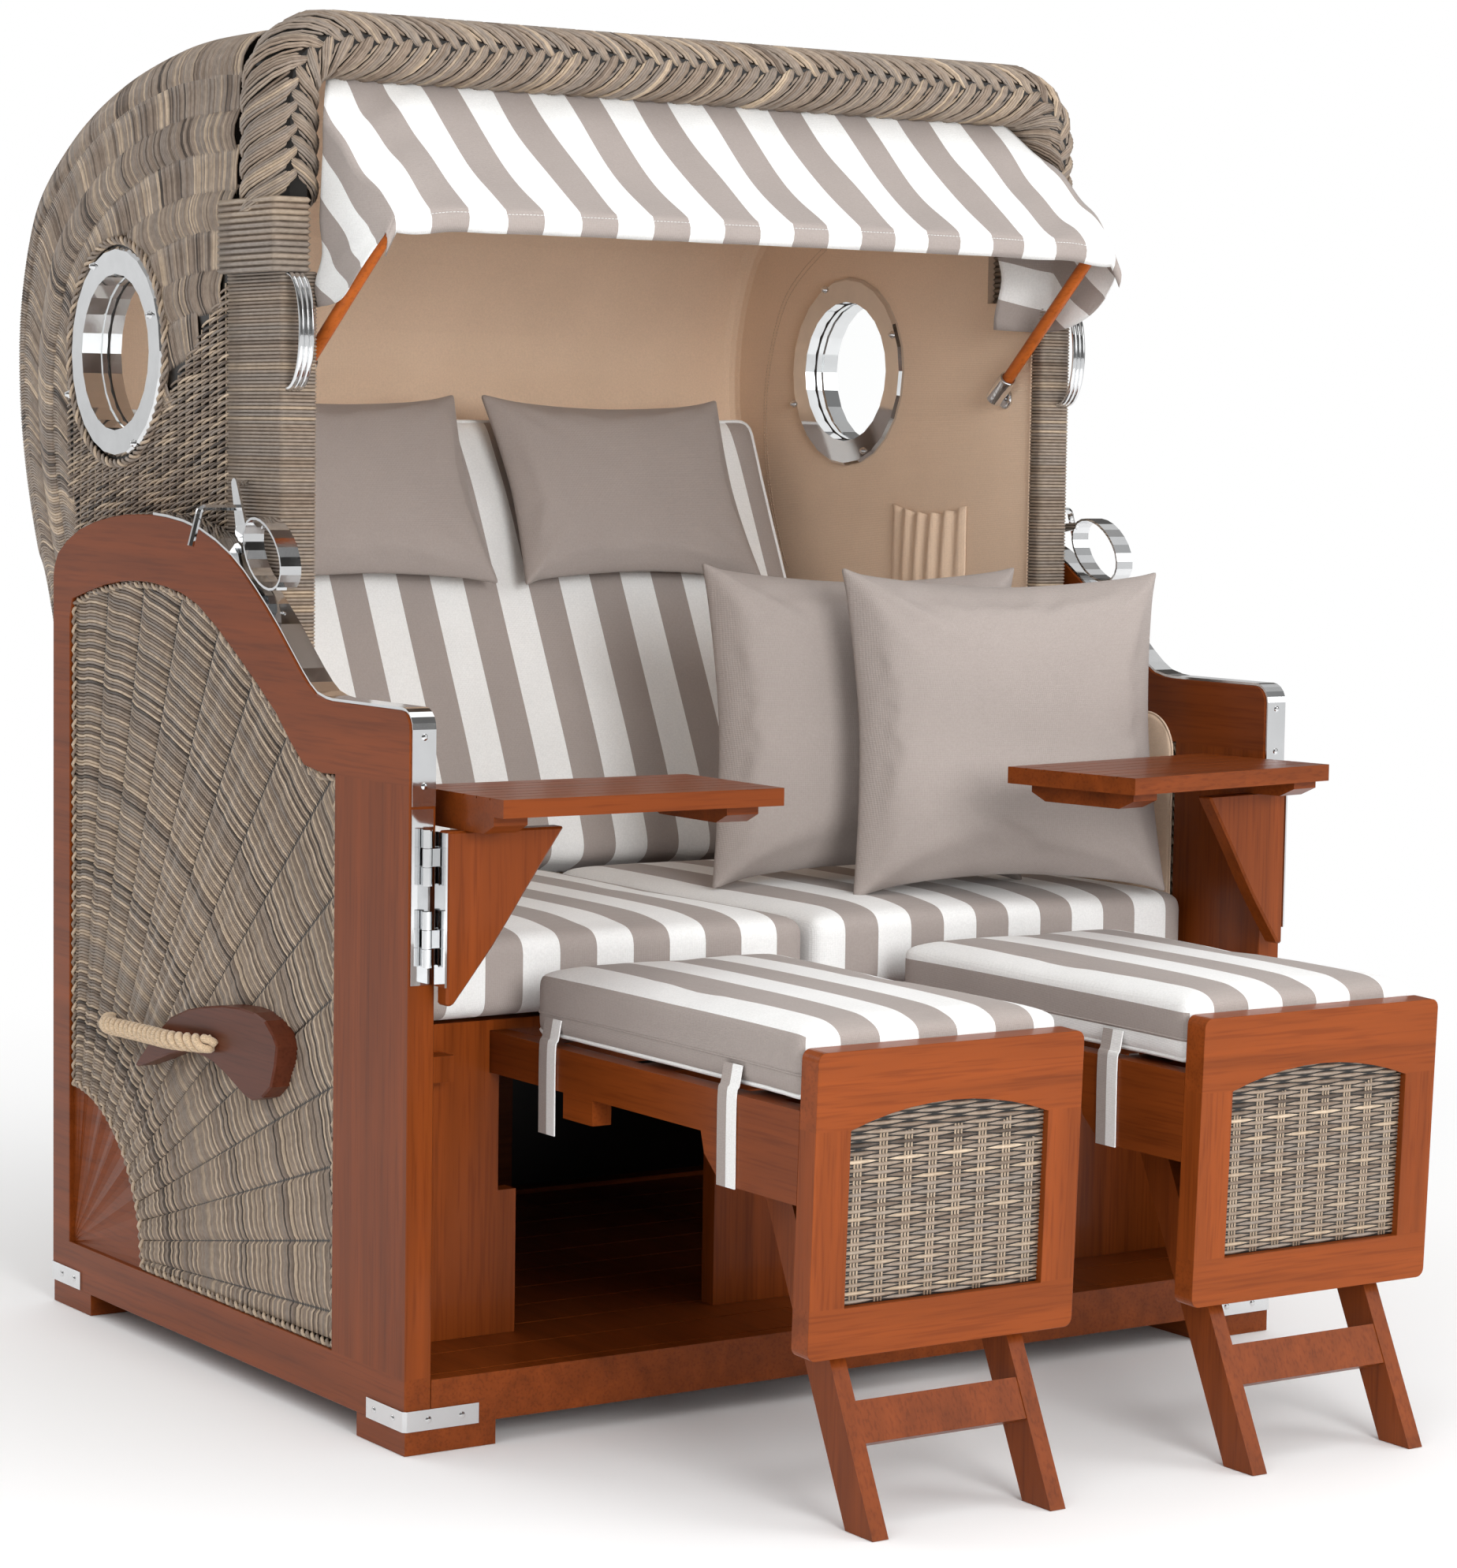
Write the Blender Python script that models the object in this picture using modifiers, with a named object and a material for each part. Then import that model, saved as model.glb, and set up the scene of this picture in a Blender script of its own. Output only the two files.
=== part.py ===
"""Two-seat hooded beach chair: a wooden base with woven side panels, a woven hood that tilts on the base,
swivel tables, pull-out footrests with folding legs, an awning on two sticks and loose cushions.

The chair stands on z = 0 and looks along -Y. Its pieces are drawn with y = 0 at the front face of the base,
and the empty chair_origin shifts them so that the world origin lies under the middle of the whole chair.
"""

import math

import bmesh
import bpy
from mathutils import Matrix, Vector

# Shared clearances
CLEAR = 0.0003
SLIDE_GAP = 0.0006
WEAVE_GAP = 0.0007
CUT = 0.004
OVERLAP = 0.001

# Base
BASE_WIDTH = 1.25
BASE_DEPTH = 0.925
FOOT_HEIGHT = 0.028
FOOT_LENGTH = 0.11
FOOT_WIDTH = 0.115
FOOT_INSET = 0.0015
SIDE_THICK = 0.033
SHOULDER_HEIGHT = 0.818
HUMP_HEIGHT = 0.196
FRONT_CORNER_RADIUS = 0.02
FRONT_STILE = 0.17
REAR_STILE = 0.05
BOTTOM_RAIL = 0.057
TOP_BAND = 0.081
EDGE_EASE = 0.0025
HUMP_SHARES = (
    (0.195, 0.0), (0.235, 0.03), (0.276, 0.153), (0.339, 0.393), (0.403, 0.607), (0.469, 0.786),
    (0.558, 0.929), (0.65, 0.99), (0.733, 1.0), (0.817, 0.974), (0.917, 0.883), (0.985, 0.724), (1.0, 0.571),
)
OPENING_SHARES = (
    (0.264, 0.025), (0.338, 0.298), (0.445, 0.611), (0.558, 0.889), (0.65, 0.98), (0.744, 1.0),
    (0.841, 0.955), (0.937, 0.854),
)
WEAVE_THICK = 0.016
FAN_RADIUS = 0.2
FAN_THICK = 0.02
FAN_FLUTES = 7
FLUTE_DEPTH = 0.005

# Inside the base
FASCIA_TOP = 0.082
FASCIA_THICK = 0.022
DECK_THICK = 0.02
DECK_GROOVES = 9
GROOVE_WIDTH = 0.003
GROOVE_DEPTH = 0.005
BOARD_SETBACK = 0.16
BOARD_THICK = 0.025
SIDE_BOARD_WIDTH = 0.2007
BOARD_STEP_HEIGHT = 0.25
BOARD_STEP_WIDTH = 0.024
CENTRE_BOARD_WIDTH = 0.23
CLEAT_LENGTH = 0.1
CLEAT_DEPTH = 0.03
CLEAT_HEIGHT = 0.03
CLEAT_DROP = 0.02
SEAT_UNDERSIDE = 0.4365
SEAT_DECK_THICK = 0.012
REAR_FRAME_THICK = 0.045
REAR_RAIL = 0.06
REAR_MULLION = 0.064
REAR_REBATE = 0.012
REAR_WEAVE_THICK = 0.012
GUIDE_WIDTH = 0.045
GUIDE_HEIGHT = 0.03

# Footrests, pulled out
PANEL_WIDTH = 0.343
PANEL_BOTTOM = 0.18
PANEL_TOP = 0.5
PANEL_THICK = 0.03
PANEL_LEG_GAP = 0.00085
PANEL_CENTRE = 0.255
PANEL_LEAN = math.radians(2.1)
PANEL_STILE = 0.044
PANEL_TOP_RAIL = 0.083
PANEL_ARCH_HEIGHT = 0.022
PANEL_BOTTOM_RAIL = 0.052
PANEL_CORNER_RADIUS = 0.01
PANEL_WEAVE_THICK = 0.012
RAIL_THICK = 0.025
RAIL_HEIGHT = 0.048
RAIL_DEEP_HEIGHT = 0.0985
RAIL_INSIDE = 0.3
RAIL_STEP_START = 0.279
RAIL_STEP_SHORT = 0.007
RAIL_STEP_LONG = 0.039
RAIL_STEP_DROP = 0.0235
STOP_LENGTH = 0.062
STOP_HEIGHT = 0.029
SLAT_WIDTH = 0.06
SLAT_THICK = 0.028
SLAT_PLACES_SHARES = (0.1, 0.4, 0.72, 0.97)
LEG_PIVOT_REACH = 0.3408
LEG_PIVOT_HEIGHT = 0.36
LEG_FOOT_REACH = 0.5125
LEG_BAR_WIDTH = 0.044
LEG_BAR_THICK = 0.02
LEG_FRAME_WIDTH = 0.25
LEG_CROSSBAR_DEPTH = 0.018
LEG_CROSSBAR_TALL = 0.045
LEG_CROSSBAR_HEIGHT = 0.101
LEG_PIN_RADIUS = 0.005

# Tables
TABLE_TOP_HEIGHT = 0.73
TABLE_THICK = 0.02
TABLE_LENGTH = 0.362
TABLE_WIDTH = 0.2
TABLE_FRONT_REACH = 0.115
TABLE_WALL_GAP = 0.017
TABLE_GROOVES = 6
TABLE_GROOVE_WIDTH = 0.002
TABLE_GROOVE_DEPTH = 0.0025
BATTEN_WIDTH = 0.042
BATTEN_HEIGHT = 0.02
BATTEN_INSET = 0.02
BATTEN_TAPER = 0.022
TABLE_BRACKET_THICK = 0.022
TABLE_BRACKET_BACK = 0.008
TABLE_BRACKET_REACH = 0.147
TABLE_BRACKET_DROP = 0.19
TABLE_BRACKET_TIP = 0.008
TABLE_YAW_RIGHT = math.radians(9.8)
HINGE_X = 0.6085
HINGE_REACH = 0.0115
HINGE_LEAF_THICK = 0.0025
HINGE_LEAF_BOTTOM = 0.52
HINGE_LEAF_TOP = 0.712
HINGE_POST_LEAF = (0.012, 0.0145)
HINGE_BRACKET_LEAF = 0.013
KNUCKLE_RADIUS = 0.0055
KNUCKLE_WEB = 0.0025
KNUCKLE_LENGTH = 0.02
KNUCKLE_GAP = 0.0006
KNUCKLE_HEIGHTS = (0.571, 0.66)

# Hood
HOOD_WIDTH = 1.156
HOOD_FRONT_FROM_REAR = 0.4113
HOOD_DEPTH = 0.6473
HOOD_BOTTOM = 0.48
HOOD_HEIGHT = 1.104
HOOD_STEP_BELOW_TOP = 0.284
HOOD_SIDE_BOTTOM = 0.615
HOOD_HEEL_LENGTH = 0.125
HOOD_WALL = 0.022
HOOD_EDGE_RADIUS = 0.045
LINING_THICK = 0.018
LINING_GAP = 0.001
BACK_SHARES = (
    (0.0, 0.9995), (0.185, 0.998), (0.336, 0.989), (0.524, 0.966), (0.703, 0.928), (0.873, 0.865),
    (0.949, 0.803), (0.997, 0.71), (1.0, 0.617), (0.969, 0.523), (0.91, 0.43), (0.842, 0.357), (0.637, 0.018),
    (0.62, 0.0),
)
POST_FRONT_FROM_REAR = 0.534
POST_BACK_FROM_REAR = 0.397
POST_THICK = 0.0225
COLLAR_HEIGHT = 0.085
COLLAR_SWELL = 0.008
COLLAR_OUT = 0.015
RIM_RADIUS = 0.035
RIM_CENTRE_FROM_REAR = 0.479
RIM_DEPTH_SCALE_SHARE = 1.6
RIM_CORNER_RADIUS = 0.06
RIM_ABOVE_TOP = 0.018
PORTHOLE_FROM_REAR = 0.096
PORTHOLE_Z = 1.212
PORTHOLE_RADIUS = 0.131
PORTHOLE_BORE = 0.097
PORTHOLE_TUBE = 0.0045
PORTHOLE_LIP = 0.007
PANE_THICK = 0.004
PANE_DEPTH = 0.024
TILT_FROM_REAR = 0.03
TILT_Z = 0.53
TILT_PIN_RADIUS = 0.012
GRAB_HEIGHTS = (1.165, 1.3)
GRAB_REACH = 0.04
GRAB_STRAP = (0.0035, 0.02)
POCKET_FROM_REAR = 0.376
POCKET_LENGTH = 0.166
POCKET_BOTTOM = 0.8
POCKET_TOP = 1.03
POCKET_THICK = 0.008

# Awning
SOCKET_FROM_REAR = 0.455
SOCKET_Z = 1.175
BOW_TIP_FROM_REAR = 0.678
BOW_TIP_Z = 1.333
BOW_WALL_GAP = 0.0157
STICK_RADIUS = 0.008
SLEEVE_RADIUS = 0.0115
SLEEVE_LENGTH = 0.04
ROSETTE_RADIUS = 0.014
ROSETTE_THICK = 0.009
CLOTH_THICK = 0.004
CLOTH_TOP_FROM_REAR = 0.485
CLOTH_HEM_FROM_REAR = 0.693
CLOTH_HALF_WIDTH = 0.534
CLOTH_TOP_HALF_WIDTH = 0.497
CLOTH_WIDEN_SHARE = 0.3
CLOTH_SEAT_SHARE = 2.02
CLOTH_SAG = 0.012
CLOTH_FOLDS = 5
CLOTH_FOLD_DEPTH = 0.004
FLAP_DROP = 0.25
FLAP_COLUMNS = 4

# Tilt fittings
FITTING_X = 0.5965
FITTING_THICK = 0.003
FITTING_FOOT_FROM_REAR = 0.47
FITTING_FOOT_ABOVE = 0.01869
FITTING_TIP_FROM_REAR = 0.45
FITTING_LENGTH_UP = 0.056
FITTING_RADIUS = 0.013
SPACER_RADIUS = 0.008
LEVER_THICK = 0.004
LEVER_BAR = 0.014
LEVER_STRAP = (0.003, 0.026)
LOOP_LONG = 0.054
LOOP_SHORT = 0.034
LOOP_FROM_REAR = 0.5735
LOOP_ABOVE = 0.05398
LOOP_SLOPE = math.radians(35)
LOCK_PIN_RADIUS = 0.004
LOCK_PIN_REACH = 0.052
LOCK_PIN_DROP = 0.045
LOCK_PIN_BACK = 0.02

# Top trims
TRIM_THICK = 0.003
TRIM_SIDE_INSET = 0.002
TRIM_START = 0.66

# Rope handles
ROPE_RADIUS = 0.011
ROPE_REAR_SHARE = 0.8151
ROPE_REAR_HEIGHT = 0.384
ROPE_FRONT_SHARE = 0.4573
ROPE_FRONT_HEIGHT = 0.402
ROPE_BOW_SHARES = (0.3, 0.7)
ROPE_BOW = 0.028
ROPE_STAND_SHARE = 1.6
HOLDER_THICK = 0.03
HOLDER_CENTRE_SHARE = 0.4865
HOLDER_CENTRE_HEIGHT = 0.39
HOLDER_LENGTH = 0.37
HOLDER_HEIGHT = 0.1
HOLDER_SHARES = (
    (-0.5, 0.3), (-0.42, 0.55), (-0.25, 0.62), (0.0, 0.52), (0.25, 0.27), (0.46, -0.28), (0.5, -0.45),
    (0.36, -0.3), (0.15, -0.08), (-0.05, -0.1), (-0.2, -0.28), (-0.33, -0.42), (-0.46, -0.2),
)

# Cushions
SEAT_CUSHION_WIDTH = 0.579
SEAT_CUSHION_THICK = 0.112
SEAT_CUSHION_FRONT = 0.13
SEAT_CUSHION_FROM_REAR = 0.185
CENTRE_GAP = 0.005
FOOT_CUSHION_WIDTH = 0.333
FOOT_CUSHION_DEPTH = 0.535
FOOT_CUSHION_HEIGHT = 0.083
BACKREST_WIDTH = 1.0
BACKREST_DEPTH = 0.102
BACKREST_HEIGHT = 0.661
BACKREST_BEFORE = 0.0245
BACKREST_Z = 0.8358
BACK_LEAN = math.radians(26)
HEAD_PILLOW_WIDTH = 0.385
HEAD_PILLOW_DEPTH = 0.09
HEAD_PILLOW_HEIGHT = 0.28
HEAD_PILLOW_X = 0.205
HEAD_PILLOW_Z = 1.022
HEAD_PILLOW_OUT = 0.0332
THROW_PILLOW_WIDTH = 0.42
THROW_PILLOW_DEPTH = 0.13
THROW_PILLOW_HEIGHT = 0.415
THROW_FRONT_X = 0.345
THROW_FRONT_SETBACK = 0.075
THROW_REAR_X = 0.245
THROW_REAR_SETBACK = 0.24
THROW_YAW = math.radians(18)
THROW_LEAN = math.radians(9)
THROW_FRONT_SINK = 0.0116
THROW_REAR_SINK = 0.0106
LINER_THICK = 0.0045
LINER_BACK_FROM_REAR = 0.538
LINER_FROM_SHOULDER = 0.043
LINER_CORNER_RADIUS = 0.05

# Round pieces
ROUND_STEPS = 24
SMALL_ROUND_STEPS = 14
ARC_STEPS = 5
FLUTE_STEPS = 4
CURVE_STEPS = 2

HALF_BASE = BASE_WIDTH / 2
HOOD_TOP = HOOD_BOTTOM + HOOD_HEIGHT
HOOD_STEP_HEIGHT = HOOD_TOP - HOOD_STEP_BELOW_TOP
RIM_TOP = HOOD_TOP + RIM_ABOVE_TOP
LINER_TOP = SHOULDER_HEIGHT - LINER_FROM_SHOULDER
BACKREST_Y = BASE_DEPTH - BACKREST_BEFORE
LINER_BACK = BASE_DEPTH - LINER_BACK_FROM_REAR
LOOP_Y = BASE_DEPTH - LOOP_FROM_REAR
FITTING_TIP_Y = BASE_DEPTH - FITTING_TIP_FROM_REAR
FITTING_FOOT_Y = BASE_DEPTH - FITTING_FOOT_FROM_REAR
CLOTH_HEM_Y = BASE_DEPTH - CLOTH_HEM_FROM_REAR
CLOTH_TOP_Y = BASE_DEPTH - CLOTH_TOP_FROM_REAR
BOW_TIP_Y = BASE_DEPTH - BOW_TIP_FROM_REAR
SOCKET_Y = BASE_DEPTH - SOCKET_FROM_REAR
TILT_Y = BASE_DEPTH - TILT_FROM_REAR
PORTHOLE_Y = BASE_DEPTH - PORTHOLE_FROM_REAR
RIM_CENTRE_Y = BASE_DEPTH - RIM_CENTRE_FROM_REAR
POST_BACK = BASE_DEPTH - POST_BACK_FROM_REAR
POST_FRONT = BASE_DEPTH - POST_FRONT_FROM_REAR
HOOD_FRONT = BASE_DEPTH - HOOD_FRONT_FROM_REAR
INNER_X = HALF_BASE - SIDE_THICK
HALF_HOOD = HOOD_WIDTH / 2
LINING_X = HALF_HOOD - HOOD_WALL - CLEAR
LINING_INNER_X = LINING_X - LINING_THICK
BOW_HALF_SPAN = LINING_INNER_X - BOW_WALL_GAP
REAR_FRAME_Y = BASE_DEPTH - REAR_FRAME_THICK
SEAT_TOP = SEAT_UNDERSIDE + SEAT_DECK_THICK
RAIL_TOP = SEAT_UNDERSIDE - SLIDE_GAP
CLOTH_TOP_Z = RIM_TOP - RIM_RADIUS * CLOTH_SEAT_SHARE
CLOTH_HEM_Z = BOW_TIP_Z + STICK_RADIUS + CLEAR + CLOTH_THICK / 2
LEG_LENGTH = math.hypot(LEG_FOOT_REACH - LEG_PIVOT_REACH, LEG_PIVOT_HEIGHT)
LEG_FOOT_HALF = LEG_BAR_WIDTH / 2 * LEG_LENGTH / LEG_PIVOT_HEIGHT
PANEL_HEIGHT = PANEL_TOP - PANEL_BOTTOM
LEG_REACH_AT_PANEL = LEG_PIVOT_REACH + (LEG_FOOT_REACH - LEG_PIVOT_REACH) * (1 - PANEL_BOTTOM / LEG_PIVOT_HEIGHT)
PANEL_BACK_Y = -LEG_REACH_AT_PANEL - LEG_FOOT_HALF - PANEL_LEG_GAP - PANEL_HEIGHT * math.sin(PANEL_LEAN)
ORIGIN_Y = (HOOD_FRONT + HOOD_DEPTH - LEG_FOOT_REACH - LEG_FOOT_HALF) / 2


def clear_scene():
    """Remove every object that the scene holds."""
    for item in list(bpy.data.objects):
        bpy.data.objects.remove(item, do_unlink=True)


def material(name, colour, roughness, metallic=0.0):
    """A Principled material in one colour."""
    made = bpy.data.materials.new(name)
    made.use_nodes = True
    shader = made.node_tree.nodes["Principled BSDF"]
    shader.inputs["Base Color"].default_value = (*colour, 1.0)
    shader.inputs["Roughness"].default_value = roughness
    shader.inputs["Metallic"].default_value = metallic
    made.diffuse_color = (*colour, 1.0)
    return made


def make_empty(name, location, parent=None):
    """An empty at a place in the drawing frame."""
    made = bpy.data.objects.new(name, None)
    made.location = location
    made.parent = parent
    made.empty_display_size = CUT
    parts.objects.link(made)
    return made


def attach(piece, pivot):
    """Parent a piece to a pivot empty and leave it where it is drawn."""
    piece.parent = pivot
    if pivot is not origin:
        piece.matrix_parent_inverse = Matrix.Translation(pivot.location).inverted()


def piece_from_bmesh(name, mesh_data, paint, pivot, smooth=False):
    """Turn a bmesh into a named object under its pivot."""
    mesh = bpy.data.meshes.new(name)
    bmesh.ops.recalc_face_normals(mesh_data, faces=mesh_data.faces)
    mesh_data.to_mesh(mesh)
    mesh_data.free()
    mesh.materials.append(paint)
    if smooth:
        mesh.shade_smooth()
        mesh.set_sharp_from_angle(angle=math.radians(35))
    made = bpy.data.objects.new(name, mesh)
    parts.objects.link(made)
    attach(made, pivot)
    return made


def ease_edges(piece, width=EDGE_EASE, segments=1):
    """Round the sharp edges of a piece a little."""
    bevel = piece.modifiers.new("eased edges", "BEVEL")
    bevel.width = width
    bevel.segments = segments
    bevel.limit_method = "ANGLE"
    bevel.angle_limit = math.radians(50)
    bevel.use_clamp_overlap = True
    return bevel


def boxes(name, spans, paint, pivot, ease=EDGE_EASE):
    """One object of boxes, each given by its low and high corner."""
    mesh_data = bmesh.new()
    for low, high in spans:
        middle = [(a + b) / 2 for a, b in zip(low, high)]
        size = [b - a for a, b in zip(low, high)]
        place = Matrix.Translation(middle) @ Matrix.Diagonal((*size, 1.0))
        bmesh.ops.create_cube(mesh_data, size=1.0, matrix=place)
    made = piece_from_bmesh(name, mesh_data, paint, pivot)
    if ease:
        ease_edges(made, ease)
    return made


PLANES = {
    "xy": Matrix.Identity(3),
    "yz": Matrix(((0, 0, 1), (1, 0, 0), (0, 1, 0))),
    "xz": Matrix(((1, 0, 0), (0, 0, -1), (0, 1, 0))),
}


def outline_mesh(loops, plane, thickness, offset):
    """A mesh of a flat outline with holes: a filled 2D curve, extruded, turned into its plane."""
    curve = bpy.data.curves.new("outline", "CURVE")
    curve.dimensions = "2D"
    curve.fill_mode = "BOTH"
    curve.extrude = thickness / 2
    for loop in loops:
        spline = curve.splines.new("POLY")
        spline.points.add(len(loop) - 1)
        for point, (u, v) in zip(spline.points, loop):
            point.co = (u, v, 0.0, 1.0)
        spline.use_cyclic_u = True
    drawn = bpy.data.objects.new("outline", curve)
    parts.objects.link(drawn)
    bpy.context.view_layer.update()
    evaluated = drawn.evaluated_get(bpy.context.evaluated_depsgraph_get())
    mesh = bpy.data.meshes.new_from_object(evaluated)
    bpy.data.objects.remove(drawn, do_unlink=True)
    mesh_data = bmesh.new()
    mesh_data.from_mesh(mesh)
    bpy.data.meshes.remove(mesh)
    bmesh.ops.remove_doubles(mesh_data, verts=mesh_data.verts, dist=CLEAR / 10)
    turn = PLANES[plane]
    normal = turn.col[2]
    bmesh.ops.transform(mesh_data, matrix=Matrix.Translation(normal * offset) @ turn.to_4x4(), verts=mesh_data.verts)
    return mesh_data


def plate(name, loops, plane, thickness, offset, paint, pivot, ease=EDGE_EASE):
    """A flat piece cut from board: its outline, its holes and its thickness about a middle plane."""
    made = piece_from_bmesh(name, outline_mesh(loops, plane, thickness, offset), paint, pivot)
    if ease:
        ease_edges(made, ease)
    return made


def mirror_bmesh(mesh_data):
    """A mirror image of a bmesh across x = 0, with its faces still outwards."""
    copy = mesh_data.copy()
    bmesh.ops.scale(copy, vec=(-1, 1, 1), verts=copy.verts)
    bmesh.ops.reverse_faces(copy, faces=copy.faces)
    return copy


def pair(name, right, paint, pivots, smooth=False):
    """The left and the right piece of a mirrored pair, from the right one's bmesh."""
    made = []
    for side, mesh_data, pivot in zip(("left", "right"), (mirror_bmesh(right), right), pivots):
        made.append(piece_from_bmesh(f"{side}_{name}", mesh_data, paint, pivot, smooth))
    return made


def cylinder_mesh(radius, start, end, steps=SMALL_ROUND_STEPS, end_radius=None):
    """A closed cylinder or cone between two points."""
    first, last = Vector(start), Vector(end)
    axis = last - first
    turn = Vector((0, 0, 1)).rotation_difference(axis).to_matrix().to_4x4()
    place = Matrix.Translation((first + last) / 2) @ turn
    mesh_data = bmesh.new()
    bmesh.ops.create_cone(
        mesh_data, cap_ends=True, segments=steps, radius1=radius, radius2=end_radius or radius,
        depth=axis.length, matrix=place,
    )
    return mesh_data


def tube_mesh(points, radius, resolution=2):
    """A round bar along points: a POLY curve with a bevel and filled caps, made a mesh."""
    curve = bpy.data.curves.new("bar", "CURVE")
    curve.dimensions = "3D"
    curve.bevel_depth = radius
    curve.bevel_resolution = resolution
    curve.use_fill_caps = True
    spline = curve.splines.new("POLY")
    spline.points.add(len(points) - 1)
    for point, place in zip(spline.points, points):
        point.co = (*place, 1.0)
    drawn = bpy.data.objects.new("bar", curve)
    parts.objects.link(drawn)
    bpy.context.view_layer.update()
    evaluated = drawn.evaluated_get(bpy.context.evaluated_depsgraph_get())
    mesh = bpy.data.meshes.new_from_object(evaluated)
    bpy.data.objects.remove(drawn, do_unlink=True)
    mesh_data = bmesh.new()
    mesh_data.from_mesh(mesh)
    bpy.data.meshes.remove(mesh)
    bmesh.ops.remove_doubles(mesh_data, verts=mesh_data.verts, dist=CLEAR / 10)
    return mesh_data


def turned(name, profile, steps, axis, centre, paint, pivot):
    """A turned piece: its profile of (radius, height) runs down the outer side, spun by a Screw modifier."""
    mesh_data = bmesh.new()
    corners = [mesh_data.verts.new((radius, 0, height)) for radius, height in profile]
    for first, second in zip(corners, corners[1:] + corners[:1]):
        mesh_data.edges.new((first, second))
    mesh = bpy.data.meshes.new(name)
    mesh_data.to_mesh(mesh)
    mesh_data.free()
    mesh.materials.append(paint)
    made = bpy.data.objects.new(name, mesh)
    parts.objects.link(made)
    attach(made, pivot)
    made.location = centre
    made.rotation_euler = Vector((0, 0, 1)).rotation_difference(Vector(axis)).to_euler()
    screw = made.modifiers.new("turned", "SCREW")
    screw.steps = steps
    screw.render_steps = steps
    screw.use_merge_vertices = True
    screw.merge_threshold = CLEAR / 10
    screw.use_normal_calculate = True
    return made


def combine(piece, tools, operation="UNION"):
    """Join other bodies to a piece, or cut them out of it, by Boolean modifiers."""
    for number, mesh_data in enumerate(tools):
        mesh = bpy.data.meshes.new("tool")
        bmesh.ops.recalc_face_normals(mesh_data, faces=mesh_data.faces)
        mesh_data.to_mesh(mesh)
        mesh_data.free()
        tool = bpy.data.objects.new(f"{piece.name}_{operation.lower()}_{number}", mesh)
        cutters.objects.link(tool)
        tool.hide_render = True
        tool.display_type = "WIRE"
        tool.parent = piece.parent
        tool.matrix_parent_inverse = piece.matrix_parent_inverse
        step = piece.modifiers.new(operation.lower(), "BOOLEAN")
        step.operation = operation
        step.object = tool


def smooth_line(points, steps=CURVE_STEPS):
    """Points on a smooth curve through the given ones, by the Catmull-Rom rule."""
    line = []
    for index in range(len(points) - 1):
        before = Vector(points[max(index - 1, 0)])
        first = Vector(points[index])
        second = Vector(points[index + 1])
        after = Vector(points[min(index + 2, len(points) - 1)])
        for step in range(steps):
            t = step / steps
            line.append(tuple(
                (2 * first + (second - before) * t + (2 * before - 5 * first + 4 * second - after) * t * t
                 + (3 * first - before - 3 * second + after) * t ** 3) / 2
            ))
    line.append(tuple(points[-1]))
    return line


def arc(centre, radius, start, end, steps=ARC_STEPS):
    """Points on an arc, its angles in degrees from the first axis."""
    points = []
    for step in range(steps + 1):
        angle = math.radians(start + (end - start) * step / steps)
        points.append((centre[0] + radius * math.cos(angle), centre[1] + radius * math.sin(angle)))
    return points


def offset_line(points, distance):
    """A line beside another one, on its left for a positive distance."""
    moved = []
    for index, point in enumerate(points):
        here = Vector(point)
        before = Vector(points[index - 1]) if index else None
        after = Vector(points[index + 1]) if index < len(points) - 1 else None
        ahead = (after - here).normalized() if after is not None else (here - before).normalized()
        behind = (here - before).normalized() if before is not None else ahead
        left_ahead = Vector((-ahead.y, ahead.x))
        left_behind = Vector((-behind.y, behind.x))
        middle = (left_ahead + left_behind).normalized()
        moved.append(tuple(here + middle * distance / max(middle.dot(left_ahead), 0.5)))
    return moved


def rounded_rectangle(low, high, radius):
    """A rectangle outline with four round corners."""
    return (
        arc((high[0] - radius, high[1] - radius), radius, 0, 90)
        + arc((low[0] + radius, high[1] - radius), radius, 90, 180)
        + arc((low[0] + radius, low[1] + radius), radius, 180, 270)
        + arc((high[0] - radius, low[1] + radius), radius, 270, 360)
    )


def hump_line():
    """The top edge of a side frame from the shoulder over the hump to the rear edge."""
    shares = [(y * BASE_DEPTH, SHOULDER_HEIGHT + z * HUMP_HEIGHT) for y, z in HUMP_SHARES]
    return smooth_line(shares)


def above_hump(y, distance):
    """A place in y and z that lies a distance above the top edge of the side frames."""
    line = hump_line()
    for (near, low), (far, high) in zip(line, line[1:]):
        if near <= y <= far:
            return y, low + (high - low) * (y - near) / (far - near) + distance
    return y, SHOULDER_HEIGHT + distance


def side_outline():
    """The outer edge of a side frame in y and z."""
    radius = FRONT_CORNER_RADIUS
    corner = arc((radius, SHOULDER_HEIGHT - radius), radius, 180, 90)
    low = FOOT_HEIGHT - OVERLAP
    return [(0, low)] + corner + hump_line() + [(BASE_DEPTH, low)]


def opening_outline(gap=0.0):
    """The opening of a side frame, or the panel that fits it with a gap."""
    low = FOOT_HEIGHT + BOTTOM_RAIL + gap
    front = FRONT_STILE + gap
    rear = BASE_DEPTH - REAR_STILE - gap
    shares = [
        (y * BASE_DEPTH, SHOULDER_HEIGHT - TOP_BAND + z * HUMP_HEIGHT - gap) for y, z in OPENING_SHARES
    ]
    top = smooth_line([(front, SHOULDER_HEIGHT - TOP_BAND - gap)] + shares)
    return low, front, rear, top


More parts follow.
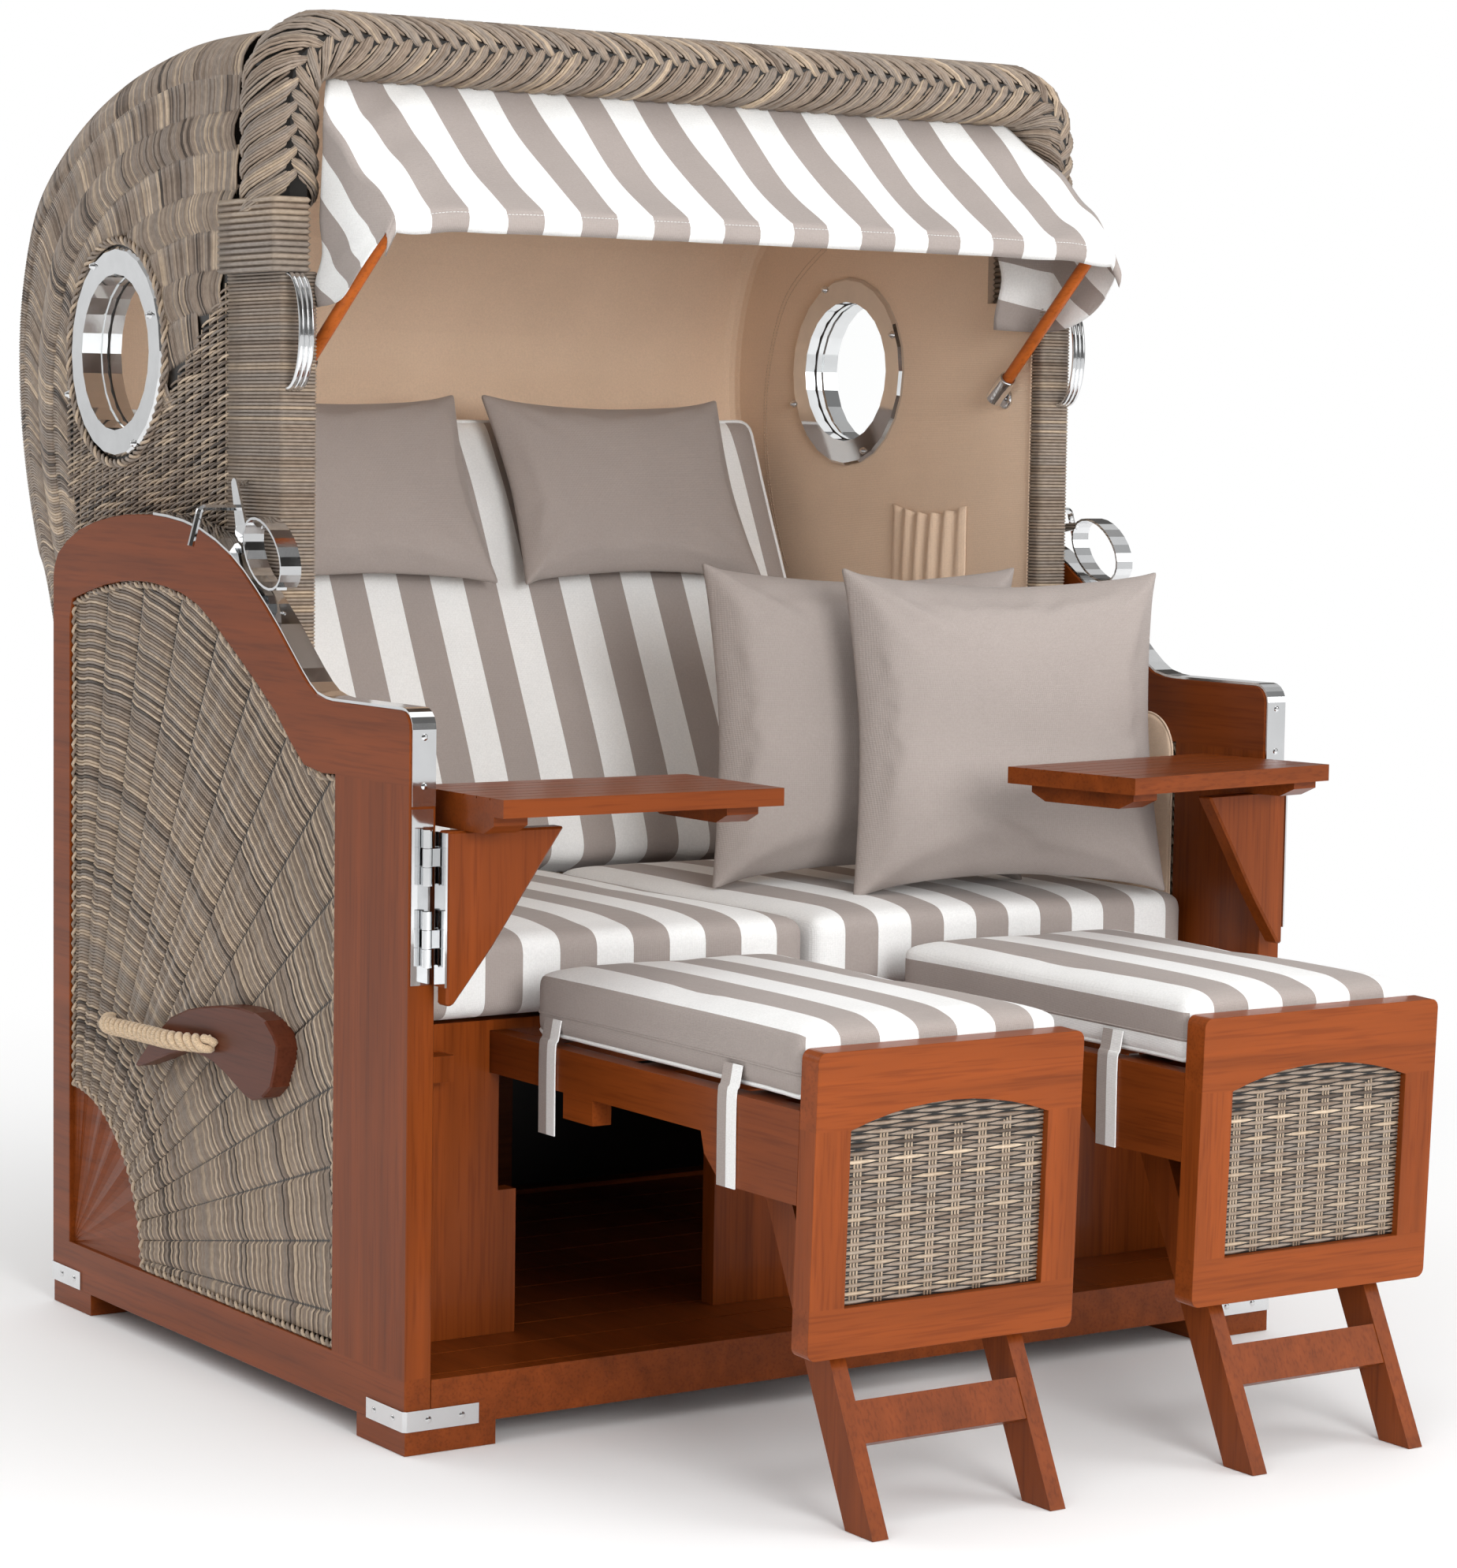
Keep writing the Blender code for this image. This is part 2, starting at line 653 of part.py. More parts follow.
def make_side_frames():
    """The two wooden side frames with their feet and carved fans, and the big woven panels in them."""
    low, front, rear, top = opening_outline()
    hole = [(front, low)] + top + [(rear, top[-1][1] - REAR_STILE / 2), (rear, low)]
    middle = HALF_BASE - SIDE_THICK / 2
    panel_low, panel_front, panel_rear, panel_top = opening_outline(WEAVE_GAP)
    fan_corner = (rear + OVERLAP, low - OVERLAP)
    quarter = arc(fan_corner, FAN_RADIUS + WEAVE_GAP, 90, 180, FAN_FLUTES * FLUTE_STEPS)
    quarter = [(min(y, panel_rear), max(z, panel_low)) for y, z in quarter]
    panel = (
        [(panel_front, panel_low)] + panel_top
        + [(panel_rear, panel_top[-1][1] - REAR_STILE / 2)] + quarter
    )
    for side, sign in (("left", -1), ("right", 1)):
        frame = plate(f"{side}_side_frame", [side_outline(), hole], "yz", SIDE_THICK, sign * middle, wood, origin)
        bodies = [fan_mesh(sign, *fan_corner)]
        outer = HALF_BASE - FOOT_INSET
        ends = sorted((sign * outer, sign * (outer - FOOT_WIDTH)))
        for near in (FOOT_INSET, BASE_DEPTH - FOOT_INSET - FOOT_LENGTH):
            bodies.append(box_mesh((ends[0], near, 0), (ends[1], near + FOOT_LENGTH, FOOT_HEIGHT - CLEAR)))
        combine(frame, bodies)
    pair("side_weave", outline_mesh([panel], "yz", WEAVE_THICK, middle), weave, (origin, origin))


def fan_mesh(sign, corner_y, corner_z):
    """A quarter disc with flutes that widen outwards from its corner: rings of points, front and back."""
    rings = 3
    spokes = FAN_FLUTES * FLUTE_STEPS
    middle = HALF_BASE - SIDE_THICK / 2
    outer = middle + FAN_THICK / 2
    inner = middle - FAN_THICK / 2
    limit = FAN_RADIUS
    start = FAN_RADIUS / 8
    mesh_data = bmesh.new()
    fronts, backs = [], []
    for ring in range(rings + 1):
        radius = start + (limit - start) * ring / rings
        front_row, back_row = [], []
        for spoke in range(spokes + 1):
            share = spoke / spokes
            angle = math.radians(90 + 90 * share)
            hollow = FLUTE_DEPTH * radius / limit * abs(math.sin(math.pi * FAN_FLUTES * share))
            y = corner_y + radius * math.cos(angle)
            z = corner_z + radius * math.sin(angle)
            front_row.append(mesh_data.verts.new((sign * (outer - hollow), y, z)))
            back_row.append(mesh_data.verts.new((sign * inner, y, z)))
        fronts.append(front_row)
        backs.append(back_row)
    tip_front = mesh_data.verts.new((sign * outer, corner_y, corner_z))
    tip_back = mesh_data.verts.new((sign * inner, corner_y, corner_z))
    for ring in range(rings):
        for spoke in range(spokes):
            mesh_data.faces.new((fronts[ring][spoke], fronts[ring][spoke + 1],
                                 fronts[ring + 1][spoke + 1], fronts[ring + 1][spoke]))
            mesh_data.faces.new((backs[ring][spoke], backs[ring + 1][spoke],
                                 backs[ring + 1][spoke + 1], backs[ring][spoke + 1]))
    for spoke in range(spokes):
        mesh_data.faces.new((fronts[rings][spoke], fronts[rings][spoke + 1],
                             backs[rings][spoke + 1], backs[rings][spoke]))
        mesh_data.faces.new((tip_front, fronts[0][spoke + 1], fronts[0][spoke]))
        mesh_data.faces.new((tip_back, backs[0][spoke], backs[0][spoke + 1]))
    for edge, last in ((0, True), (spokes, False)):
        for ring in range(rings):
            mesh_data.faces.new((fronts[ring][edge], fronts[ring + 1][edge],
                                 backs[ring + 1][edge], backs[ring][edge]))
        mesh_data.faces.new((tip_front, fronts[0][edge], backs[0][edge], tip_back))
    bmesh.ops.recalc_face_normals(mesh_data, faces=mesh_data.faces)
    return mesh_data


def make_base_boards():
    """The floor deck with its fascia, the seat box and the frame of the base's back."""
    half = INNER_X - CLEAR
    deck_back = REAR_FRAME_Y - CLEAR
    deck_low = FASCIA_TOP - DECK_THICK
    pitch = (deck_back - FASCIA_THICK) / (DECK_GROOVES + 1)
    profile = [(0, FOOT_HEIGHT), (0, FASCIA_TOP)]
    for groove in range(DECK_GROOVES + 1):
        middle = FASCIA_THICK + pitch * groove
        for y, z in ((-1, 0), (-1, -1), (1, -1), (1, 0)):
            profile.append((middle + y * GROOVE_WIDTH / 2, FASCIA_TOP + z * GROOVE_DEPTH))
    profile += [(deck_back, FASCIA_TOP), (deck_back, deck_low), (FASCIA_THICK, deck_low), (FASCIA_THICK, FOOT_HEIGHT)]
    plate("floor_deck", [profile], "yz", 2 * half, 0, wood, origin, ease=0)
    make_seat_box(half)
    make_rear_frame(half)


def make_seat_box(half):
    """The seat board with the stepped boards below it, two cleats and the bars that guide the footrests."""
    low = FASCIA_TOP + CLEAR
    high = SEAT_UNDERSIDE + OVERLAP
    rail_low = RAIL_TOP - RAIL_HEIGHT - SLIDE_GAP
    board_end = half - SIDE_BOARD_WIDTH
    upper_end = board_end + BOARD_STEP_WIDTH
    rail_outer = PANEL_CENTRE + PANEL_WIDTH / 2 + SLIDE_GAP * 2
    side_board = [
        (half, low), (half, high), (rail_outer, high), (rail_outer, rail_low), (upper_end, rail_low),
        (upper_end, BOARD_STEP_HEIGHT), (board_end, BOARD_STEP_HEIGHT), (board_end, low),
    ]
    wide = CENTRE_BOARD_WIDTH / 2
    narrow = PANEL_CENTRE - PANEL_WIDTH / 2 - SLIDE_GAP * 2
    centre_board = [
        (-wide, low), (-wide, rail_low), (-narrow, rail_low), (-narrow, high), (narrow, high), (narrow, rail_low),
        (wide, rail_low), (wide, low),
    ]
    middle = -(BOARD_SETBACK + BOARD_THICK / 2)
    side = outline_mesh([side_board], "xz", BOARD_THICK, middle)
    cleat_high = SEAT_UNDERSIDE - CLEAT_DROP
    cleat = box_mesh(
        (half - CLEAT_LENGTH, BOARD_SETBACK - CLEAT_DEPTH, cleat_high - CLEAT_HEIGHT),
        (half, BOARD_SETBACK + OVERLAP, cleat_high),
    )
    guide_top = rail_low
    guides = []
    outer = PANEL_CENTRE + PANEL_WIDTH / 2 - RAIL_THICK
    inner = PANEL_CENTRE - PANEL_WIDTH / 2 + RAIL_THICK
    for near, far in ((outer, outer + GUIDE_WIDTH), (inner - GUIDE_WIDTH, inner)):
        guides.append(box_mesh(
            (near, BOARD_SETBACK + BOARD_THICK - OVERLAP, guide_top - GUIDE_HEIGHT),
            (far, REAR_FRAME_Y - CLEAR, guide_top),
        ))
    bodies = [outline_mesh([centre_board], "xz", BOARD_THICK, middle)]
    for body in (side, cleat, *guides):
        bodies += [mirror_bmesh(body), body]
    box = boxes(
        "seat_box", [((-half, BOARD_SETBACK, SEAT_UNDERSIDE), (half, BASE_DEPTH, SEAT_TOP))], wood, origin, ease=0,
    )
    combine(box, bodies)


def make_rear_frame(half):
    """The frame of the base's back with a mullion, and the woven panel held in a rebate behind it."""
    low = FOOT_HEIGHT
    high = SEAT_UNDERSIDE - CLEAR
    rebate_low = low + REAR_RAIL - REAR_REBATE
    rebate_high = high - REAR_RAIL + REAR_REBATE
    rebate_x = half - REAR_RAIL + REAR_REBATE
    holes = []
    for near, far in ((REAR_RAIL - half, -REAR_MULLION / 2), (REAR_MULLION / 2, half - REAR_RAIL)):
        holes.append([(near, low + REAR_RAIL), (far, low + REAR_RAIL), (far, high - REAR_RAIL), (near, high - REAR_RAIL)])
    outline = [(-half, low), (half, low), (half, high), (-half, high)]
    middle = -(BASE_DEPTH - REAR_FRAME_THICK / 2)
    frame = plate("rear_frame", [outline] + holes, "xz", REAR_FRAME_THICK, middle, wood, origin, ease=0)
    rebate_front = BASE_DEPTH - REAR_WEAVE_THICK - CLEAR
    rebate = box_mesh((-rebate_x, rebate_front, rebate_low), (rebate_x, BASE_DEPTH + CUT, rebate_high))
    combine(frame, [rebate], "DIFFERENCE")
    boxes(
        "rear_weave",
        [((CLEAR - rebate_x, rebate_front + CLEAR, rebate_low + CLEAR),
          (rebate_x - CLEAR, BASE_DEPTH, rebate_high - CLEAR))],
        weave, origin, ease=0,
    )


def make_trims():
    """Metal strips over the front part of each side frame's top edge, round its corner and down its front."""
    radius = FRONT_CORNER_RADIUS
    edge = [(0, HINGE_LEAF_TOP + TRIM_THICK)] + arc((radius, SHOULDER_HEIGHT - radius), radius, 180, 90)
    edge += [point for point in hump_line() if point[0] < TRIM_START]
    strip = offset_line(edge, CLEAR) + offset_line(edge, CLEAR + TRIM_THICK)[::-1]
    width = SIDE_THICK - 2 * TRIM_SIDE_INSET
    right = outline_mesh([strip], "yz", width, HALF_BASE - SIDE_THICK / 2)
    pair("top_trim", right, chrome, (origin, origin))


def make_rope_handles():
    """Thick rope on each side between the weave and a carved holder."""
    face = HALF_BASE - SIDE_THICK / 2 + WEAVE_THICK / 2 + CLEAR
    outline = smooth_line([
        (HOLDER_CENTRE_SHARE * BASE_DEPTH + y * HOLDER_LENGTH, HOLDER_CENTRE_HEIGHT + z * HOLDER_HEIGHT)
        for y, z in HOLDER_SHARES + HOLDER_SHARES[:1]
    ])[:-1]
    holder = outline_mesh([outline], "yz", HOLDER_THICK, face + HOLDER_THICK / 2)
    for piece in pair("handle_holder", holder, wood, (origin, origin)):
        ease_edges(piece)
    holder_face = face + HOLDER_THICK + CLEAR
    stand_off = Vector((ROPE_RADIUS * ROPE_STAND_SHARE, 0, 0))
    rear = Vector((face, ROPE_REAR_SHARE * BASE_DEPTH, ROPE_REAR_HEIGHT))
    front = Vector((holder_face, ROPE_FRONT_SHARE * BASE_DEPTH, ROPE_FRONT_HEIGHT))
    bow = Vector((ROPE_BOW, 0, 0))
    bowed = [rear.lerp(front, share) + bow for share in ROPE_BOW_SHARES]
    run = [rear + stand_off, *bowed, front + stand_off]
    rope_line = [rear] + smooth_line([tuple(point) for point in run], 4) + [front]
    pair("rope_handle", tube_mesh(rope_line, ROPE_RADIUS), rope, (origin, origin), smooth=True)


def make_liners():
    """Fabric liners on the inner faces of the base's sides, in front of the hood."""
    low = SEAT_TOP + CLEAR
    front = FRONT_STILE
    radius = LINER_CORNER_RADIUS
    outline = [(LINER_BACK, low), (LINER_BACK, LINER_TOP)]
    outline += arc((front + radius, LINER_TOP - radius), radius, 90, 180) + [(front, low)]
    right = outline_mesh([outline], "yz", LINER_THICK, INNER_X - CLEAR - LINER_THICK / 2)
    pair("side_liner", right, lining_cloth, (origin, origin))


def box_mesh(low, high):
    """A box as a bmesh."""
    mesh_data = bmesh.new()
    middle = [(a + b) / 2 for a, b in zip(low, high)]
    size = [b - a for a, b in zip(low, high)]
    place = Matrix.Translation(middle) @ Matrix.Diagonal((*size, 1.0))
    bmesh.ops.create_cube(mesh_data, size=1.0, matrix=place)
    return mesh_data


def make_post_leaves():
    """The hinge leaves on the front of the posts, each with two pairs of knuckles."""
    front = -CLEAR - HINGE_LEAF_THICK
    leaf = box_mesh((HINGE_X - HINGE_POST_LEAF[0], front, HINGE_LEAF_BOTTOM),
                    (HINGE_X + HINGE_POST_LEAF[1], -CLEAR, HINGE_LEAF_TOP))
    for sign, piece in zip((-1, 1), pair("post_hinge", leaf, chrome, (origin, origin))):
        bodies = []
        for middle in KNUCKLE_HEIGHTS:
            for end in (-1, 1):
                height = middle + end * (KNUCKLE_LENGTH + KNUCKLE_GAP)
                low = (sign * HINGE_X, -HINGE_REACH, height - KNUCKLE_LENGTH / 2)
                high = (sign * HINGE_X, -HINGE_REACH, height + KNUCKLE_LENGTH / 2)
                bodies.append(cylinder_mesh(KNUCKLE_RADIUS, low, high))
                bodies.append(box_mesh(
                    (low[0] - KNUCKLE_WEB / 2, low[1], low[2] + CLEAR),
                    (low[0] + KNUCKLE_WEB / 2, front + HINGE_LEAF_THICK / 2, high[2] - CLEAR),
                ))
        combine(piece, bodies)


def make_table(side, sign, pivot):
    """A swivel table: grooved top on two battens, a bracket board and its hinge leaf with knuckles."""
    wall_end = INNER_X - TABLE_WALL_GAP
    free_end = wall_end - TABLE_LENGTH
    low = TABLE_TOP_HEIGHT - TABLE_THICK
    front = -TABLE_FRONT_REACH
    back = front + TABLE_WIDTH
    pitch = TABLE_WIDTH / (TABLE_GROOVES + 1)
    profile = [(front, low), (front, TABLE_TOP_HEIGHT)]
    for groove in range(1, TABLE_GROOVES + 1):
        middle = front + pitch * groove
        for y, z in ((-1, 0), (-1, -1), (1, -1), (1, 0)):
            profile.append((middle + y * TABLE_GROOVE_WIDTH / 2, TABLE_TOP_HEIGHT + z * TABLE_GROOVE_DEPTH))
    profile += [(back, TABLE_TOP_HEIGHT), (back, low)]
    top_middle = sign * (wall_end + free_end) / 2
    top = plate(f"{side}_table_top", [profile], "yz", TABLE_LENGTH, top_middle, wood, pivot, ease=0)
    batten_low = low - BATTEN_HEIGHT
    batten = [
        (front + BATTEN_INSET, low + OVERLAP), (back - BATTEN_INSET, low + OVERLAP),
        (back - BATTEN_INSET, low - BATTEN_HEIGHT / 2), (back - BATTEN_INSET - BATTEN_TAPER, batten_low),
        (front + BATTEN_INSET + BATTEN_TAPER, batten_low), (front + BATTEN_INSET, low - BATTEN_HEIGHT / 2),
    ]
    near = wall_end - BATTEN_WIDTH / 2
    far = free_end + BATTEN_WIDTH
    bracket_front = -HINGE_REACH - TABLE_BRACKET_BACK
    bracket_middle = bracket_front - TABLE_BRACKET_THICK / 2 + TABLE_BRACKET_BACK
    bracket_wall = HINGE_X - HINGE_BRACKET_LEAF
    bracket_top = batten_low - CLEAR
    tip = (bracket_wall - TABLE_BRACKET_TIP, bracket_top - TABLE_BRACKET_DROP)
    toe = (bracket_wall - TABLE_BRACKET_REACH, bracket_top)
    sweep = smooth_line([
        tip, ((tip[0] * 2 + toe[0]) / 3 - TABLE_BRACKET_TIP / 2, (tip[1] * 2 + toe[1]) / 3),
        ((tip[0] + toe[0] * 2) / 3 + TABLE_BRACKET_TIP / 2, (tip[1] + toe[1] * 2) / 3 - TABLE_BRACKET_TIP), toe,
    ])
    outline = [(sign * x, z) for x, z in [(bracket_wall, bracket_top - TABLE_BRACKET_DROP)] + sweep
               + [(bracket_wall, bracket_top)]]
    combine(top, [outline_mesh([batten], "yz", BATTEN_WIDTH, sign * end) for end in (near, far)])
    plate(f"{side}_table_bracket", [outline], "xz", TABLE_BRACKET_THICK, -bracket_middle, wood, pivot)
    make_bracket_leaf(side, sign, pivot, bracket_middle - TABLE_BRACKET_THICK / 2, bracket_wall)


def make_bracket_leaf(side, sign, pivot, bracket_face, bracket_wall):
    """The moving hinge leaf on the end of a table's bracket board, with its two knuckles."""
    leaf_near = bracket_wall + CLEAR
    leaf_far = leaf_near + HINGE_LEAF_THICK
    back = -HINGE_REACH + KNUCKLE_WEB / 2
    ends = sorted((sign * leaf_near, sign * leaf_far))
    leaf = boxes(
        f"{side}_table_hinge",
        [((ends[0], bracket_face, HINGE_LEAF_BOTTOM), (ends[1], back, HINGE_LEAF_TOP - CUT * 6))],
        chrome, pivot, ease=0,
    )
    tools = []
    for height in KNUCKLE_HEIGHTS:
        low_z = height - KNUCKLE_LENGTH / 2
        high_z = height + KNUCKLE_LENGTH / 2
        axis = sign * HINGE_X
        tools.append(cylinder_mesh(KNUCKLE_RADIUS, (axis, -HINGE_REACH, low_z), (axis, -HINGE_REACH, high_z)))
        reach = sorted((axis, sign * (leaf_near + HINGE_LEAF_THICK / 2)))
        tools.append(box_mesh(
            (reach[0], -HINGE_REACH - KNUCKLE_WEB / 2, low_z + CLEAR),
            (reach[1], back - CLEAR, high_z - CLEAR),
        ))
    combine(leaf, tools)


def lean_panel(mesh_data):
    """Tip a footrest's front panel about its top back edge, so that its foot stands further back."""
    edge = Matrix.Translation((0, PANEL_BACK_Y, PANEL_TOP))
    turn = edge @ Matrix.Rotation(PANEL_LEAN, 4, "X") @ edge.inverted()
    bmesh.ops.transform(mesh_data, matrix=turn, verts=mesh_data.verts)
    return mesh_data


def make_footrest(side, sign, slide_pivot, leg_pivot):
    """A footrest: front panel, rails with cross slats and stops, its cushion and its folding leg frame."""
    centre = sign * PANEL_CENTRE
    half = PANEL_WIDTH / 2
    outline = rounded_rectangle((centre - half, PANEL_BOTTOM), (centre + half, PANEL_TOP), PANEL_CORNER_RADIUS)

    def window(gap):
        """The panel's arched window, or the weave that fits it with a gap."""
        wide = half - PANEL_STILE - gap
        low = PANEL_BOTTOM + PANEL_BOTTOM_RAIL + gap
        spring = PANEL_TOP - PANEL_TOP_RAIL - gap
        radius = (wide ** 2 + PANEL_ARCH_HEIGHT ** 2) / (2 * PANEL_ARCH_HEIGHT)
        spread = math.degrees(math.asin(wide / radius))
        top = arc((centre, spring + PANEL_ARCH_HEIGHT - radius), radius, 90 - spread, 90 + spread, ARC_STEPS * 2)
        return [(centre - wide, low), (centre + wide, low)] + top

    middle = -PANEL_BACK_Y + PANEL_THICK / 2
    panel = lean_panel(outline_mesh([outline, window(0)], "xz", PANEL_THICK, middle))
    ease_edges(piece_from_bmesh(f"{side}_footrest_panel", panel, wood, slide_pivot))
    infill = lean_panel(outline_mesh([window(CLEAR)], "xz", PANEL_WEAVE_THICK, middle))
    piece_from_bmesh(f"{side}_footrest_weave", infill, weave, slide_pivot)
    make_footrest_frame(side, centre, half, slide_pivot)
    size = Vector((FOOT_CUSHION_WIDTH, FOOT_CUSHION_DEPTH, FOOT_CUSHION_HEIGHT))
    front = PANEL_BACK_Y + (PANEL_TOP - RAIL_TOP) * math.tan(PANEL_LEAN) + CLEAR
    place = Vector((centre, front + size.y / 2, RAIL_TOP + CLEAR + size.z / 2))
    cushion(f"{side}_footrest_cushion", size, place, 0, 0, stripes, slide_pivot, SEAT_FORM_SHARES)
    make_leg(side, centre, half, leg_pivot)


def make_footrest_frame(side, centre, half, pivot):
    """Two rails that deepen towards the panel, cross slats between them and stop blocks below."""
    front = PANEL_BACK_Y + CLEAR
    low = RAIL_TOP - RAIL_HEIGHT
    slope_y, slope_z = RAIL_STEP_LONG, RAIL_DEEP_HEIGHT - RAIL_HEIGHT - RAIL_STEP_DROP
    step_y = -RAIL_STEP_START
    deep = RAIL_TOP - RAIL_DEEP_HEIGHT
    lean = math.tan(PANEL_LEAN)
    rail = [
        (RAIL_INSIDE, RAIL_TOP), (RAIL_INSIDE, low), (step_y, low),
        (step_y - RAIL_STEP_SHORT, low - RAIL_STEP_DROP), (step_y - slope_y, low - RAIL_STEP_DROP - slope_z),
        (front + (PANEL_TOP - deep) * lean, deep), (front + (PANEL_TOP - RAIL_TOP) * lean, RAIL_TOP),
    ]
    bodies = []
    for sign in (-1, 1):
        rail_middle = centre + sign * (half - RAIL_THICK / 2)
        bodies.append(outline_mesh([rail], "yz", RAIL_THICK, rail_middle))
        bodies.append(box_mesh(
            (rail_middle - RAIL_THICK / 2 + CLEAR, -STOP_LENGTH, low - STOP_HEIGHT),
            (rail_middle + RAIL_THICK / 2 - CLEAR, 0, low + OVERLAP),
        ))
    inside = half - RAIL_THICK + OVERLAP
    spans = []
    for share in SLAT_PLACES_SHARES:
        middle = front + SLAT_WIDTH / 2 + (RAIL_INSIDE - SLAT_WIDTH - front) * share
        spans.append(((centre - inside, middle - SLAT_WIDTH / 2, RAIL_TOP - SLAT_THICK - CLEAR),
                      (centre + inside, middle + SLAT_WIDTH / 2, RAIL_TOP - CLEAR)))
    frame = piece_from_bmesh(f"{side}_footrest_frame", bodies[0], wood, pivot)
    combine(frame, bodies[1:] + [box_mesh(low_corner, high_corner) for low_corner, high_corner in spans])


def make_leg(side, centre, half, pivot):
    """Two leg bars that lean forwards from their pivots, a crossbar between them and the pivot pins."""
    top = Vector((-LEG_PIVOT_REACH, LEG_PIVOT_HEIGHT))
    foot = Vector((-LEG_FOOT_REACH, 0))
    along = (top - foot).normalized()
    across = Vector((along.y, -along.x))
    lean = math.degrees(math.atan2(along.y, along.x))
    outline = arc(top, LEG_BAR_WIDTH / 2, lean - 90, lean + 90)
    outline += [(foot.x - LEG_FOOT_HALF, 0), (foot.x + LEG_FOOT_HALF, 0)]
    bar_middle = LEG_FRAME_WIDTH / 2 - LEG_BAR_THICK / 2
    middle = foot + along * LEG_CROSSBAR_HEIGHT / along.y
    middle -= across * (LEG_BAR_WIDTH - LEG_CROSSBAR_DEPTH - CUT / 2) / 2
    half_deep = across * LEG_CROSSBAR_DEPTH / 2
    half_tall = along * LEG_CROSSBAR_TALL / 2
    corners = [middle - half_deep - half_tall, middle + half_deep - half_tall,
               middle + half_deep + half_tall, middle - half_deep + half_tall]
    reach = 2 * bar_middle - LEG_BAR_THICK + 2 * OVERLAP
    crossbar = outline_mesh([[tuple(corner) for corner in corners]], "yz", reach, centre)
    bodies = []
    for sign in (-1, 1):
        bodies.append(outline_mesh([outline], "yz", LEG_BAR_THICK, centre + sign * bar_middle))
        near = centre + sign * (bar_middle + LEG_BAR_THICK / 2 - OVERLAP)
        far = centre + sign * (half - RAIL_THICK - CLEAR)
        bodies.append(cylinder_mesh(LEG_PIN_RADIUS, (near, *top), (far, *top)))
    combine(piece_from_bmesh(f"{side}_leg", crossbar, wood, pivot), bodies)


# Cushion shapes: how square the crown is, how thick the rim is, how far the sides draw in, where the cage's
# inner lines lie and which side of the thin direction is flat
SEAT_FORM_SHARES = {"power": 4.0, "rim_share": 0.84, "pull_share": 0.01, "edge_share": 0.86, "flat_side": -1}
BACK_FORM_SHARES = {"power": 4.0, "rim_share": 0.84, "pull_share": 0.01, "edge_share": 0.86, "flat_side": 1}
CAGE_INNER_SHARE = 0.25
PILLOW_FORM_SHARES = {"power": 2.2, "rim_share": 0.2, "pull_share": 0.085, "edge_share": 0.6, "flat_side": 0}


def cushion(name, size, place, lean, yaw, paint, pivot, shape):
    """A soft form: a cage whose faces crown and whose sides draw in, smoothed by Subdivision Surface.

    The cushion's thin direction is its smallest size. A point at shares (u, v) of the two wide directions
    keeps its place but is drawn in by pull * (1 - v * v), and its thickness is the rim's plus the crown's.
    """
    mesh_data = bmesh.new()
    bmesh.ops.create_cube(mesh_data, size=2.0)
    bmesh.ops.subdivide_edges(mesh_data, edges=mesh_data.edges, cuts=3, use_grid_fill=True)
    for vert in mesh_data.verts:
        for axis, c in enumerate(vert.co[:]):
            if CAGE_INNER_SHARE < abs(c) < 1 - CAGE_INNER_SHARE:
                vert.co[axis] = math.copysign(shape["edge_share"], c)
    thin = min(range(3), key=lambda axis: size[axis])
    wide, tall = [axis for axis in range(3) if axis != thin]
    for vert in mesh_data.verts:
        u, v, w = vert.co[wide], vert.co[tall], vert.co[thin]
        crown = (1 - abs(u) ** shape["power"]) * (1 - abs(v) ** shape["power"])
        thick = shape["rim_share"] + (1 - shape["rim_share"]) * crown
        if w * shape["flat_side"] > 0:
            thick = 1
        vert.co[wide] = u * (1 - shape["pull_share"] * (1 - v * v)) * size[wide] / 2
        vert.co[tall] = v * (1 - shape["pull_share"] * (1 - u * u)) * size[tall] / 2
        vert.co[thin] = w * thick * size[thin] / 2
    turn = Matrix.Rotation(yaw, 4, "Z") @ Matrix.Rotation(-lean, 4, "X")
    bmesh.ops.transform(mesh_data, matrix=Matrix.Translation(place) @ turn, verts=mesh_data.verts)
    made = piece_from_bmesh(name, mesh_data, paint, pivot, smooth=True)
    soften = made.modifiers.new("soft form", "SUBSURF")
    soften.levels = 1
    soften.render_levels = 1
    return made


def make_seat_cushions():
    """Two seat cushions side by side and two throw pillows standing on the right one."""
    depth = BASE_DEPTH - SEAT_CUSHION_FROM_REAR - SEAT_CUSHION_FRONT
    size = Vector((SEAT_CUSHION_WIDTH, depth, SEAT_CUSHION_THICK))
    for side, sign in (("left", -1), ("right", 1)):
        place = Vector((
            sign * (CENTRE_GAP + size.x / 2), SEAT_CUSHION_FRONT + size.y / 2, SEAT_TOP + CLEAR + size.z / 2,
        ))
        cushion(f"{side}_seat_cushion", size, place, 0, 0, stripes, origin, SEAT_FORM_SHARES)
    size = Vector((THROW_PILLOW_WIDTH, THROW_PILLOW_DEPTH, THROW_PILLOW_HEIGHT))
    seat_face = SEAT_TOP + CLEAR + SEAT_CUSHION_THICK
    height = seat_face + size.z / 2 * math.cos(THROW_LEAN)
    for name, x, setback, sink in (
        ("front_throw_pillow", THROW_FRONT_X, THROW_FRONT_SETBACK, THROW_FRONT_SINK),
        ("rear_throw_pillow", THROW_REAR_X, THROW_REAR_SETBACK, THROW_REAR_SINK),
    ):
        place = Vector((x, SEAT_CUSHION_FRONT + setback, height - sink))
        cushion(name, size, place, THROW_LEAN, -THROW_YAW, taupe_cloth, origin, PILLOW_FORM_SHARES)


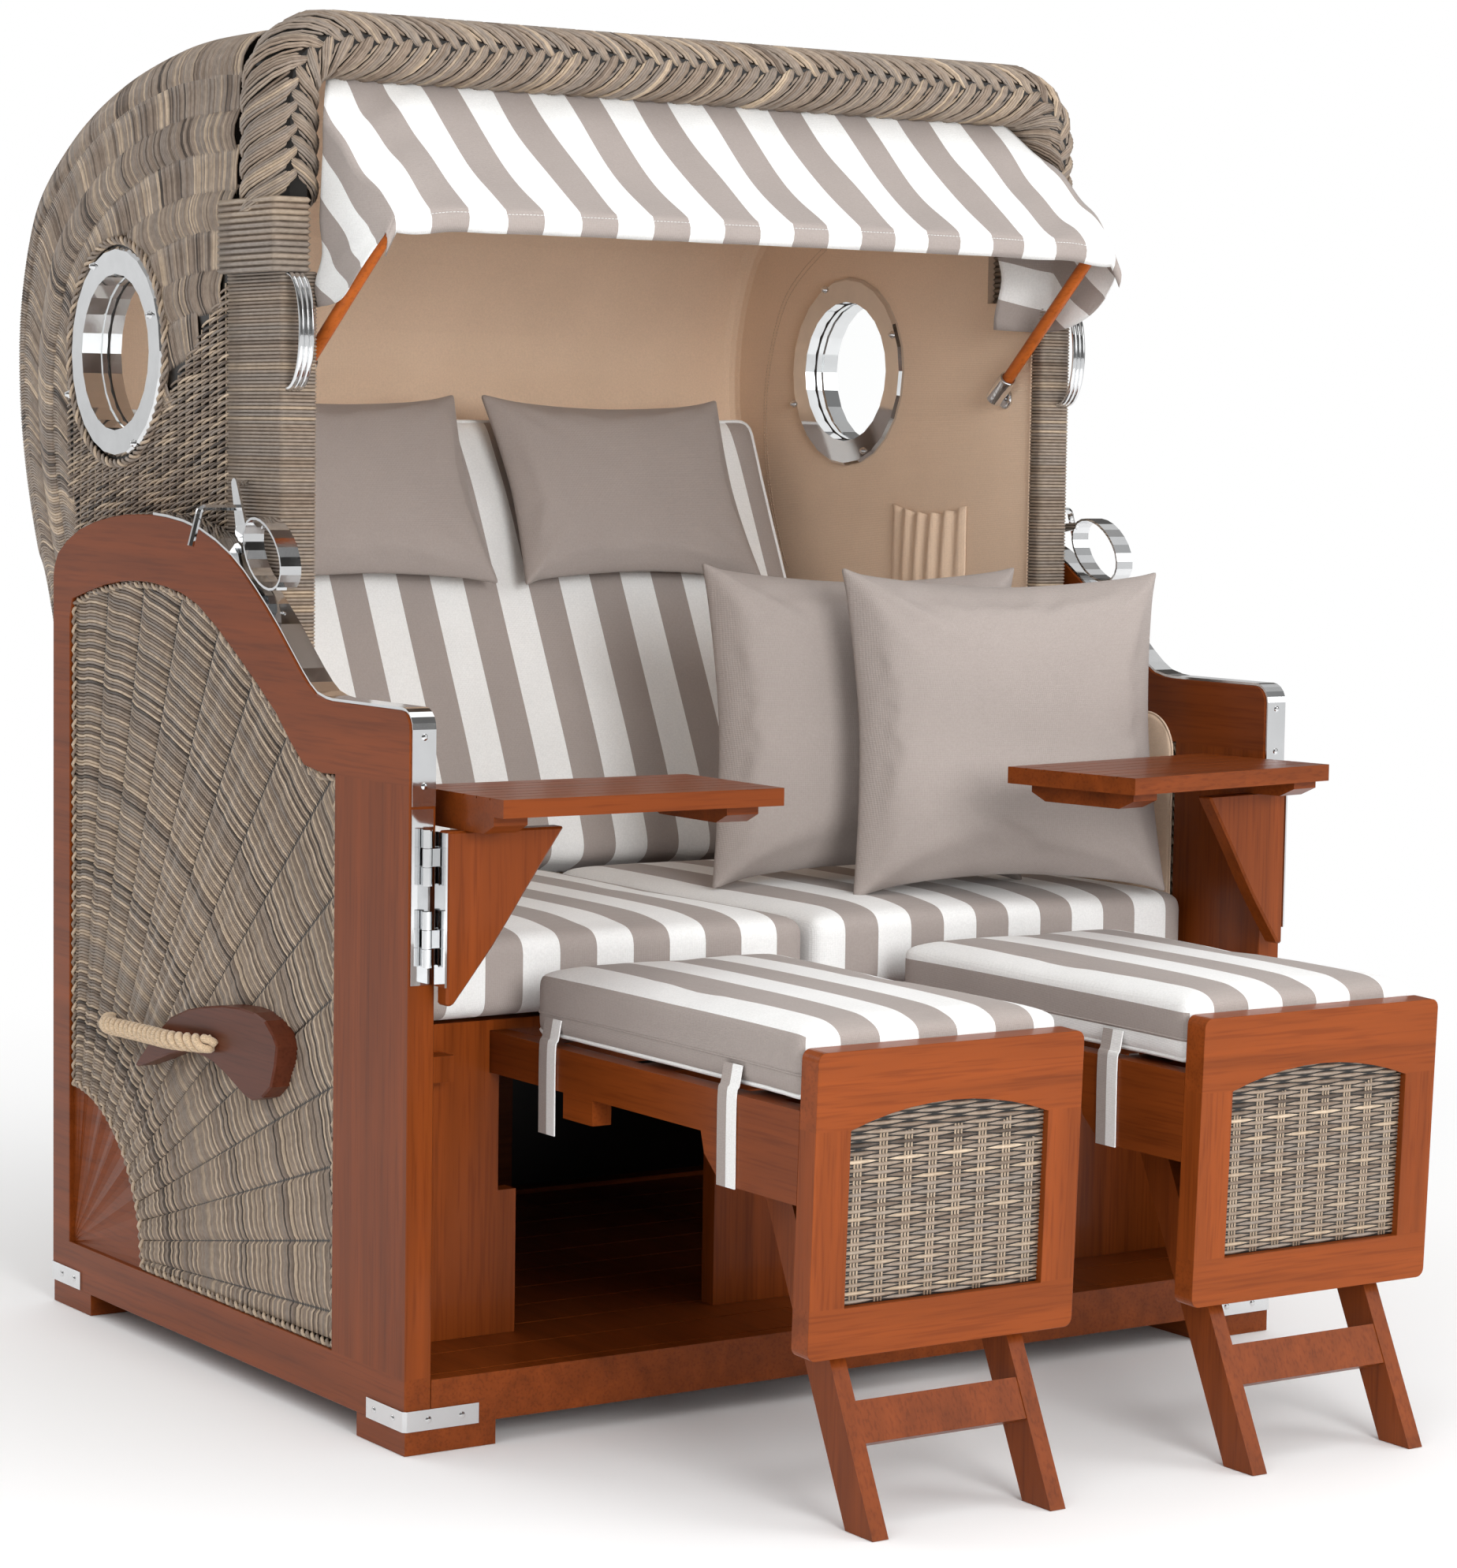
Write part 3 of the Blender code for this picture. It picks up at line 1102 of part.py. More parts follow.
def back_line():
    """The hood's roof and back in y and z, from the front edge of the roof to the bottom of the back."""
    points = [(HOOD_FRONT + y * HOOD_DEPTH, HOOD_BOTTOM + z * HOOD_HEIGHT) for y, z in BACK_SHARES]
    return smooth_line(points[:-2]) + points[-2:]


def shell(name, half_width, inset, front, edge_radius, thickness, paint, pivot):
    """A hood-shaped shell: two flat sides and a curved roof and back, open at the front and below.

    The surface is open and Solidify gives it its wall inwards; the long edges between sides and back are
    rounded. The inset moves roof and back inwards, so that a lining fits the shell round it.
    """
    back = offset_line(back_line(), -inset)
    heel = back_line()[-1][0] - HOOD_HEEL_LENGTH
    sides = back + [
        (heel, back[-1][1]), (heel, HOOD_SIDE_BOTTOM), (front, HOOD_SIDE_BOTTOM),
        (front, HOOD_STEP_HEIGHT + CLEAR), (back[0][0], HOOD_STEP_HEIGHT + CLEAR),
    ]
    mesh_data = bmesh.new()
    loops = []
    for x in (-half_width, half_width):
        loops.append([mesh_data.verts.new((x, y, z)) for y, z in sides])
        mesh_data.faces.new(loops[-1])
    for index in range(len(back) - 1):
        mesh_data.faces.new((loops[0][index], loops[0][index + 1], loops[1][index + 1], loops[1][index]))
    made = piece_from_bmesh(name, mesh_data, paint, pivot)
    rounding = ease_edges(made, edge_radius, 3)
    rounding.use_clamp_overlap = False
    wall = made.modifiers.new("wall", "SOLIDIFY")
    wall.thickness = thickness
    wall.offset = -1
    wall.use_even_offset = True
    return made


def make_hood(pivot):
    """The woven hood with its lining, posts, braided rim, portholes, grab handles and pocket."""
    woven = shell("hood_shell", HALF_HOOD, 0, POST_BACK + CLEAR, HOOD_EDGE_RADIUS, HOOD_WALL, weave, pivot)
    inset = HOOD_WALL + LINING_GAP
    lined = shell("hood_lining", LINING_X, inset, POST_FRONT + CLEAR, HOOD_EDGE_RADIUS - HOOD_WALL / 2,
                  LINING_THICK, lining_cloth, pivot)
    for piece in (woven, lined):
        hole = cylinder_mesh(
            PORTHOLE_BORE + PORTHOLE_TUBE + CLEAR, (-HALF_BASE, PORTHOLE_Y, PORTHOLE_Z),
            (HALF_BASE, PORTHOLE_Y, PORTHOLE_Z), ROUND_STEPS,
        )
        combine(piece, [hole], "DIFFERENCE")
    outer = HALF_HOOD
    collar_top = HOOD_STEP_HEIGHT + COLLAR_HEIGHT
    bodies = []
    for sign in (-1, 1):
        post_ends = sorted((sign * (outer - HOOD_WALL), sign * outer))
        bodies.append(box_mesh((post_ends[0], POST_FRONT, HOOD_SIDE_BOTTOM),
                               (post_ends[1], POST_BACK + OVERLAP, HOOD_STEP_HEIGHT + OVERLAP)))
        collar_ends = sorted((sign * (LINING_X + CLEAR), sign * (outer + COLLAR_OUT)))
        bodies.append(box_mesh((collar_ends[0], POST_FRONT - COLLAR_SWELL, HOOD_STEP_HEIGHT),
                               (collar_ends[1], HOOD_FRONT + OVERLAP, collar_top)))
    combine(woven, bodies)
    make_rim(pivot, collar_top + CLEAR)
    make_portholes(pivot)
    make_grab_handles(pivot)
    pocket_face = LINING_INNER_X - CLEAR
    pocket_front = BASE_DEPTH - POCKET_FROM_REAR
    boxes(
        "pocket",
        [((pocket_face - POCKET_THICK, pocket_front, POCKET_BOTTOM),
          (pocket_face, pocket_front + POCKET_LENGTH, POCKET_TOP))],
        lining_cloth, pivot,
    )


def make_rim(pivot, low):
    """The thick braided roll over the front edge of the roof and down to the collars of the posts."""
    side_x = HALF_HOOD - RIM_RADIUS + COLLAR_OUT
    top_z = RIM_TOP - RIM_RADIUS
    radius = RIM_CORNER_RADIUS
    corner = arc((side_x - radius, top_z - radius), radius, 0, 90)
    line = [(side_x, low)] + corner
    line += [(-x, z) for x, z in corner[::-1]] + [(-side_x, low)]
    squeeze = 1 / RIM_DEPTH_SCALE_SHARE
    mesh_data = tube_mesh([(x, RIM_CENTRE_Y * squeeze, z) for x, z in line], RIM_RADIUS, 3)
    bmesh.ops.scale(mesh_data, vec=(1, RIM_DEPTH_SCALE_SHARE, 1), verts=mesh_data.verts)
    piece_from_bmesh("hood_rim", mesh_data, weave, pivot, smooth=True)


def make_portholes(pivot):
    """On each side an outer ring with its tube, an inner ring and a pane held between them."""
    tube = PORTHOLE_BORE + PORTHOLE_TUBE
    face = HALF_HOOD + CLEAR
    depth = face - LINING_INNER_X + CLEAR
    lip = PORTHOLE_LIP
    seat = depth - PANE_DEPTH
    groove = PORTHOLE_BORE + PORTHOLE_TUBE / 2
    profile = [
        (PORTHOLE_BORE, lip), (PORTHOLE_RADIUS - lip / 2, lip), (PORTHOLE_RADIUS, lip / 2), (PORTHOLE_RADIUS, 0),
        (tube, 0), (tube, -depth), (PORTHOLE_RADIUS, -depth), (PORTHOLE_RADIUS, -depth - lip / 2),
        (PORTHOLE_RADIUS - lip / 2, -depth - lip), (PORTHOLE_BORE, -depth - lip),
        (PORTHOLE_BORE, -seat - PANE_THICK - CLEAR * 2), (groove, -seat - PANE_THICK - CLEAR * 2), (groove, -seat),
        (PORTHOLE_BORE, -seat),
    ]
    for side, sign in (("left", -1), ("right", 1)):
        turned(f"{side}_porthole_ring", profile, ROUND_STEPS, (sign, 0, 0),
               (sign * face, PORTHOLE_Y, PORTHOLE_Z), chrome, pivot)
    far = face - seat - CLEAR
    pane = cylinder_mesh(
        groove - CLEAR, (far - PANE_THICK, PORTHOLE_Y, PORTHOLE_Z), (far, PORTHOLE_Y, PORTHOLE_Z), ROUND_STEPS,
    )
    pair("porthole_pane", pane, glass, (pivot, pivot))


def make_grab_handles(pivot):
    """A bowed metal strap on the front of each post."""
    low, high = GRAB_HEIGHTS
    middle = (low + high) / 2
    face = POST_FRONT - CLEAR
    outer, inner = [], []
    steps = ARC_STEPS * 2
    for step in range(steps + 1):
        angle = math.pi * step / steps
        outer.append((face - GRAB_REACH * math.sin(angle), middle + (high - low) / 2 * math.cos(angle)))
        inner.append((face - (GRAB_REACH - GRAB_STRAP[0]) * math.sin(angle),
                      middle + ((high - low) / 2 - GRAB_STRAP[0]) * math.cos(angle)))
    right = outline_mesh([outer + inner[::-1]], "yz", GRAB_STRAP[1], HALF_HOOD - POST_THICK / 2)
    pair("grab_handle", right, chrome, (pivot, pivot), smooth=True)


def make_backrest(pivot):
    """The upholstered back inside the hood with two head pillows hung over its top."""
    place = Vector((0, BACKREST_Y, BACKREST_Z))
    size = Vector((BACKREST_WIDTH, BACKREST_DEPTH, BACKREST_HEIGHT))
    cushion("backrest", size, place, BACK_LEAN, 0, stripes, pivot, BACK_FORM_SHARES)
    out = Vector((0, -math.cos(BACK_LEAN), math.sin(BACK_LEAN)))
    along = Vector((0, math.sin(BACK_LEAN), math.cos(BACK_LEAN)))
    reach = (HEAD_PILLOW_Z - BACKREST_Z) / along.z
    middle = place + along * reach + out * (BACKREST_DEPTH / 2 + HEAD_PILLOW_OUT + CLEAR)
    size = Vector((HEAD_PILLOW_WIDTH, HEAD_PILLOW_DEPTH, HEAD_PILLOW_HEIGHT))
    for side, sign in (("left", -1), ("right", 1)):
        aside = middle + Vector((sign * HEAD_PILLOW_X, 0, 0))
        cushion(f"{side}_head_pillow", size, aside, BACK_LEAN, 0, taupe_cloth, pivot, PILLOW_FORM_SHARES)


def make_tilt_fittings(pivot, lever_pivots):
    """On each side a plate on two spacers with a bent lock rod, and a lever with a loop that tilts the hood."""
    foot = above_hump(FITTING_FOOT_Y, FITTING_FOOT_ABOVE)
    tip = (FITTING_TIP_Y, foot[1] + FITTING_LENGTH_UP)
    rise = math.degrees(math.atan2(tip[1] - foot[1], tip[0] - foot[0]))
    outline = arc(foot, FITTING_RADIUS, rise + 90, rise + 270)
    outline += arc(tip, FITTING_RADIUS / 2, rise - 90, rise + 90)
    pin_place = ((foot[0] + tip[0]) / 2, (foot[1] + tip[1]) / 2)
    near = HALF_HOOD + CLEAR
    for (side, sign), lever_pivot in zip((("left", -1), ("right", 1)), lever_pivots):
        fitting = plate(f"{side}_tilt_plate", [outline], "yz", FITTING_THICK, sign * FITTING_X, chrome, pivot, ease=0)
        combine(fitting, [
            cylinder_mesh(SPACER_RADIUS, (sign * near, *foot), (sign * FITTING_X, *foot)),
            cylinder_mesh(SPACER_RADIUS / 2, (sign * near, *tip), (sign * FITTING_X, *tip)),
            lock_rod(sign, pin_place),
        ])
        make_lever(side, sign, lever_pivot, foot)


def lock_rod(sign, place):
    """A bent rod that locks the hood: it runs outwards from the plate and hangs down."""
    end = FITTING_X + LOCK_PIN_REACH
    radius = LOCK_PIN_RADIUS * 2
    line = [(FITTING_X, place[1]), (end - radius, place[1])]
    line += arc((end - radius, place[1] - radius), radius, 90, 0)[1:]
    line.append((end + LOCK_PIN_BACK / 2, place[1] - LOCK_PIN_DROP))
    return tube_mesh([(sign * x, place[0], z) for x, z in line], LOCK_PIN_RADIUS, 1)


def loop_line(grow, steps):
    """The lever's oval loop in y and z, grown outwards by a distance."""
    middle_y, middle_z = above_hump(LOOP_Y, LOOP_ABOVE)
    points = []
    for step in range(steps):
        angle = 2 * math.pi * step / steps
        long = (LOOP_LONG + grow) * math.cos(angle)
        short = (LOOP_SHORT + grow) * math.sin(angle)
        points.append((
            middle_y + long * math.cos(LOOP_SLOPE) - short * math.sin(LOOP_SLOPE),
            middle_z + long * math.sin(LOOP_SLOPE) + short * math.cos(LOOP_SLOPE),
        ))
    return points


def make_lever(side, sign, pivot, foot):
    """A lever from its pivot along the top edge of the side frame to an oval strap loop."""
    middle = sign * (FITTING_X + FITTING_THICK / 2 + CLEAR + LEVER_STRAP[1] / 2)
    loop = outline_mesh([loop_line(0, ROUND_STEPS), loop_line(-LEVER_STRAP[0], ROUND_STEPS)],
                        "yz", LEVER_STRAP[1], middle)
    made = piece_from_bmesh(f"{side}_tilt_lever", loop, chrome, pivot, smooth=True)
    inner = FITTING_X + FITTING_THICK / 2 + CLEAR
    near_end = loop_line(0, ROUND_STEPS)[0]
    rise = math.degrees(math.atan2(foot[1] - near_end[1], foot[0] - near_end[0]))
    outline = arc(foot, LEVER_BAR / 2, rise - 90, rise + 90) + arc(near_end, LEVER_BAR / 3, rise + 90, rise + 270)
    bar = outline_mesh([outline], "yz", LEVER_THICK, sign * (inner + LEVER_THICK / 2 + CLEAR))
    combine(made, [bar])


def make_hood_pivots():
    """The two short pins between base and hood on which the hood tilts."""
    near = HALF_HOOD + CLEAR
    far = INNER_X - CLEAR
    right = cylinder_mesh(TILT_PIN_RADIUS, (near, TILT_Y, TILT_Z), (far, TILT_Y, TILT_Z))
    pair("hood_pivot", right, chrome, (origin, origin), smooth=True)


def make_awning(pivot):
    """Two sticks joined by a front bar, with sleeves and rosettes on their lower ends, and the cloth."""
    low = Vector((BOW_HALF_SPAN, SOCKET_Y, SOCKET_Z))
    high = Vector((BOW_HALF_SPAN, BOW_TIP_Y, BOW_TIP_Z))
    along = (high - low).normalized()
    line = [low, high]
    both = [tuple(point) for point in line] + [(-point.x, point.y, point.z) for point in line[::-1]]
    bow = piece_from_bmesh("awning_bow", tube_mesh(both, STICK_RADIUS), stick_wood, pivot, smooth=True)
    bodies = []
    for sign in (-1, 1):
        start = Vector((sign * low.x, low.y, low.z))
        wall = sign * (LINING_INNER_X - CLEAR)
        bodies.append(cylinder_mesh(SLEEVE_RADIUS, start - along * STICK_RADIUS, start + along * SLEEVE_LENGTH))
        bodies.append(cylinder_mesh(ROSETTE_RADIUS, (wall - sign * ROSETTE_THICK, low.y, low.z), (wall, low.y, low.z)))
    combine(bow, bodies)
    make_cloth(pivot)


def make_cloth(pivot):
    """The awning cloth: a sheet that sags in folds from the rim to the hem, with a flap at each end.

    Solidify gives the open sheet its thickness.
    """
    columns = 4 * CLOTH_FOLDS
    rows = 6
    mesh_data = bmesh.new()
    grid = []
    for row in range(rows + 1):
        share = row / rows
        y = CLOTH_TOP_Y + (CLOTH_HEM_Y - CLOTH_TOP_Y) * share
        base = CLOTH_TOP_Z + (CLOTH_HEM_Z - CLOTH_TOP_Z) * share - CLOTH_SAG * math.sin(math.pi * share)
        widen = min(share / CLOTH_WIDEN_SHARE, 1)
        half = CLOTH_TOP_HALF_WIDTH + (CLOTH_HALF_WIDTH - CLOTH_TOP_HALF_WIDTH) * widen
        line = []
        for column in range(columns + 1):
            across = column / columns
            fold = CLOTH_FOLD_DEPTH * math.sin(2 * math.pi * CLOTH_FOLDS * across) * math.sin(math.pi * share)
            line.append(mesh_data.verts.new((half * (2 * across - 1), y, base + fold)))
        grid.append(line)
    for row in range(rows):
        for column in range(columns):
            mesh_data.faces.new((grid[row][column], grid[row + 1][column],
                                 grid[row + 1][column + 1], grid[row][column + 1]))
    for end in (0, columns):
        upper = [line[end] for line in grid]
        for _ in range(FLAP_COLUMNS):
            lower = []
            for row, vert in enumerate(upper):
                share = row / rows
                drop = FLAP_DROP / FLAP_COLUMNS * (1 - share)
                lower.append(mesh_data.verts.new((vert.co.x, vert.co.y, vert.co.z - drop)) if row < rows else vert)
            for row in range(rows):
                corners = [upper[row], upper[row + 1], lower[row + 1], lower[row]]
                unique = list(dict.fromkeys(corners))
                mesh_data.faces.new(unique)
            upper = lower
    made = piece_from_bmesh("awning_cloth", mesh_data, stripes, pivot, smooth=True)
    wall = made.modifiers.new("cloth", "SOLIDIFY")
    wall.thickness = CLOTH_THICK
    wall.offset = 0
    return made


clear_scene()
parts = bpy.data.collections.new("hooded_beach_chair")
cutters = bpy.data.collections.new("cutters")
bpy.context.scene.collection.children.link(parts)
bpy.context.scene.collection.children.link(cutters)

wood = material("mahogany", (0.3, 0.075, 0.032), 0.32)
stick_wood = material("stick wood", (0.42, 0.13, 0.05), 0.45)
weave = material("woven strands", (0.22, 0.17, 0.13), 0.6)
chrome = material("polished metal", (0.8, 0.8, 0.82), 0.1, 1.0)
stripes = material("striped cloth", (0.6, 0.57, 0.55), 0.85)
taupe_cloth = material("taupe cloth", (0.38, 0.34, 0.32), 0.85)
lining_cloth = material("beige lining", (0.55, 0.4, 0.28), 0.85)
rope = material("rope", (0.5, 0.35, 0.2), 0.9)
glass = material("pane", (0.85, 0.9, 0.92), 0.05)

origin = make_empty("chair_origin", (0, -ORIGIN_Y, 0))
hood_pivot = make_empty("hood_tilt", (0, TILT_Y, TILT_Z), origin)
awning_pivot = make_empty("awning_swing", (0, SOCKET_Y, SOCKET_Z), origin)
left_table_pivot = make_empty("left_table_swing", (-HINGE_X, -HINGE_REACH, 0), origin)
right_table_pivot = make_empty("right_table_swing", (HINGE_X, -HINGE_REACH, 0), origin)
left_slide = make_empty("left_footrest_slide", (-PANEL_CENTRE, 0, 0), origin)
right_slide = make_empty("right_footrest_slide", (PANEL_CENTRE, 0, 0), origin)
leg_place = (-LEG_PIVOT_REACH, LEG_PIVOT_HEIGHT)
left_leg_pivot = make_empty("left_leg_fold", (-PANEL_CENTRE, *leg_place), origin)
right_leg_pivot = make_empty("right_leg_fold", (PANEL_CENTRE, *leg_place), origin)
lever_place = above_hump(FITTING_FOOT_Y, FITTING_FOOT_ABOVE)
lever_pivots = [make_empty(f"{side}_lever_lift", (0, *lever_place), origin) for side in ("left", "right")]

make_side_frames()
make_base_boards()
make_trims()
make_rope_handles()
make_liners()
make_post_leaves()
make_table("left", -1, left_table_pivot)
make_table("right", 1, right_table_pivot)
make_footrest("left", -1, left_slide, left_leg_pivot)
make_footrest("right", 1, right_slide, right_leg_pivot)
make_seat_cushions()
make_hood(hood_pivot)
make_hood_pivots()
make_backrest(hood_pivot)
make_tilt_fittings(hood_pivot, lever_pivots)
make_awning(awning_pivot)
right_table_pivot.rotation_euler = (0, 0, TABLE_YAW_RIGHT)
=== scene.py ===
"""Looks of a hooded beach chair: woven hood and sides, mahogany boards, striped cushions, awning and studio.

All places are in metres. The numbers in this file count y from the front of the base; FRONT_OF_BASE moves
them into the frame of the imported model.
"""
import math

import bpy
import numpy as np
from mathutils import Matrix, Vector


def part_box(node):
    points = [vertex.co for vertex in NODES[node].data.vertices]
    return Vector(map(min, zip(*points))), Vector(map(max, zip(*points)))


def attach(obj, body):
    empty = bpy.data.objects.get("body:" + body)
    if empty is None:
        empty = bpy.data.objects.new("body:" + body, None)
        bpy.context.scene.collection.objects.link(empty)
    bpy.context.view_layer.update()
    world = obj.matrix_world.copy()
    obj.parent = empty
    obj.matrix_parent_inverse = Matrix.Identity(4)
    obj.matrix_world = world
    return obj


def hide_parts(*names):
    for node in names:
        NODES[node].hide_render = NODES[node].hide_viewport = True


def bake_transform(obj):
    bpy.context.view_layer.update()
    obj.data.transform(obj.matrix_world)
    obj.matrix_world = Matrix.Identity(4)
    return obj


bl_info = {
    "name": "Hooded Beach Chair",
    "version": (1, 0, 0),
    "blender": (4, 5, 0),
    "location": "3D View > Sidebar > Beach Chair",
    "description": "Builds weaves, boards, fittings and cloth of a hooded beach chair round its frame",
    "category": "Add Mesh",
}

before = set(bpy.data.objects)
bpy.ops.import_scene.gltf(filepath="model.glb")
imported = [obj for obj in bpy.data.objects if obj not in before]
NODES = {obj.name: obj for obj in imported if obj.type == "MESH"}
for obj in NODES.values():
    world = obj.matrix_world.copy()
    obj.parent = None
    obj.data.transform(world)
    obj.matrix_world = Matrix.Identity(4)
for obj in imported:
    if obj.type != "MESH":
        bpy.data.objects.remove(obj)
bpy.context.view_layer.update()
FRONT_OF_BASE = -0.3120629332
SIDES = (("left", -1), ("right", 1))

# Shares of the hood's depth and height along roof and back, and the places that the weaving follows
HOOD_FRONT, HOOD_DEPTH, HOOD_BOTTOM, HOOD_HEIGHT = 0.5137, 0.6473, 0.48, 1.104
BACK_SHARES = np.array([
    (-0.03, 0.9995), (0, 0.9995), (0.185, 0.998), (0.336, 0.989), (0.524, 0.966), (0.703, 0.928),
    (0.873, 0.865), (0.949, 0.803), (0.997, 0.71), (1, 0.617), (0.969, 0.523), (0.91, 0.43), (0.842, 0.357),
    (0.637, 0.018),
])
HOOD_HALF, HOOD_EDGE, LINING_X = 0.578, 0.045, 0.5377
WEAVE_FOCUS = np.array([0.54, 0.95])
PORTHOLE = np.array([0.829, 1.212])
HUMP_SHARES = np.array([
    (0.264, 0.025), (0.338, 0.298), (0.445, 0.611), (0.558, 0.889), (0.65, 0.98), (0.744, 1), (0.841, 0.955),
    (0.937, 0.854),
])
BASE_DEPTH, PANEL_X, FAN_CORNER, FAN_RADIUS = 0.925, 0.6085, np.array([0.875, 0.085]), 0.2

# Width of one band of the hood's sides, and the length that the way from its edge to the focus counts as
BAND_STEP, FOCUS_SPAN = 0.046, 0.63

# Awning: depth of rim and hem, height at the rim and its fall to the hem, depth of the hem, foot of the flaps
AWNING_REAR, AWNING_FRONT, AWNING_TOP, AWNING_FALL, HEM, FLAP_FOOT = 0.440, 0.232, 1.5313, 0.157, 0.027, 1.264
FOOTREST_X = 0.255


class ChairSizes(bpy.types.PropertyGroup):
    """Sizes that a user would change."""
    strand: bpy.props.FloatProperty(
        name="Strand width", description="Width of one woven strand", default=0.0040, unit="LENGTH")
    stripe: bpy.props.FloatProperty(
        name="Stripe width", description="Width of one stripe of the cloth", default=0.050, unit="LENGTH")
    plait_step: bpy.props.FloatProperty(
        name="Plait step", description="Distance between strands of the rim", default=0.0037, unit="LENGTH")
    piping: bpy.props.FloatProperty(
        name="Piping", description="Radius of the cushions' piping", default=0.0028, unit="LENGTH")
    swell: bpy.props.FloatProperty(
        name="Swell", description="Pressure inside the cushions while they are stuffed", default=4.0)


class ChairColours(bpy.types.PropertyGroup):
    """Colours of the finishes."""
    wood: bpy.props.FloatVectorProperty(
        name="Mahogany", description="Middle tone of the varnished boards", subtype="COLOR",
        default=(0.190, 0.041, 0.0065))
    stick: bpy.props.FloatVectorProperty(
        name="Stick wood", description="Tone of the awning's sticks", subtype="COLOR",
        default=(0.50, 0.125, 0.022))
    taupe: bpy.props.FloatVectorProperty(
        name="Taupe cloth", description="Darker stripe and plain pillows", subtype="COLOR",
        default=(0.385, 0.335, 0.310))
    white: bpy.props.FloatVectorProperty(
        name="White cloth", description="Lighter stripe", subtype="COLOR", default=(0.88, 0.88, 0.87))
    lining: bpy.props.FloatVectorProperty(
        name="Lining", description="Cloth inside the hood", subtype="COLOR", default=(0.87, 0.66, 0.49))
    rope: bpy.props.FloatVectorProperty(
        name="Rope", description="Natural fibre of the handles", subtype="COLOR", default=(0.62, 0.46, 0.30))


def sizes():
    """The sizes in the sidebar."""
    return bpy.context.scene.chair_sizes


def colours():
    """The colours in the sidebar."""
    return bpy.context.scene.chair_colours


# Meshes from arrays


def smooth_line(points, steps=12):
    """Catmull-Rom curve: each span is the cubic whose slopes are half the difference of its neighbours."""
    points = np.asarray(points, float)
    padded = np.concatenate([2 * points[:1] - points[1:2], points, 2 * points[-1:] - points[-2:-1]])
    a, b, c, d = (padded[i:len(padded) - 3 + i, None] for i in range(4))
    t = (np.arange(steps) / steps)[None, :, None]
    curve = 0.5 * (2 * b + (c - a) * t + (2 * a - 5 * b + 4 * c - d) * t**2 + (3 * b - a - 3 * c + d) * t**3)
    return np.concatenate([curve.reshape(-1, points.shape[1]), points[-1:]])


def evenly(points, count):
    """The same line with count points at equal distances along it."""
    run = np.concatenate([[0], np.cumsum(np.linalg.norm(np.diff(points, axis=0), axis=1))])
    at = np.linspace(0, run[-1], count)
    return np.stack([np.interp(at, run, column) for column in points.T], axis=1)


def place_on(line, spots):
    """Points of a line at numbers that count its points, with parts between them."""
    return np.stack([np.interp(spots, np.arange(len(line)), column) for column in line.T], -1)


def run_length(points):
    """Length of a line of points."""
    return float(np.linalg.norm(np.diff(points, axis=0), axis=1).sum())


def unit(vectors):
    """Vectors of length one."""
    return vectors / np.maximum(np.linalg.norm(vectors, axis=-1, keepdims=True), 1e-12)


def arch(share, power=1.0):
    """A hump from 0 to 1 and back over shares 0 to 1: half a sine wave to a power."""
    return np.clip(np.sin(np.pi * np.clip(share, 0, 1)), 0, 1) ** power


def strands(paths, width, thick, outward, tones=None, sides=4, closed=False, flat=False):
    """Tubes along many paths at once: a ring of points, wide across and thick outwards, is carried along each
    path. A ring of four stands on its corner, or lies flat. Gives points, quads and tones."""
    paths = np.asarray(paths, float)
    count, length, _ = paths.shape
    if closed:
        along = unit(np.roll(paths, -1, axis=1) - np.roll(paths, 1, axis=1))
    else:
        along = unit(np.gradient(paths, axis=1))
    outward = np.broadcast_to(np.asarray(outward, float), paths.shape)
    across = unit(np.cross(along, outward))
    lift = np.cross(across, along)
    angle = 2 * np.pi * (np.arange(sides) + (0.5 if flat or sides > 4 else 0)) / sides
    scale = math.sqrt(2) if flat else 1.0
    width = np.reshape(np.broadcast_to(width, (count,)), (count, 1, 1, 1)) * scale
    ring = (across[:, :, None] * np.cos(angle)[:, None] * width / 2
            + lift[:, :, None] * np.sin(angle)[:, None] * thick * scale / 2)
    points = (paths[:, :, None] + ring).reshape(-1, 3)
    base = np.arange(count * length * sides).reshape(count, length, sides)
    here, there = (base, np.roll(base, -1, axis=1)) if closed else (base[:, :-1], base[:, 1:])
    quads = [np.stack([here, there, np.roll(there, -1, 2), np.roll(here, -1, 2)], -1).reshape(-1, 4)]
    if not closed:
        fan = [(0, 2 * m - 1, 2 * m, 2 * m + 1) for m in range(1, sides // 2)]
        for corners in fan:
            quads.append(base[:, 0][:, corners].reshape(-1, 4))
            quads.append(base[:, -1][:, corners[::-1]].reshape(-1, 4))
    tones = np.full(count, 0.5) if tones is None else np.broadcast_to(tones, (count,))
    return points, np.concatenate(quads), np.repeat(tones, length * sides)


def sheet_grid(grid, closed=False):
    """Quads over a grid of points, rows first. Faces look along row direction times column direction."""
    rows, columns, _ = grid.shape
    index = np.arange(rows * columns).reshape(rows, columns)
    if closed:
        index = np.concatenate([index, index[:, :1]], axis=1)
    quads = np.stack([index[:-1, :-1], index[1:, :-1], index[1:, 1:], index[:-1, 1:]], -1).reshape(-1, 4)
    return grid.reshape(-1, 3), quads


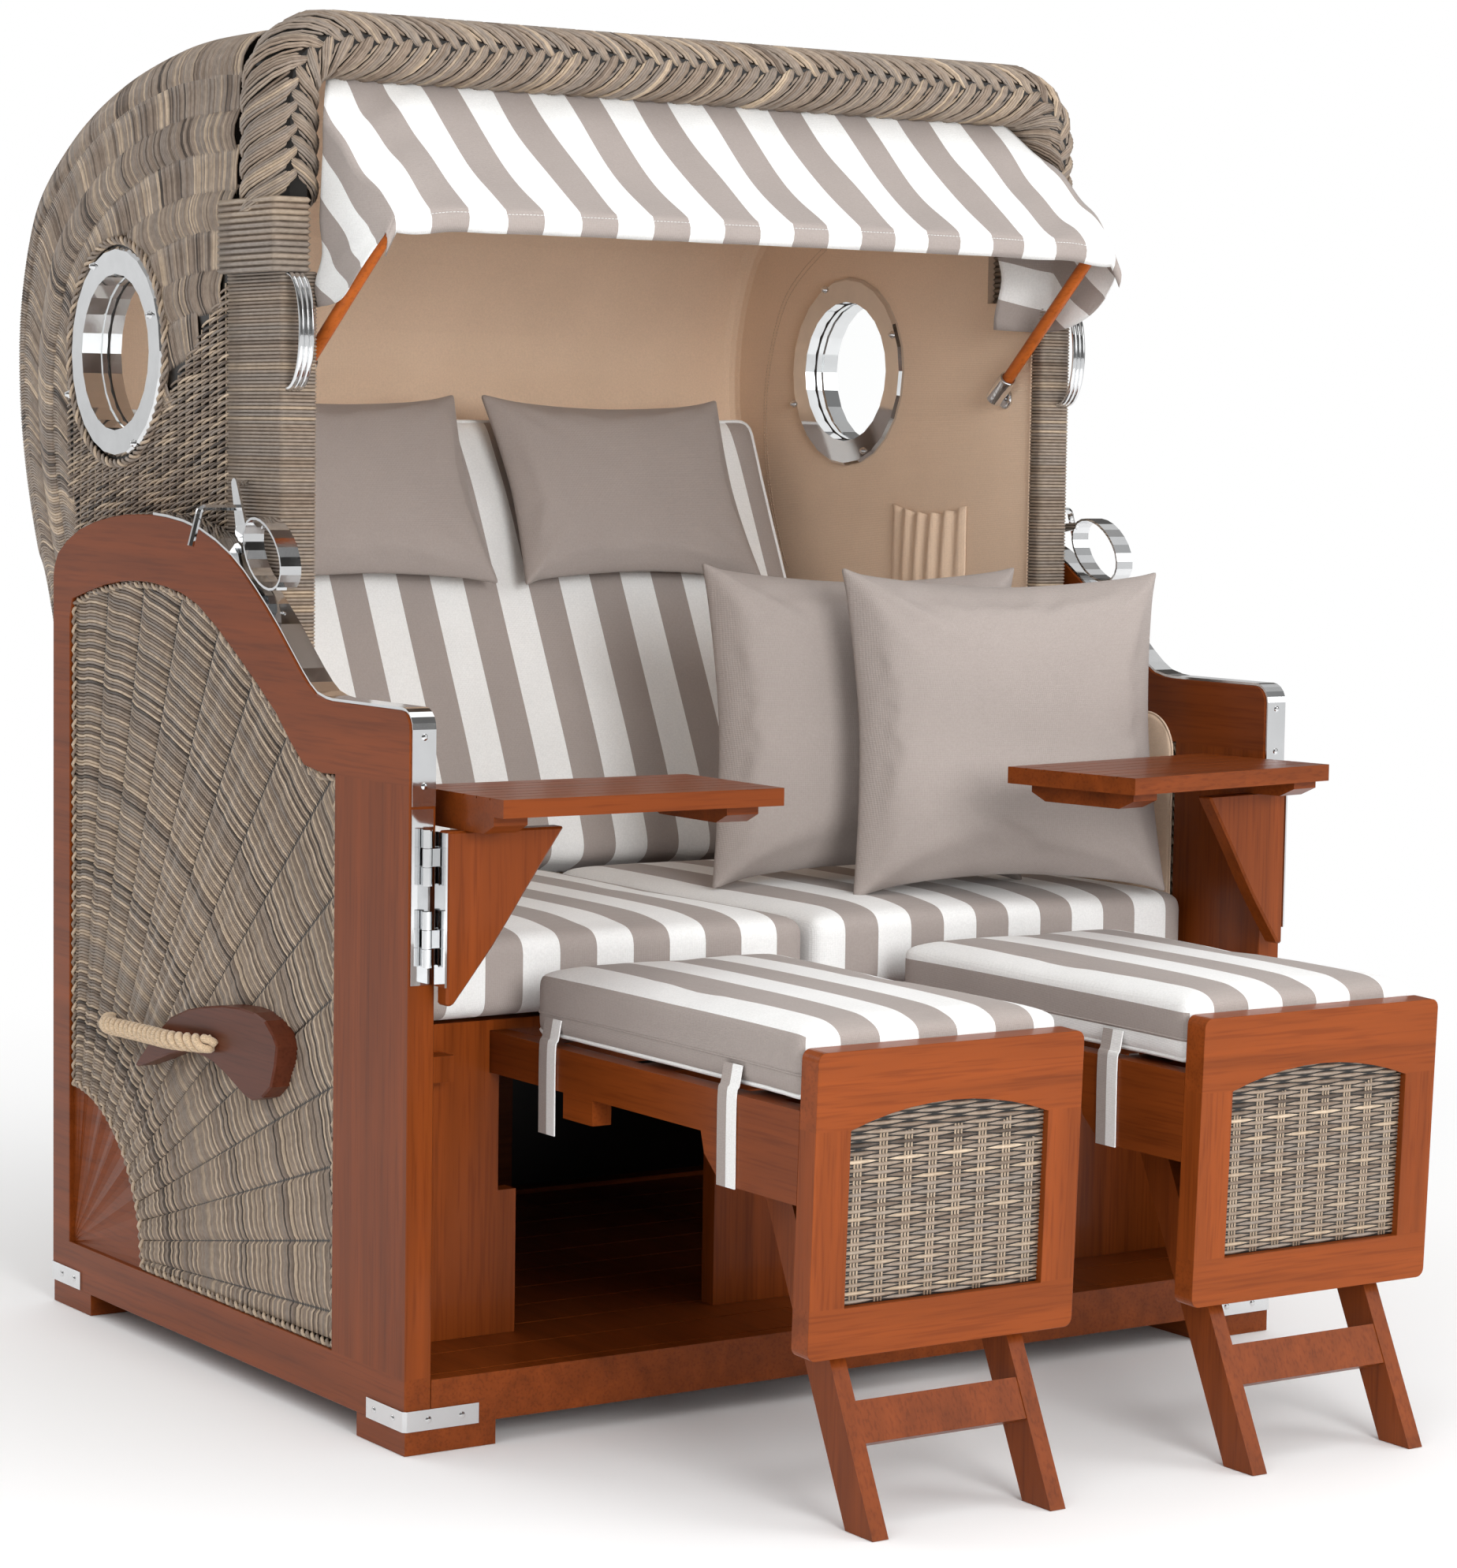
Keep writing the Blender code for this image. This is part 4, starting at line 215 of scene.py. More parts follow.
def lathe(profile, centres, axes, steps=12):
    """Turned shapes at many centres: the profile's (radius, height) pairs go round each axis; its ends close
    where the radius is nought."""
    centres, axes = np.atleast_2d(np.asarray(centres, float)), unit(np.atleast_2d(np.asarray(axes, float)))
    profile = np.asarray(profile, float)
    helper = np.where(np.abs(axes[:, :1]) > 0.9, [[0.0, 1.0, 0.0]], [[1.0, 0.0, 0.0]])
    first = unit(np.cross(axes, helper))
    second = np.cross(axes, first)
    angle = 2 * np.pi * np.arange(steps) / steps
    spoke = first[:, None] * np.cos(angle)[:, None] + second[:, None] * np.sin(angle)[:, None]
    points = (centres[:, None, None] + spoke[:, None] * profile[:, 0][:, None, None]
              + axes[:, None, None] * profile[:, 1][:, None, None])
    rows = len(profile)
    index = np.arange(rows * steps).reshape(rows, steps)
    here, there = index[:-1], index[1:]
    quads = np.stack([here, np.roll(here, -1, 1), np.roll(there, -1, 1), there], -1).reshape(-1, 4)
    one = rows * steps
    all_quads = (quads[None] + np.arange(len(centres))[:, None, None] * one).reshape(-1, 4)
    return points.reshape(-1, 3), all_quads, np.full(len(centres) * one, 0.5)


def joined(*meshes):
    """Several meshes as one."""
    points, quads, tones, start = [], [], [], 0
    for mesh in meshes:
        points.append(mesh[0])
        quads.append(mesh[1] + start)
        tones.append(mesh[2] if len(mesh) > 2 else np.full(len(mesh[0]), 0.5))
        start += len(mesh[0])
    return np.concatenate(points), np.concatenate(quads), np.concatenate(tones)


def mirrored(mesh):
    """The mesh on the other side of x = 0, with its faces turned back outwards."""
    points = mesh[0] * np.array([-1, 1, 1])
    return points, mesh[1][:, ::-1], mesh[2]


def sided(mesh, sign):
    """A mesh made for the right side, on the side asked for."""
    return mesh if sign > 0 else mirrored(mesh)


def make_piece(name, mesh, paint, body, replaces=(), uv=None, merge=False, smooth=True):
    """Puts arrays into a new object at the origin, paints it, and lets it ride on its body."""
    points, quads = mesh[0] + np.array([0, FRONT_OF_BASE, 0]), mesh[1]
    data = bpy.data.meshes.new(name)
    data.vertices.add(len(points))
    data.vertices.foreach_set("co", np.ascontiguousarray(points, np.float32).ravel())
    data.loops.add(quads.size)
    data.loops.foreach_set("vertex_index", np.ascontiguousarray(quads, np.int32).ravel())
    data.polygons.add(len(quads))
    data.polygons.foreach_set("loop_start", np.arange(len(quads), dtype=np.int32) * 4)
    data.polygons.foreach_set("use_smooth", np.full(len(quads), smooth))
    data.update(calc_edges=True)
    if len(mesh) > 2 and mesh[2] is not None:
        tone = data.attributes.new("tone", "FLOAT", "POINT")
        tone.data.foreach_set("value", np.ascontiguousarray(mesh[2], np.float32))
    if uv is not None:
        layer = data.uv_layers.new(name="cloth")
        layer.data.foreach_set("uv", np.ascontiguousarray(uv[quads.ravel()], np.float32).ravel())
    data.validate()
    piece = bpy.data.objects.new(name, data)
    bpy.context.scene.collection.objects.link(piece)
    for one in paint if isinstance(paint, (list, tuple)) else [paint]:
        data.materials.append(one)
    if merge:
        weld = piece.modifiers.new("closed poles", "WELD")
        weld.merge_threshold = 1e-6
        bake(piece)
    if body:
        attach(piece, body)
    if replaces:
        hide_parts(*replaces)
    return piece


def bake(piece):
    """Applies a piece's modifiers."""
    graph = bpy.context.evaluated_depsgraph_get()
    made = bpy.data.meshes.new_from_object(piece.evaluated_get(graph))
    old = piece.data
    piece.modifiers.clear()
    piece.data = made
    made.name = piece.name
    bpy.data.meshes.remove(old)


# Materials


class Nodes:
    """Short words for the nodes of a tree."""

    def __init__(self, tree):
        self.tree = tree

    def node(self, kind, inputs=(), **settings):
        """A node with its settings, and values or links for its inputs."""
        made = self.tree.nodes.new("ShaderNode" + kind)
        for key, value in settings.items():
            setattr(made, key, value)
        for key, value in dict(inputs).items():
            if isinstance(value, bpy.types.NodeSocket):
                self.tree.links.new(value, made.inputs[key])
            else:
                made.inputs[key].default_value = value
        return made

    def maths(self, operation, first, second=None, third=None):
        """One sum, product, comparison and so on."""
        values = {i: v for i, v in enumerate((first, second, third)) if v is not None}
        return self.node("Math", values, operation=operation).outputs[0]

    def place(self, scale=(1, 1, 1)):
        """Object coordinates times a scale."""
        at = self.node("TexCoord").outputs["Object"]
        return self.node("Mapping", {"Vector": at, "Scale": scale}).outputs[0]

    def noise(self, at, scale, detail=3.0, distortion=0.0):
        """Smooth noise from 0 to 1."""
        inputs = {"Vector": at, "Scale": scale, "Detail": detail, "Distortion": distortion}
        return self.node("TexNoise", inputs).outputs[0]

    def ramp(self, value, stops, interpolation="LINEAR"):
        """Colours at places from 0 to 1."""
        made = self.node("ValToRGB", {"Fac": value})
        made.color_ramp.interpolation = interpolation
        while len(made.color_ramp.elements) < len(stops):
            made.color_ramp.elements.new(0.5)
        for element, (position, colour) in zip(made.color_ramp.elements, stops):
            element.position = position
            element.color = (*colour[:3], 1)
        return made.outputs[0]

    def mix(self, share, first, second, blend="MIX"):
        """Two colours mixed."""
        made = self.node("Mix", data_type="RGBA", blend_type=blend)
        for key, value in ((0, share), (6, first), (7, second)):
            if isinstance(value, bpy.types.NodeSocket):
                self.tree.links.new(value, made.inputs[key])
            else:
                made.inputs[key].default_value = value if key == 0 else (*tuple(value)[:3], 1)
        return made.outputs[2]


class Paint(Nodes):
    """A material with a Principled shader."""

    def __init__(self, name, roughness, **sockets):
        self.material = bpy.data.materials.new(name)
        self.material.use_nodes = True
        super().__init__(self.material.node_tree)
        self.shader = self.tree.nodes["Principled BSDF"]
        self.shader.inputs["Roughness"].default_value = roughness
        for key, value in sockets.items():
            self.shader.inputs[key.replace("_", " ")].default_value = value

    def link(self, socket, name):
        """A socket into the shader's input of that name."""
        self.tree.links.new(socket, self.shader.inputs[name])

    def bump(self, height, strength, distance=0.001):
        """Fine relief on the shader's normal."""
        made = self.node("Bump", {"Height": height, "Strength": strength, "Distance": distance})
        self.link(made.outputs[0], "Normal")


def shade(colour, factor):
    """A colour made darker or lighter."""
    return tuple(min(1.0, c * factor) for c in tuple(colour)[:3])


def wood_paint(name, grain, colour=None, upright=None):
    """Varnished mahogany: long noise along the grain makes soft streaks, short dark pores lie in them, and a
    slow noise changes the tone from board to board. upright gives the ranges in which the grain stands."""
    base = colour or colours().wood
    paint = Paint(name, 0.34, Coat_Weight=0.09, Coat_Roughness=0.10, Specular_IOR_Level=0.14)
    stretch = {"x": (0.035, 1, 1), "y": (1, 0.035, 1), "z": (1, 1, 0.035)}
    at = paint.place(stretch[grain])
    if upright:
        other = paint.place(stretch["z"])
        spot = paint.node("SeparateXYZ", {0: paint.node("TexCoord").outputs["Object"]})
        inside = None
        for low, high, axis in upright:
            above = paint.maths("GREATER_THAN", spot.outputs[axis], low)
            below = paint.maths("LESS_THAN", spot.outputs[axis], high)
            both = paint.maths("MULTIPLY", above, below)
            inside = both if inside is None else paint.maths("MULTIPLY", inside, both)
        made = paint.node("Mix", {0: inside}, data_type="VECTOR")
        paint.tree.links.new(at, made.inputs[4])
        paint.tree.links.new(other, made.inputs[5])
        at = made.outputs[1]
    streaks = paint.noise(at, 42, 5, 0.35)
    pores = paint.noise(at, 300, 2)
    slow = paint.noise(paint.place(), 3.2, 2)
    tone = paint.ramp(streaks, [
        (0.25, shade(base, 0.74)), (0.45, shade(base, 0.94)), (0.6, shade(base, 1.06)),
        (0.8, shade(base, 1.24)),
    ])
    dark = paint.ramp(pores, [(0.34, (0.62, 0.56, 0.54)), (0.5, (1, 1, 1))])
    tone = paint.mix(0.5, tone, dark, "MULTIPLY")
    board = paint.ramp(slow, [(0.3, (0.80, 0.76, 0.74)), (0.7, (1.0, 1.0, 1.0))])
    tone = paint.mix(0.6, tone, board, "MULTIPLY")
    paint.link(tone, "Base Color")
    paint.bump(pores, 0.06, 0.0005)
    return paint.material


def weave_paint(name, lift=1.0):
    """Woven strands: each strand's tone picks grey, taupe, tan or dark brown, streaked along its length."""
    paint = Paint(name, 0.36, Specular_IOR_Level=0.5)
    tone = paint.node("Attribute", attribute_name="tone", attribute_type="GEOMETRY").outputs["Fac"]
    streak = paint.noise(paint.place(), 130, 3)
    picked = paint.ramp(tone, [
        (0.0, shade((0.060, 0.045, 0.036), lift)), (0.2, shade((0.170, 0.125, 0.094), lift)),
        (0.42, shade((0.330, 0.255, 0.195), lift)), (0.6, shade((0.270, 0.225, 0.190), lift)),
        (0.78, shade((0.480, 0.370, 0.265), lift)), (1.0, shade((0.62, 0.49, 0.36), lift)),
    ])
    shadow = paint.ramp(streak, [(0.25, (0.62, 0.60, 0.58)), (0.65, (1, 1, 1))])
    paint.link(paint.mix(0.7, picked, shadow, "MULTIPLY"), "Base Color")
    paint.bump(paint.noise(paint.place(), 900, 2), 0.22, 0.0004)
    return paint.material


def metal_paint(name, roughness=0.07, colour=(0.80, 0.81, 0.82)):
    """Polished metal with faint smears in its gloss."""
    paint = Paint(name, roughness, Metallic=1.0)
    smear = paint.noise(paint.place(), 38, 3)
    paint.link(paint.ramp(smear, [(0.3, shade(colour, 0.93)), (0.7, colour)]), "Base Color")
    rough = paint.ramp(smear, [(0.3, (roughness * 0.7,) * 3), (0.75, (roughness * 1.6,) * 3)])
    paint.link(rough, "Roughness")
    paint.bump(paint.noise(paint.place(), 240, 1), 0.02, 0.0005)
    return paint.material


def weft(paint, at):
    """Plain weave: two sets of fine waves that cross, as height."""
    waves = {"Vector": at, "Scale": 190.0, "Distortion": 0.4}
    one, two = (paint.node("TexWave", waves, bands_direction=way).outputs[1] for way in "XZ")
    return paint.maths("ADD", one, two)


def cloth_paint(name, colour, second=None, stripe_from=None, shift=0.0, fold=0.4, wide=None):
    """Woven cloth, plain or in stripes: the stripe is the whole number of stripe widths across, odd or even.
    The weave's height, soft mottling and small creases come from noise."""
    paint = Paint(name, 0.82, Sheen_Weight=0.12, Sheen_Roughness=0.4, Specular_IOR_Level=0.25)
    at = paint.place()
    base = tuple(colour)[:3]
    if stripe_from:
        source = paint.node("TexCoord").outputs["UV"] if stripe_from == "uv" else at
        across = paint.node("SeparateXYZ", {0: source}).outputs[2 if stripe_from == "z" else 0]
        turned = paint.maths("MULTIPLY_ADD", across, 0.5 / (wide or sizes().stripe), shift)
        edge = paint.maths("GREATER_THAN", paint.maths("FRACT", turned), 0.5)
        base = paint.mix(edge, second, colour)
    mottle = paint.ramp(paint.noise(at, 420, 2), [(0.3, (0.90, 0.90, 0.90)), (0.7, (1, 1, 1))])
    cloud = paint.ramp(paint.noise(at, 9, 3), [(0.3, (0.93, 0.93, 0.93)), (0.7, (1, 1, 1))])
    tone = paint.mix(0.8, base, mottle, "MULTIPLY")
    paint.link(paint.mix(0.8, tone, cloud, "MULTIPLY"), "Base Color")
    creases = paint.noise(at, 26, 4, 0.8)
    height = paint.maths("MULTIPLY_ADD", creases, fold * 8, weft(paint, at))
    paint.bump(height, 0.30, 0.0006)
    return paint.material


def rope_paint(name):
    """Laid natural fibre: fine hairs run round each strand."""
    paint = Paint(name, 0.9, Sheen_Weight=0.2)
    hair = paint.noise(paint.place((1, 0.2, 1)), 700, 3)
    base = colours().rope
    tones = [(0.3, shade(base, 0.62)), (0.55, base), (0.8, shade(base, 1.25))]
    paint.link(paint.ramp(hair, tones), "Base Color")
    paint.bump(hair, 0.5, 0.0008)
    return paint.material


def glass_paint(name):
    """Clear flat glass."""
    paint = Paint(name, 0.02, Transmission_Weight=1.0, IOR=1.03)
    cloud = paint.noise(paint.place(), 5, 1)
    paint.link(paint.ramp(cloud, [(0, (0.97, 0.985, 0.98)), (1, (1, 1, 1))]), "Base Color")
    return paint.material


PAINTS = {}


def paint_of(name, maker, *values, **named):
    """Each finish is made once."""
    if name not in PAINTS:
        PAINTS[name] = maker(name, *values, **named)
    return PAINTS[name]


def weave():
    """The strands' finish."""
    return paint_of("woven_strands", weave_paint)


def chrome():
    """The fittings' finish."""
    return paint_of("polished_metal", metal_paint)


def taupe():
    """Plain taupe cloth."""
    return paint_of("taupe_cloth", cloth_paint, colours().taupe)


def white():
    """Plain white cloth."""
    return paint_of("white_cloth", cloth_paint, colours().white)


def stripes(name="striped_cloth", shift=0.0, source="x", wide=None):
    """Striped cloth, its first stripe shifted by a share of the two stripes."""
    return paint_of(name, cloth_paint, colours().taupe, colours().white, source, shift, wide=wide)


def shade_behind_weave(*nodes):
    """CAD nodes behind a weave keep their meshes and go nearly black: painted shade that shows in the gaps
    between the strands.
    """
    for node in nodes:
        # The weave's finish at a tenth of its tone: painted shade behind the strands.
        repaint(node, paint_of("weave_ground", weave_paint, 0.10))


def thicken(piece, thickness):
    """Cloth of a thickness, half of it on each side."""
    wall = piece.modifiers.new("cloth", "SOLIDIFY")
    wall.thickness = thickness
    wall.offset = 0


def repaint(node, paint):
    """A CAD node keeps its mesh and takes a finish."""
    data = NODES[node].data
    data.materials.clear()
    data.materials.append(paint)


def tone_blocks(places, block, seed, low=0.05, high=0.95, spread=0.19):
    """Tones in blocks: every block of neighbours leans to one tone, and each strand differs a little."""
    chooser = np.random.default_rng(seed)
    order = np.floor(np.asarray(places) / block).astype(int)
    order -= order.min()
    leaning = chooser.uniform(low, high, order.max() + 1)[order]
    return np.clip(0.5 + (leaning - 0.5) * 0.45 + chooser.normal(0, spread, len(order)), 0, 1)


# The hood's weaving


def hood_line(count=600):
    """Roof and back in y and z from the front edge of the roof down, at equal distances, and its outward
    normal."""
    points = [HOOD_FRONT, HOOD_BOTTOM] + BACK_SHARES * [HOOD_DEPTH, HOOD_HEIGHT]
    line = evenly(smooth_line(points), count)
    slope = unit(np.gradient(line, axis=0))
    return line, np.stack([-slope[:, 1], slope[:, 0]], axis=1)


def hood_reach(points):
    """How far each point is from the weave's focus, as a share of the hood's edge in that direction."""
    line, _ = hood_line()
    away = line - WEAVE_FOCUS
    angle = np.arctan2(away[:, 1], away[:, 0])
    order = np.argsort(angle)
    gone = points - WEAVE_FOCUS
    edge = np.interp(np.arctan2(gone[:, 1], gone[:, 0]), angle[order], np.linalg.norm(away, axis=1)[order])
    return np.linalg.norm(gone, axis=1) / edge


def band_of(points):
    """Number of the band under the rounded edge that each point lies in."""
    return ((1 - hood_reach(points)) * FOCUS_SPAN - HOOD_EDGE) / BAND_STEP


def in_bands(points):
    """Three bands follow the whole edge; above the porthole and forward of it there are eight."""
    ceiling = np.interp(points[:, 0], [0.52, 0.70, 0.80, 1.2], [1.30, 1.15, 1.21, 1.21])
    band = band_of(points)
    return (band < 3) | ((band < 8) & (points[:, 1] > ceiling))


def round_porthole(points, radius=0.139):
    """Points inside the porthole's ring move out to it."""
    gone = points - PORTHOLE
    far = np.linalg.norm(gone, axis=-1, keepdims=True)
    return PORTHOLE + gone * np.maximum(1, radius / np.maximum(far, 1e-6))


def hood_bands():
    """Short strands across bands that run along the hood's edge: band k lies between two copies of the edge
    drawn in towards the focus, and each strand crosses it with a slight slant, bulging in its middle."""
    line, _ = hood_line(2400)
    pitch = sizes().strand * 0.93
    w = np.linspace(-0.12, 1.12, 6)
    meshes = []
    for band in range(8):
        inner = 1 - (HOOD_EDGE + BAND_STEP * (band + 0.5)) / FOCUS_SPAN
        count = int(run_length(line) * inner / pitch)
        at = np.linspace(0, 1, count)
        draw = 1 - (HOOD_EDGE + BAND_STEP * (band + w)) / FOCUS_SPAN
        slant = 0.006 * np.sin(np.pi * w)[None, :] * (1 if band % 2 else -1)
        spot = np.clip(at[:, None] + slant + 0.004 * w, 0, 1) * (len(line) - 1)
        yz = place_on(line, spot)
        yz = WEAVE_FOCUS + (yz - WEAVE_FOCUS) * draw[None, :, None]
        middle = yz[:, 3]
        clear = np.linalg.norm(middle - PORTHOLE, axis=1) > 0.124
        front = np.where(middle[:, 1] > 1.386, 0.497, 0.52)
        keep = in_bands(middle) & clear & (middle[:, 1] > 0.625) & (middle[:, 0] > front)
        yz = round_porthole(yz[keep])
        bulge = 0.0048 * arch((w + 0.12) / 1.24, 0.7) - 0.0015
        x = np.broadcast_to(HOOD_HALF + bulge, yz.shape[:2])
        paths = np.concatenate([x[..., None], yz], -1)
        tones = tone_blocks(at[keep] * run_length(line), 0.042 + 0.007 * (band % 3), 11 + band)
        meshes.append(strands(paths, sizes().strand * 1.05, 0.0036, (1, 0, 0), tones))
    return joined(*meshes)


def hood_basket():
    """Open basket weave below the bands: rows rise to the front, and over every second stake a strand bulges
    out while its neighbours dive behind. Slim stakes stand between."""
    pitch, stake = sizes().strand * 0.98, 0.0215
    rows, columns = np.meshgrid(np.arange(300), np.arange(30), indexing="ij")
    picked = (rows + columns) % 2 == 0
    rows, columns = rows[picked], columns[picked]
    y = 0.5365 + columns * stake
    z = 0.50 + rows * pitch - 0.30 * (y - 0.53) + 0.10 * (y - 0.53) ** 2
    middle = np.stack([y, z], 1)
    keep = ~in_bands(middle) & (middle[:, 1] > 0.62) & (hood_reach(middle) < 1)
    keep &= np.linalg.norm(middle - PORTHOLE, axis=1) > 0.130
    y, z, rows = y[keep], z[keep], rows[keep]
    w = np.linspace(-1, 1, 5)
    reach = stake * 1.08
    yz = np.stack([y[:, None] + w * reach, z[:, None] - 0.28 * w * reach], -1)
    yz = round_porthole(yz)
    yz[..., 0] = np.maximum(yz[..., 0], 0.524)
    x = np.broadcast_to(HOOD_HALF - 0.0016 + 0.0052 * np.cos(np.pi * w / 2), yz.shape[:2])
    chooser = np.random.default_rng(5)
    tones = chooser.choice([0.15, 0.3, 0.45, 0.6, 0.8], len(y))
    tones = np.clip(tones + chooser.normal(0, 0.1, len(y)), 0, 1)
    woven = strands(np.concatenate([x[..., None], yz], -1), sizes().strand * 0.92, 0.0034, (1, 0, 0), tones)
    y, z = np.meshgrid(0.5365 + np.arange(30) * stake, np.arange(0.624, 1.30, 0.018), indexing="ij")
    foot = np.stack([y.ravel() + 0.004 * np.sin((z.ravel() - 0.6) * 9), z.ravel()], 1)
    inside = ~in_bands(foot) & (hood_reach(foot) < 0.97) & (np.linalg.norm(foot - PORTHOLE, axis=1) > 0.15)
    foot = foot[inside]
    tall = np.stack([foot, foot + [0, 0.009], foot + [0, 0.0185]], 1)
    x = np.full(tall.shape[:2], HOOD_HALF + 0.0006)
    stakes = strands(np.concatenate([x[..., None], tall], -1), 0.0030, 0.0030, (1, 0, 0), 0.85)
    return joined(woven, stakes)


def hood_edge():
    """Dense wrapping over the long rounded edges: quarter circles from the side face onto roof and back."""
    line, normal = hood_line()
    count = int(run_length(line) / (sizes().strand * 1.02))
    spot = np.linspace(0, len(line) - 1, count)
    edge, out = place_on(line, spot), place_on(normal, spot)
    angle = np.radians(np.linspace(-14, 104, 8))
    radius = HOOD_EDGE + 0.0016 + 0.0014 * np.sin(np.linspace(0, np.pi, 8))
    x = HOOD_HALF - HOOD_EDGE + radius * np.cos(angle)
    depth = radius * np.sin(angle) - HOOD_EDGE
    x = np.where(angle < 0, HOOD_HALF + 0.001, x)
    depth = np.where(angle < 0, -HOOD_EDGE - 0.010, depth)
    x = np.where(angle > np.pi / 2, HOOD_HALF - HOOD_EDGE - 0.010, x)
    depth = np.where(angle > np.pi / 2, 0.001, depth)
    yz = edge[:, None] + out[:, None] * depth[:, None]
    paths = np.concatenate([np.broadcast_to(x, yz.shape[:2])[..., None], yz], -1)
    outward = np.concatenate([np.broadcast_to(np.cos(angle), yz.shape[:2])[..., None],
                              out[:, None] * np.sin(angle)[:, None]], -1)
    tones = tone_blocks(spot, 12, 21, 0.0, 0.8)
    return strands(paths, sizes().strand * 1.02, 0.0036, outward, tones)


def hood_back():
    """Roof and back: rows of strands that lie along the curve, each bulging between two cross stakes, and
    pushed out where the back bends and at its foot, so that they stay outside the shell."""
    line, normal = hood_line()
    line = np.concatenate([line, line[-1] + (line[-1] - line[-2]) * np.arange(1, 7)[:, None]])
    normal = np.concatenate([normal, np.repeat(normal[-1:], 6, axis=0)])
    pitch, long = 0.0066, 0.072
    across = np.arange(-0.530, 0.5301, pitch)
    total = run_length(line)
    starts = np.arange(0.004, total - long, long * 0.90)
    side, start = np.meshgrid(across, starts, indexing="ij")
    order = np.arange(len(across))[:, None] % 2
    start = np.clip(start + order * long * 0.45, 0, total - long)
    side, start = side.ravel(), start.ravel()
    w = np.linspace(0, 1, 5)
    at = (start[:, None] + w * long) / total * (len(line) - 1)
    yz, out = place_on(line, at), place_on(normal, at)
    bulge = 0.0042 * arch(w, 0.7) - 0.0018
    knee = 0.0052 * np.exp(-((yz[..., 1] - 0.862) / 0.040) ** 2) + 0.0030 * (yz[..., 1] < 0.54)
    yz = yz + out * (bulge + knee * (yz[..., 0] > 0.8))[..., None]
    x = np.broadcast_to(side[:, None], yz.shape[:2])
    outward = np.concatenate([np.zeros_like(x)[..., None], out], -1)
    tones = tone_blocks(np.arange(len(side)), 9, 31)
    return strands(np.concatenate([x[..., None], yz], -1), pitch * 1.02, 0.0040, outward, tones)


def wrapped_post(low, high, pitch, y_front, y_rear, y_inner, x_inner, x_outer, thick, seed):
    """Strands wound round a flat post: each turn runs from y_rear along the outer face, round the front and
    along the inner face to y_inner."""
    radius = 0.005
    turn = np.radians(np.linspace(0, 90, 4))
    outer = np.stack([x_outer - radius + radius * np.cos(turn), y_front + radius - radius * np.sin(turn)], 1)
    inner = np.stack([x_inner + radius - radius * np.sin(turn), y_front + radius - radius * np.cos(turn)], 1)
    middle = np.linspace(y_rear, y_front + radius, 4)[:-1]
    ring = np.concatenate([np.stack([np.full(3, x_outer), middle], 1), outer, inner,
                           np.stack([np.full(3, x_inner), np.linspace(y_front + radius, y_inner, 4)[1:]], 1)])
    levels = np.arange(low + pitch / 2, high, pitch)
    paths = np.concatenate([np.broadcast_to(ring, (len(levels), *ring.shape)),
                            np.broadcast_to(levels[:, None, None], (len(levels), len(ring), 1))], -1)
    tangent = unit(np.gradient(ring, axis=0))
    outward = np.stack([-tangent[:, 1], tangent[:, 0], np.zeros(len(ring))], 1)
    tones = tone_blocks(np.arange(len(levels)), 4, seed, 0.35, 0.9, 0.11)
    return strands(paths, pitch * 1.02, thick, outward, tones)


def rim_path(count):
    """Centre line of the rim in x and z: up one side, round two corners and down the other side."""
    side, top, radius, foot = 0.558, 1.567, 0.06, 1.372
    turn = np.radians(np.linspace(0, 90, 12))
    left = np.stack([-side + radius - radius * np.cos(turn), top - radius + radius * np.sin(turn)], 1)
    right = left[::-1] * [-1, 1]
    line = np.concatenate([[[-side, foot]], left, right, [[side, foot]]])
    line = evenly(line, count)
    slope = unit(np.gradient(line, axis=0))
    return line, np.stack([-slope[:, 1], slope[:, 0]], 1)


def rim_plait():
    """A plait round the rim's oval tube: strands run in bundles of seven from the upper and the lower edge to
    a line on the front, where each bundle passes the line and dives under the next from the other side."""
    line, out = rim_path(900)
    total = run_length(line)
    step = sizes().plait_step
    count = int(total / step)
    w = np.linspace(0, 1, 10)
    meshes = []
    for family, (start, end) in enumerate(((-80, 104), (236, 56))):
        at = np.arange(count) * step + family * step * 3.5
        part = (np.arange(count) % 7 - 3) / 3.0
        squeeze = (part * 0.0040)[:, None] * np.clip((w - 0.55) / 0.45, 0, 1) ** 1.5
        spot = (at[:, None] - squeeze + 0.066 * w**1.5 - 0.024) / total * (len(line) - 1)
        centre, radial = place_on(line, spot), place_on(out, spot)
        psi = np.radians(start + (end - start) * w)
        lift = 0.0085 * arch((w - 0.12) / 0.86, 1.1) + 0.0008
        grow = lift[None, :] - 0.0060 * np.abs(part[:, None]) ** 2.4 * np.clip(w * 4, 0, 1)[None, :]
        grow = grow - 0.011 * np.clip((w - 0.84) / 0.16, 0, 1)[None, :]
        up = (0.0335 + grow * 0.8) * np.cos(psi)
        front = (0.0540 + grow) * np.sin(psi)
        xz = centre + radial * up[..., None]
        y = 0.446 - front
        paths = np.stack([xz[..., 0], np.broadcast_to(y, xz.shape[:2]), xz[..., 1]], -1)
        face = radial * np.cos(psi)[None, :, None]
        outward = np.stack([face[..., 0], np.broadcast_to(-np.sin(psi), xz.shape[:2]), face[..., 1]], -1)
        tones = tone_blocks(np.arange(count), 7, 41 + family, 0.3, 0.8, 0.13)
        meshes.append(strands(paths, step * 1.05, 0.0046, outward, tones))
    return joined(*meshes)


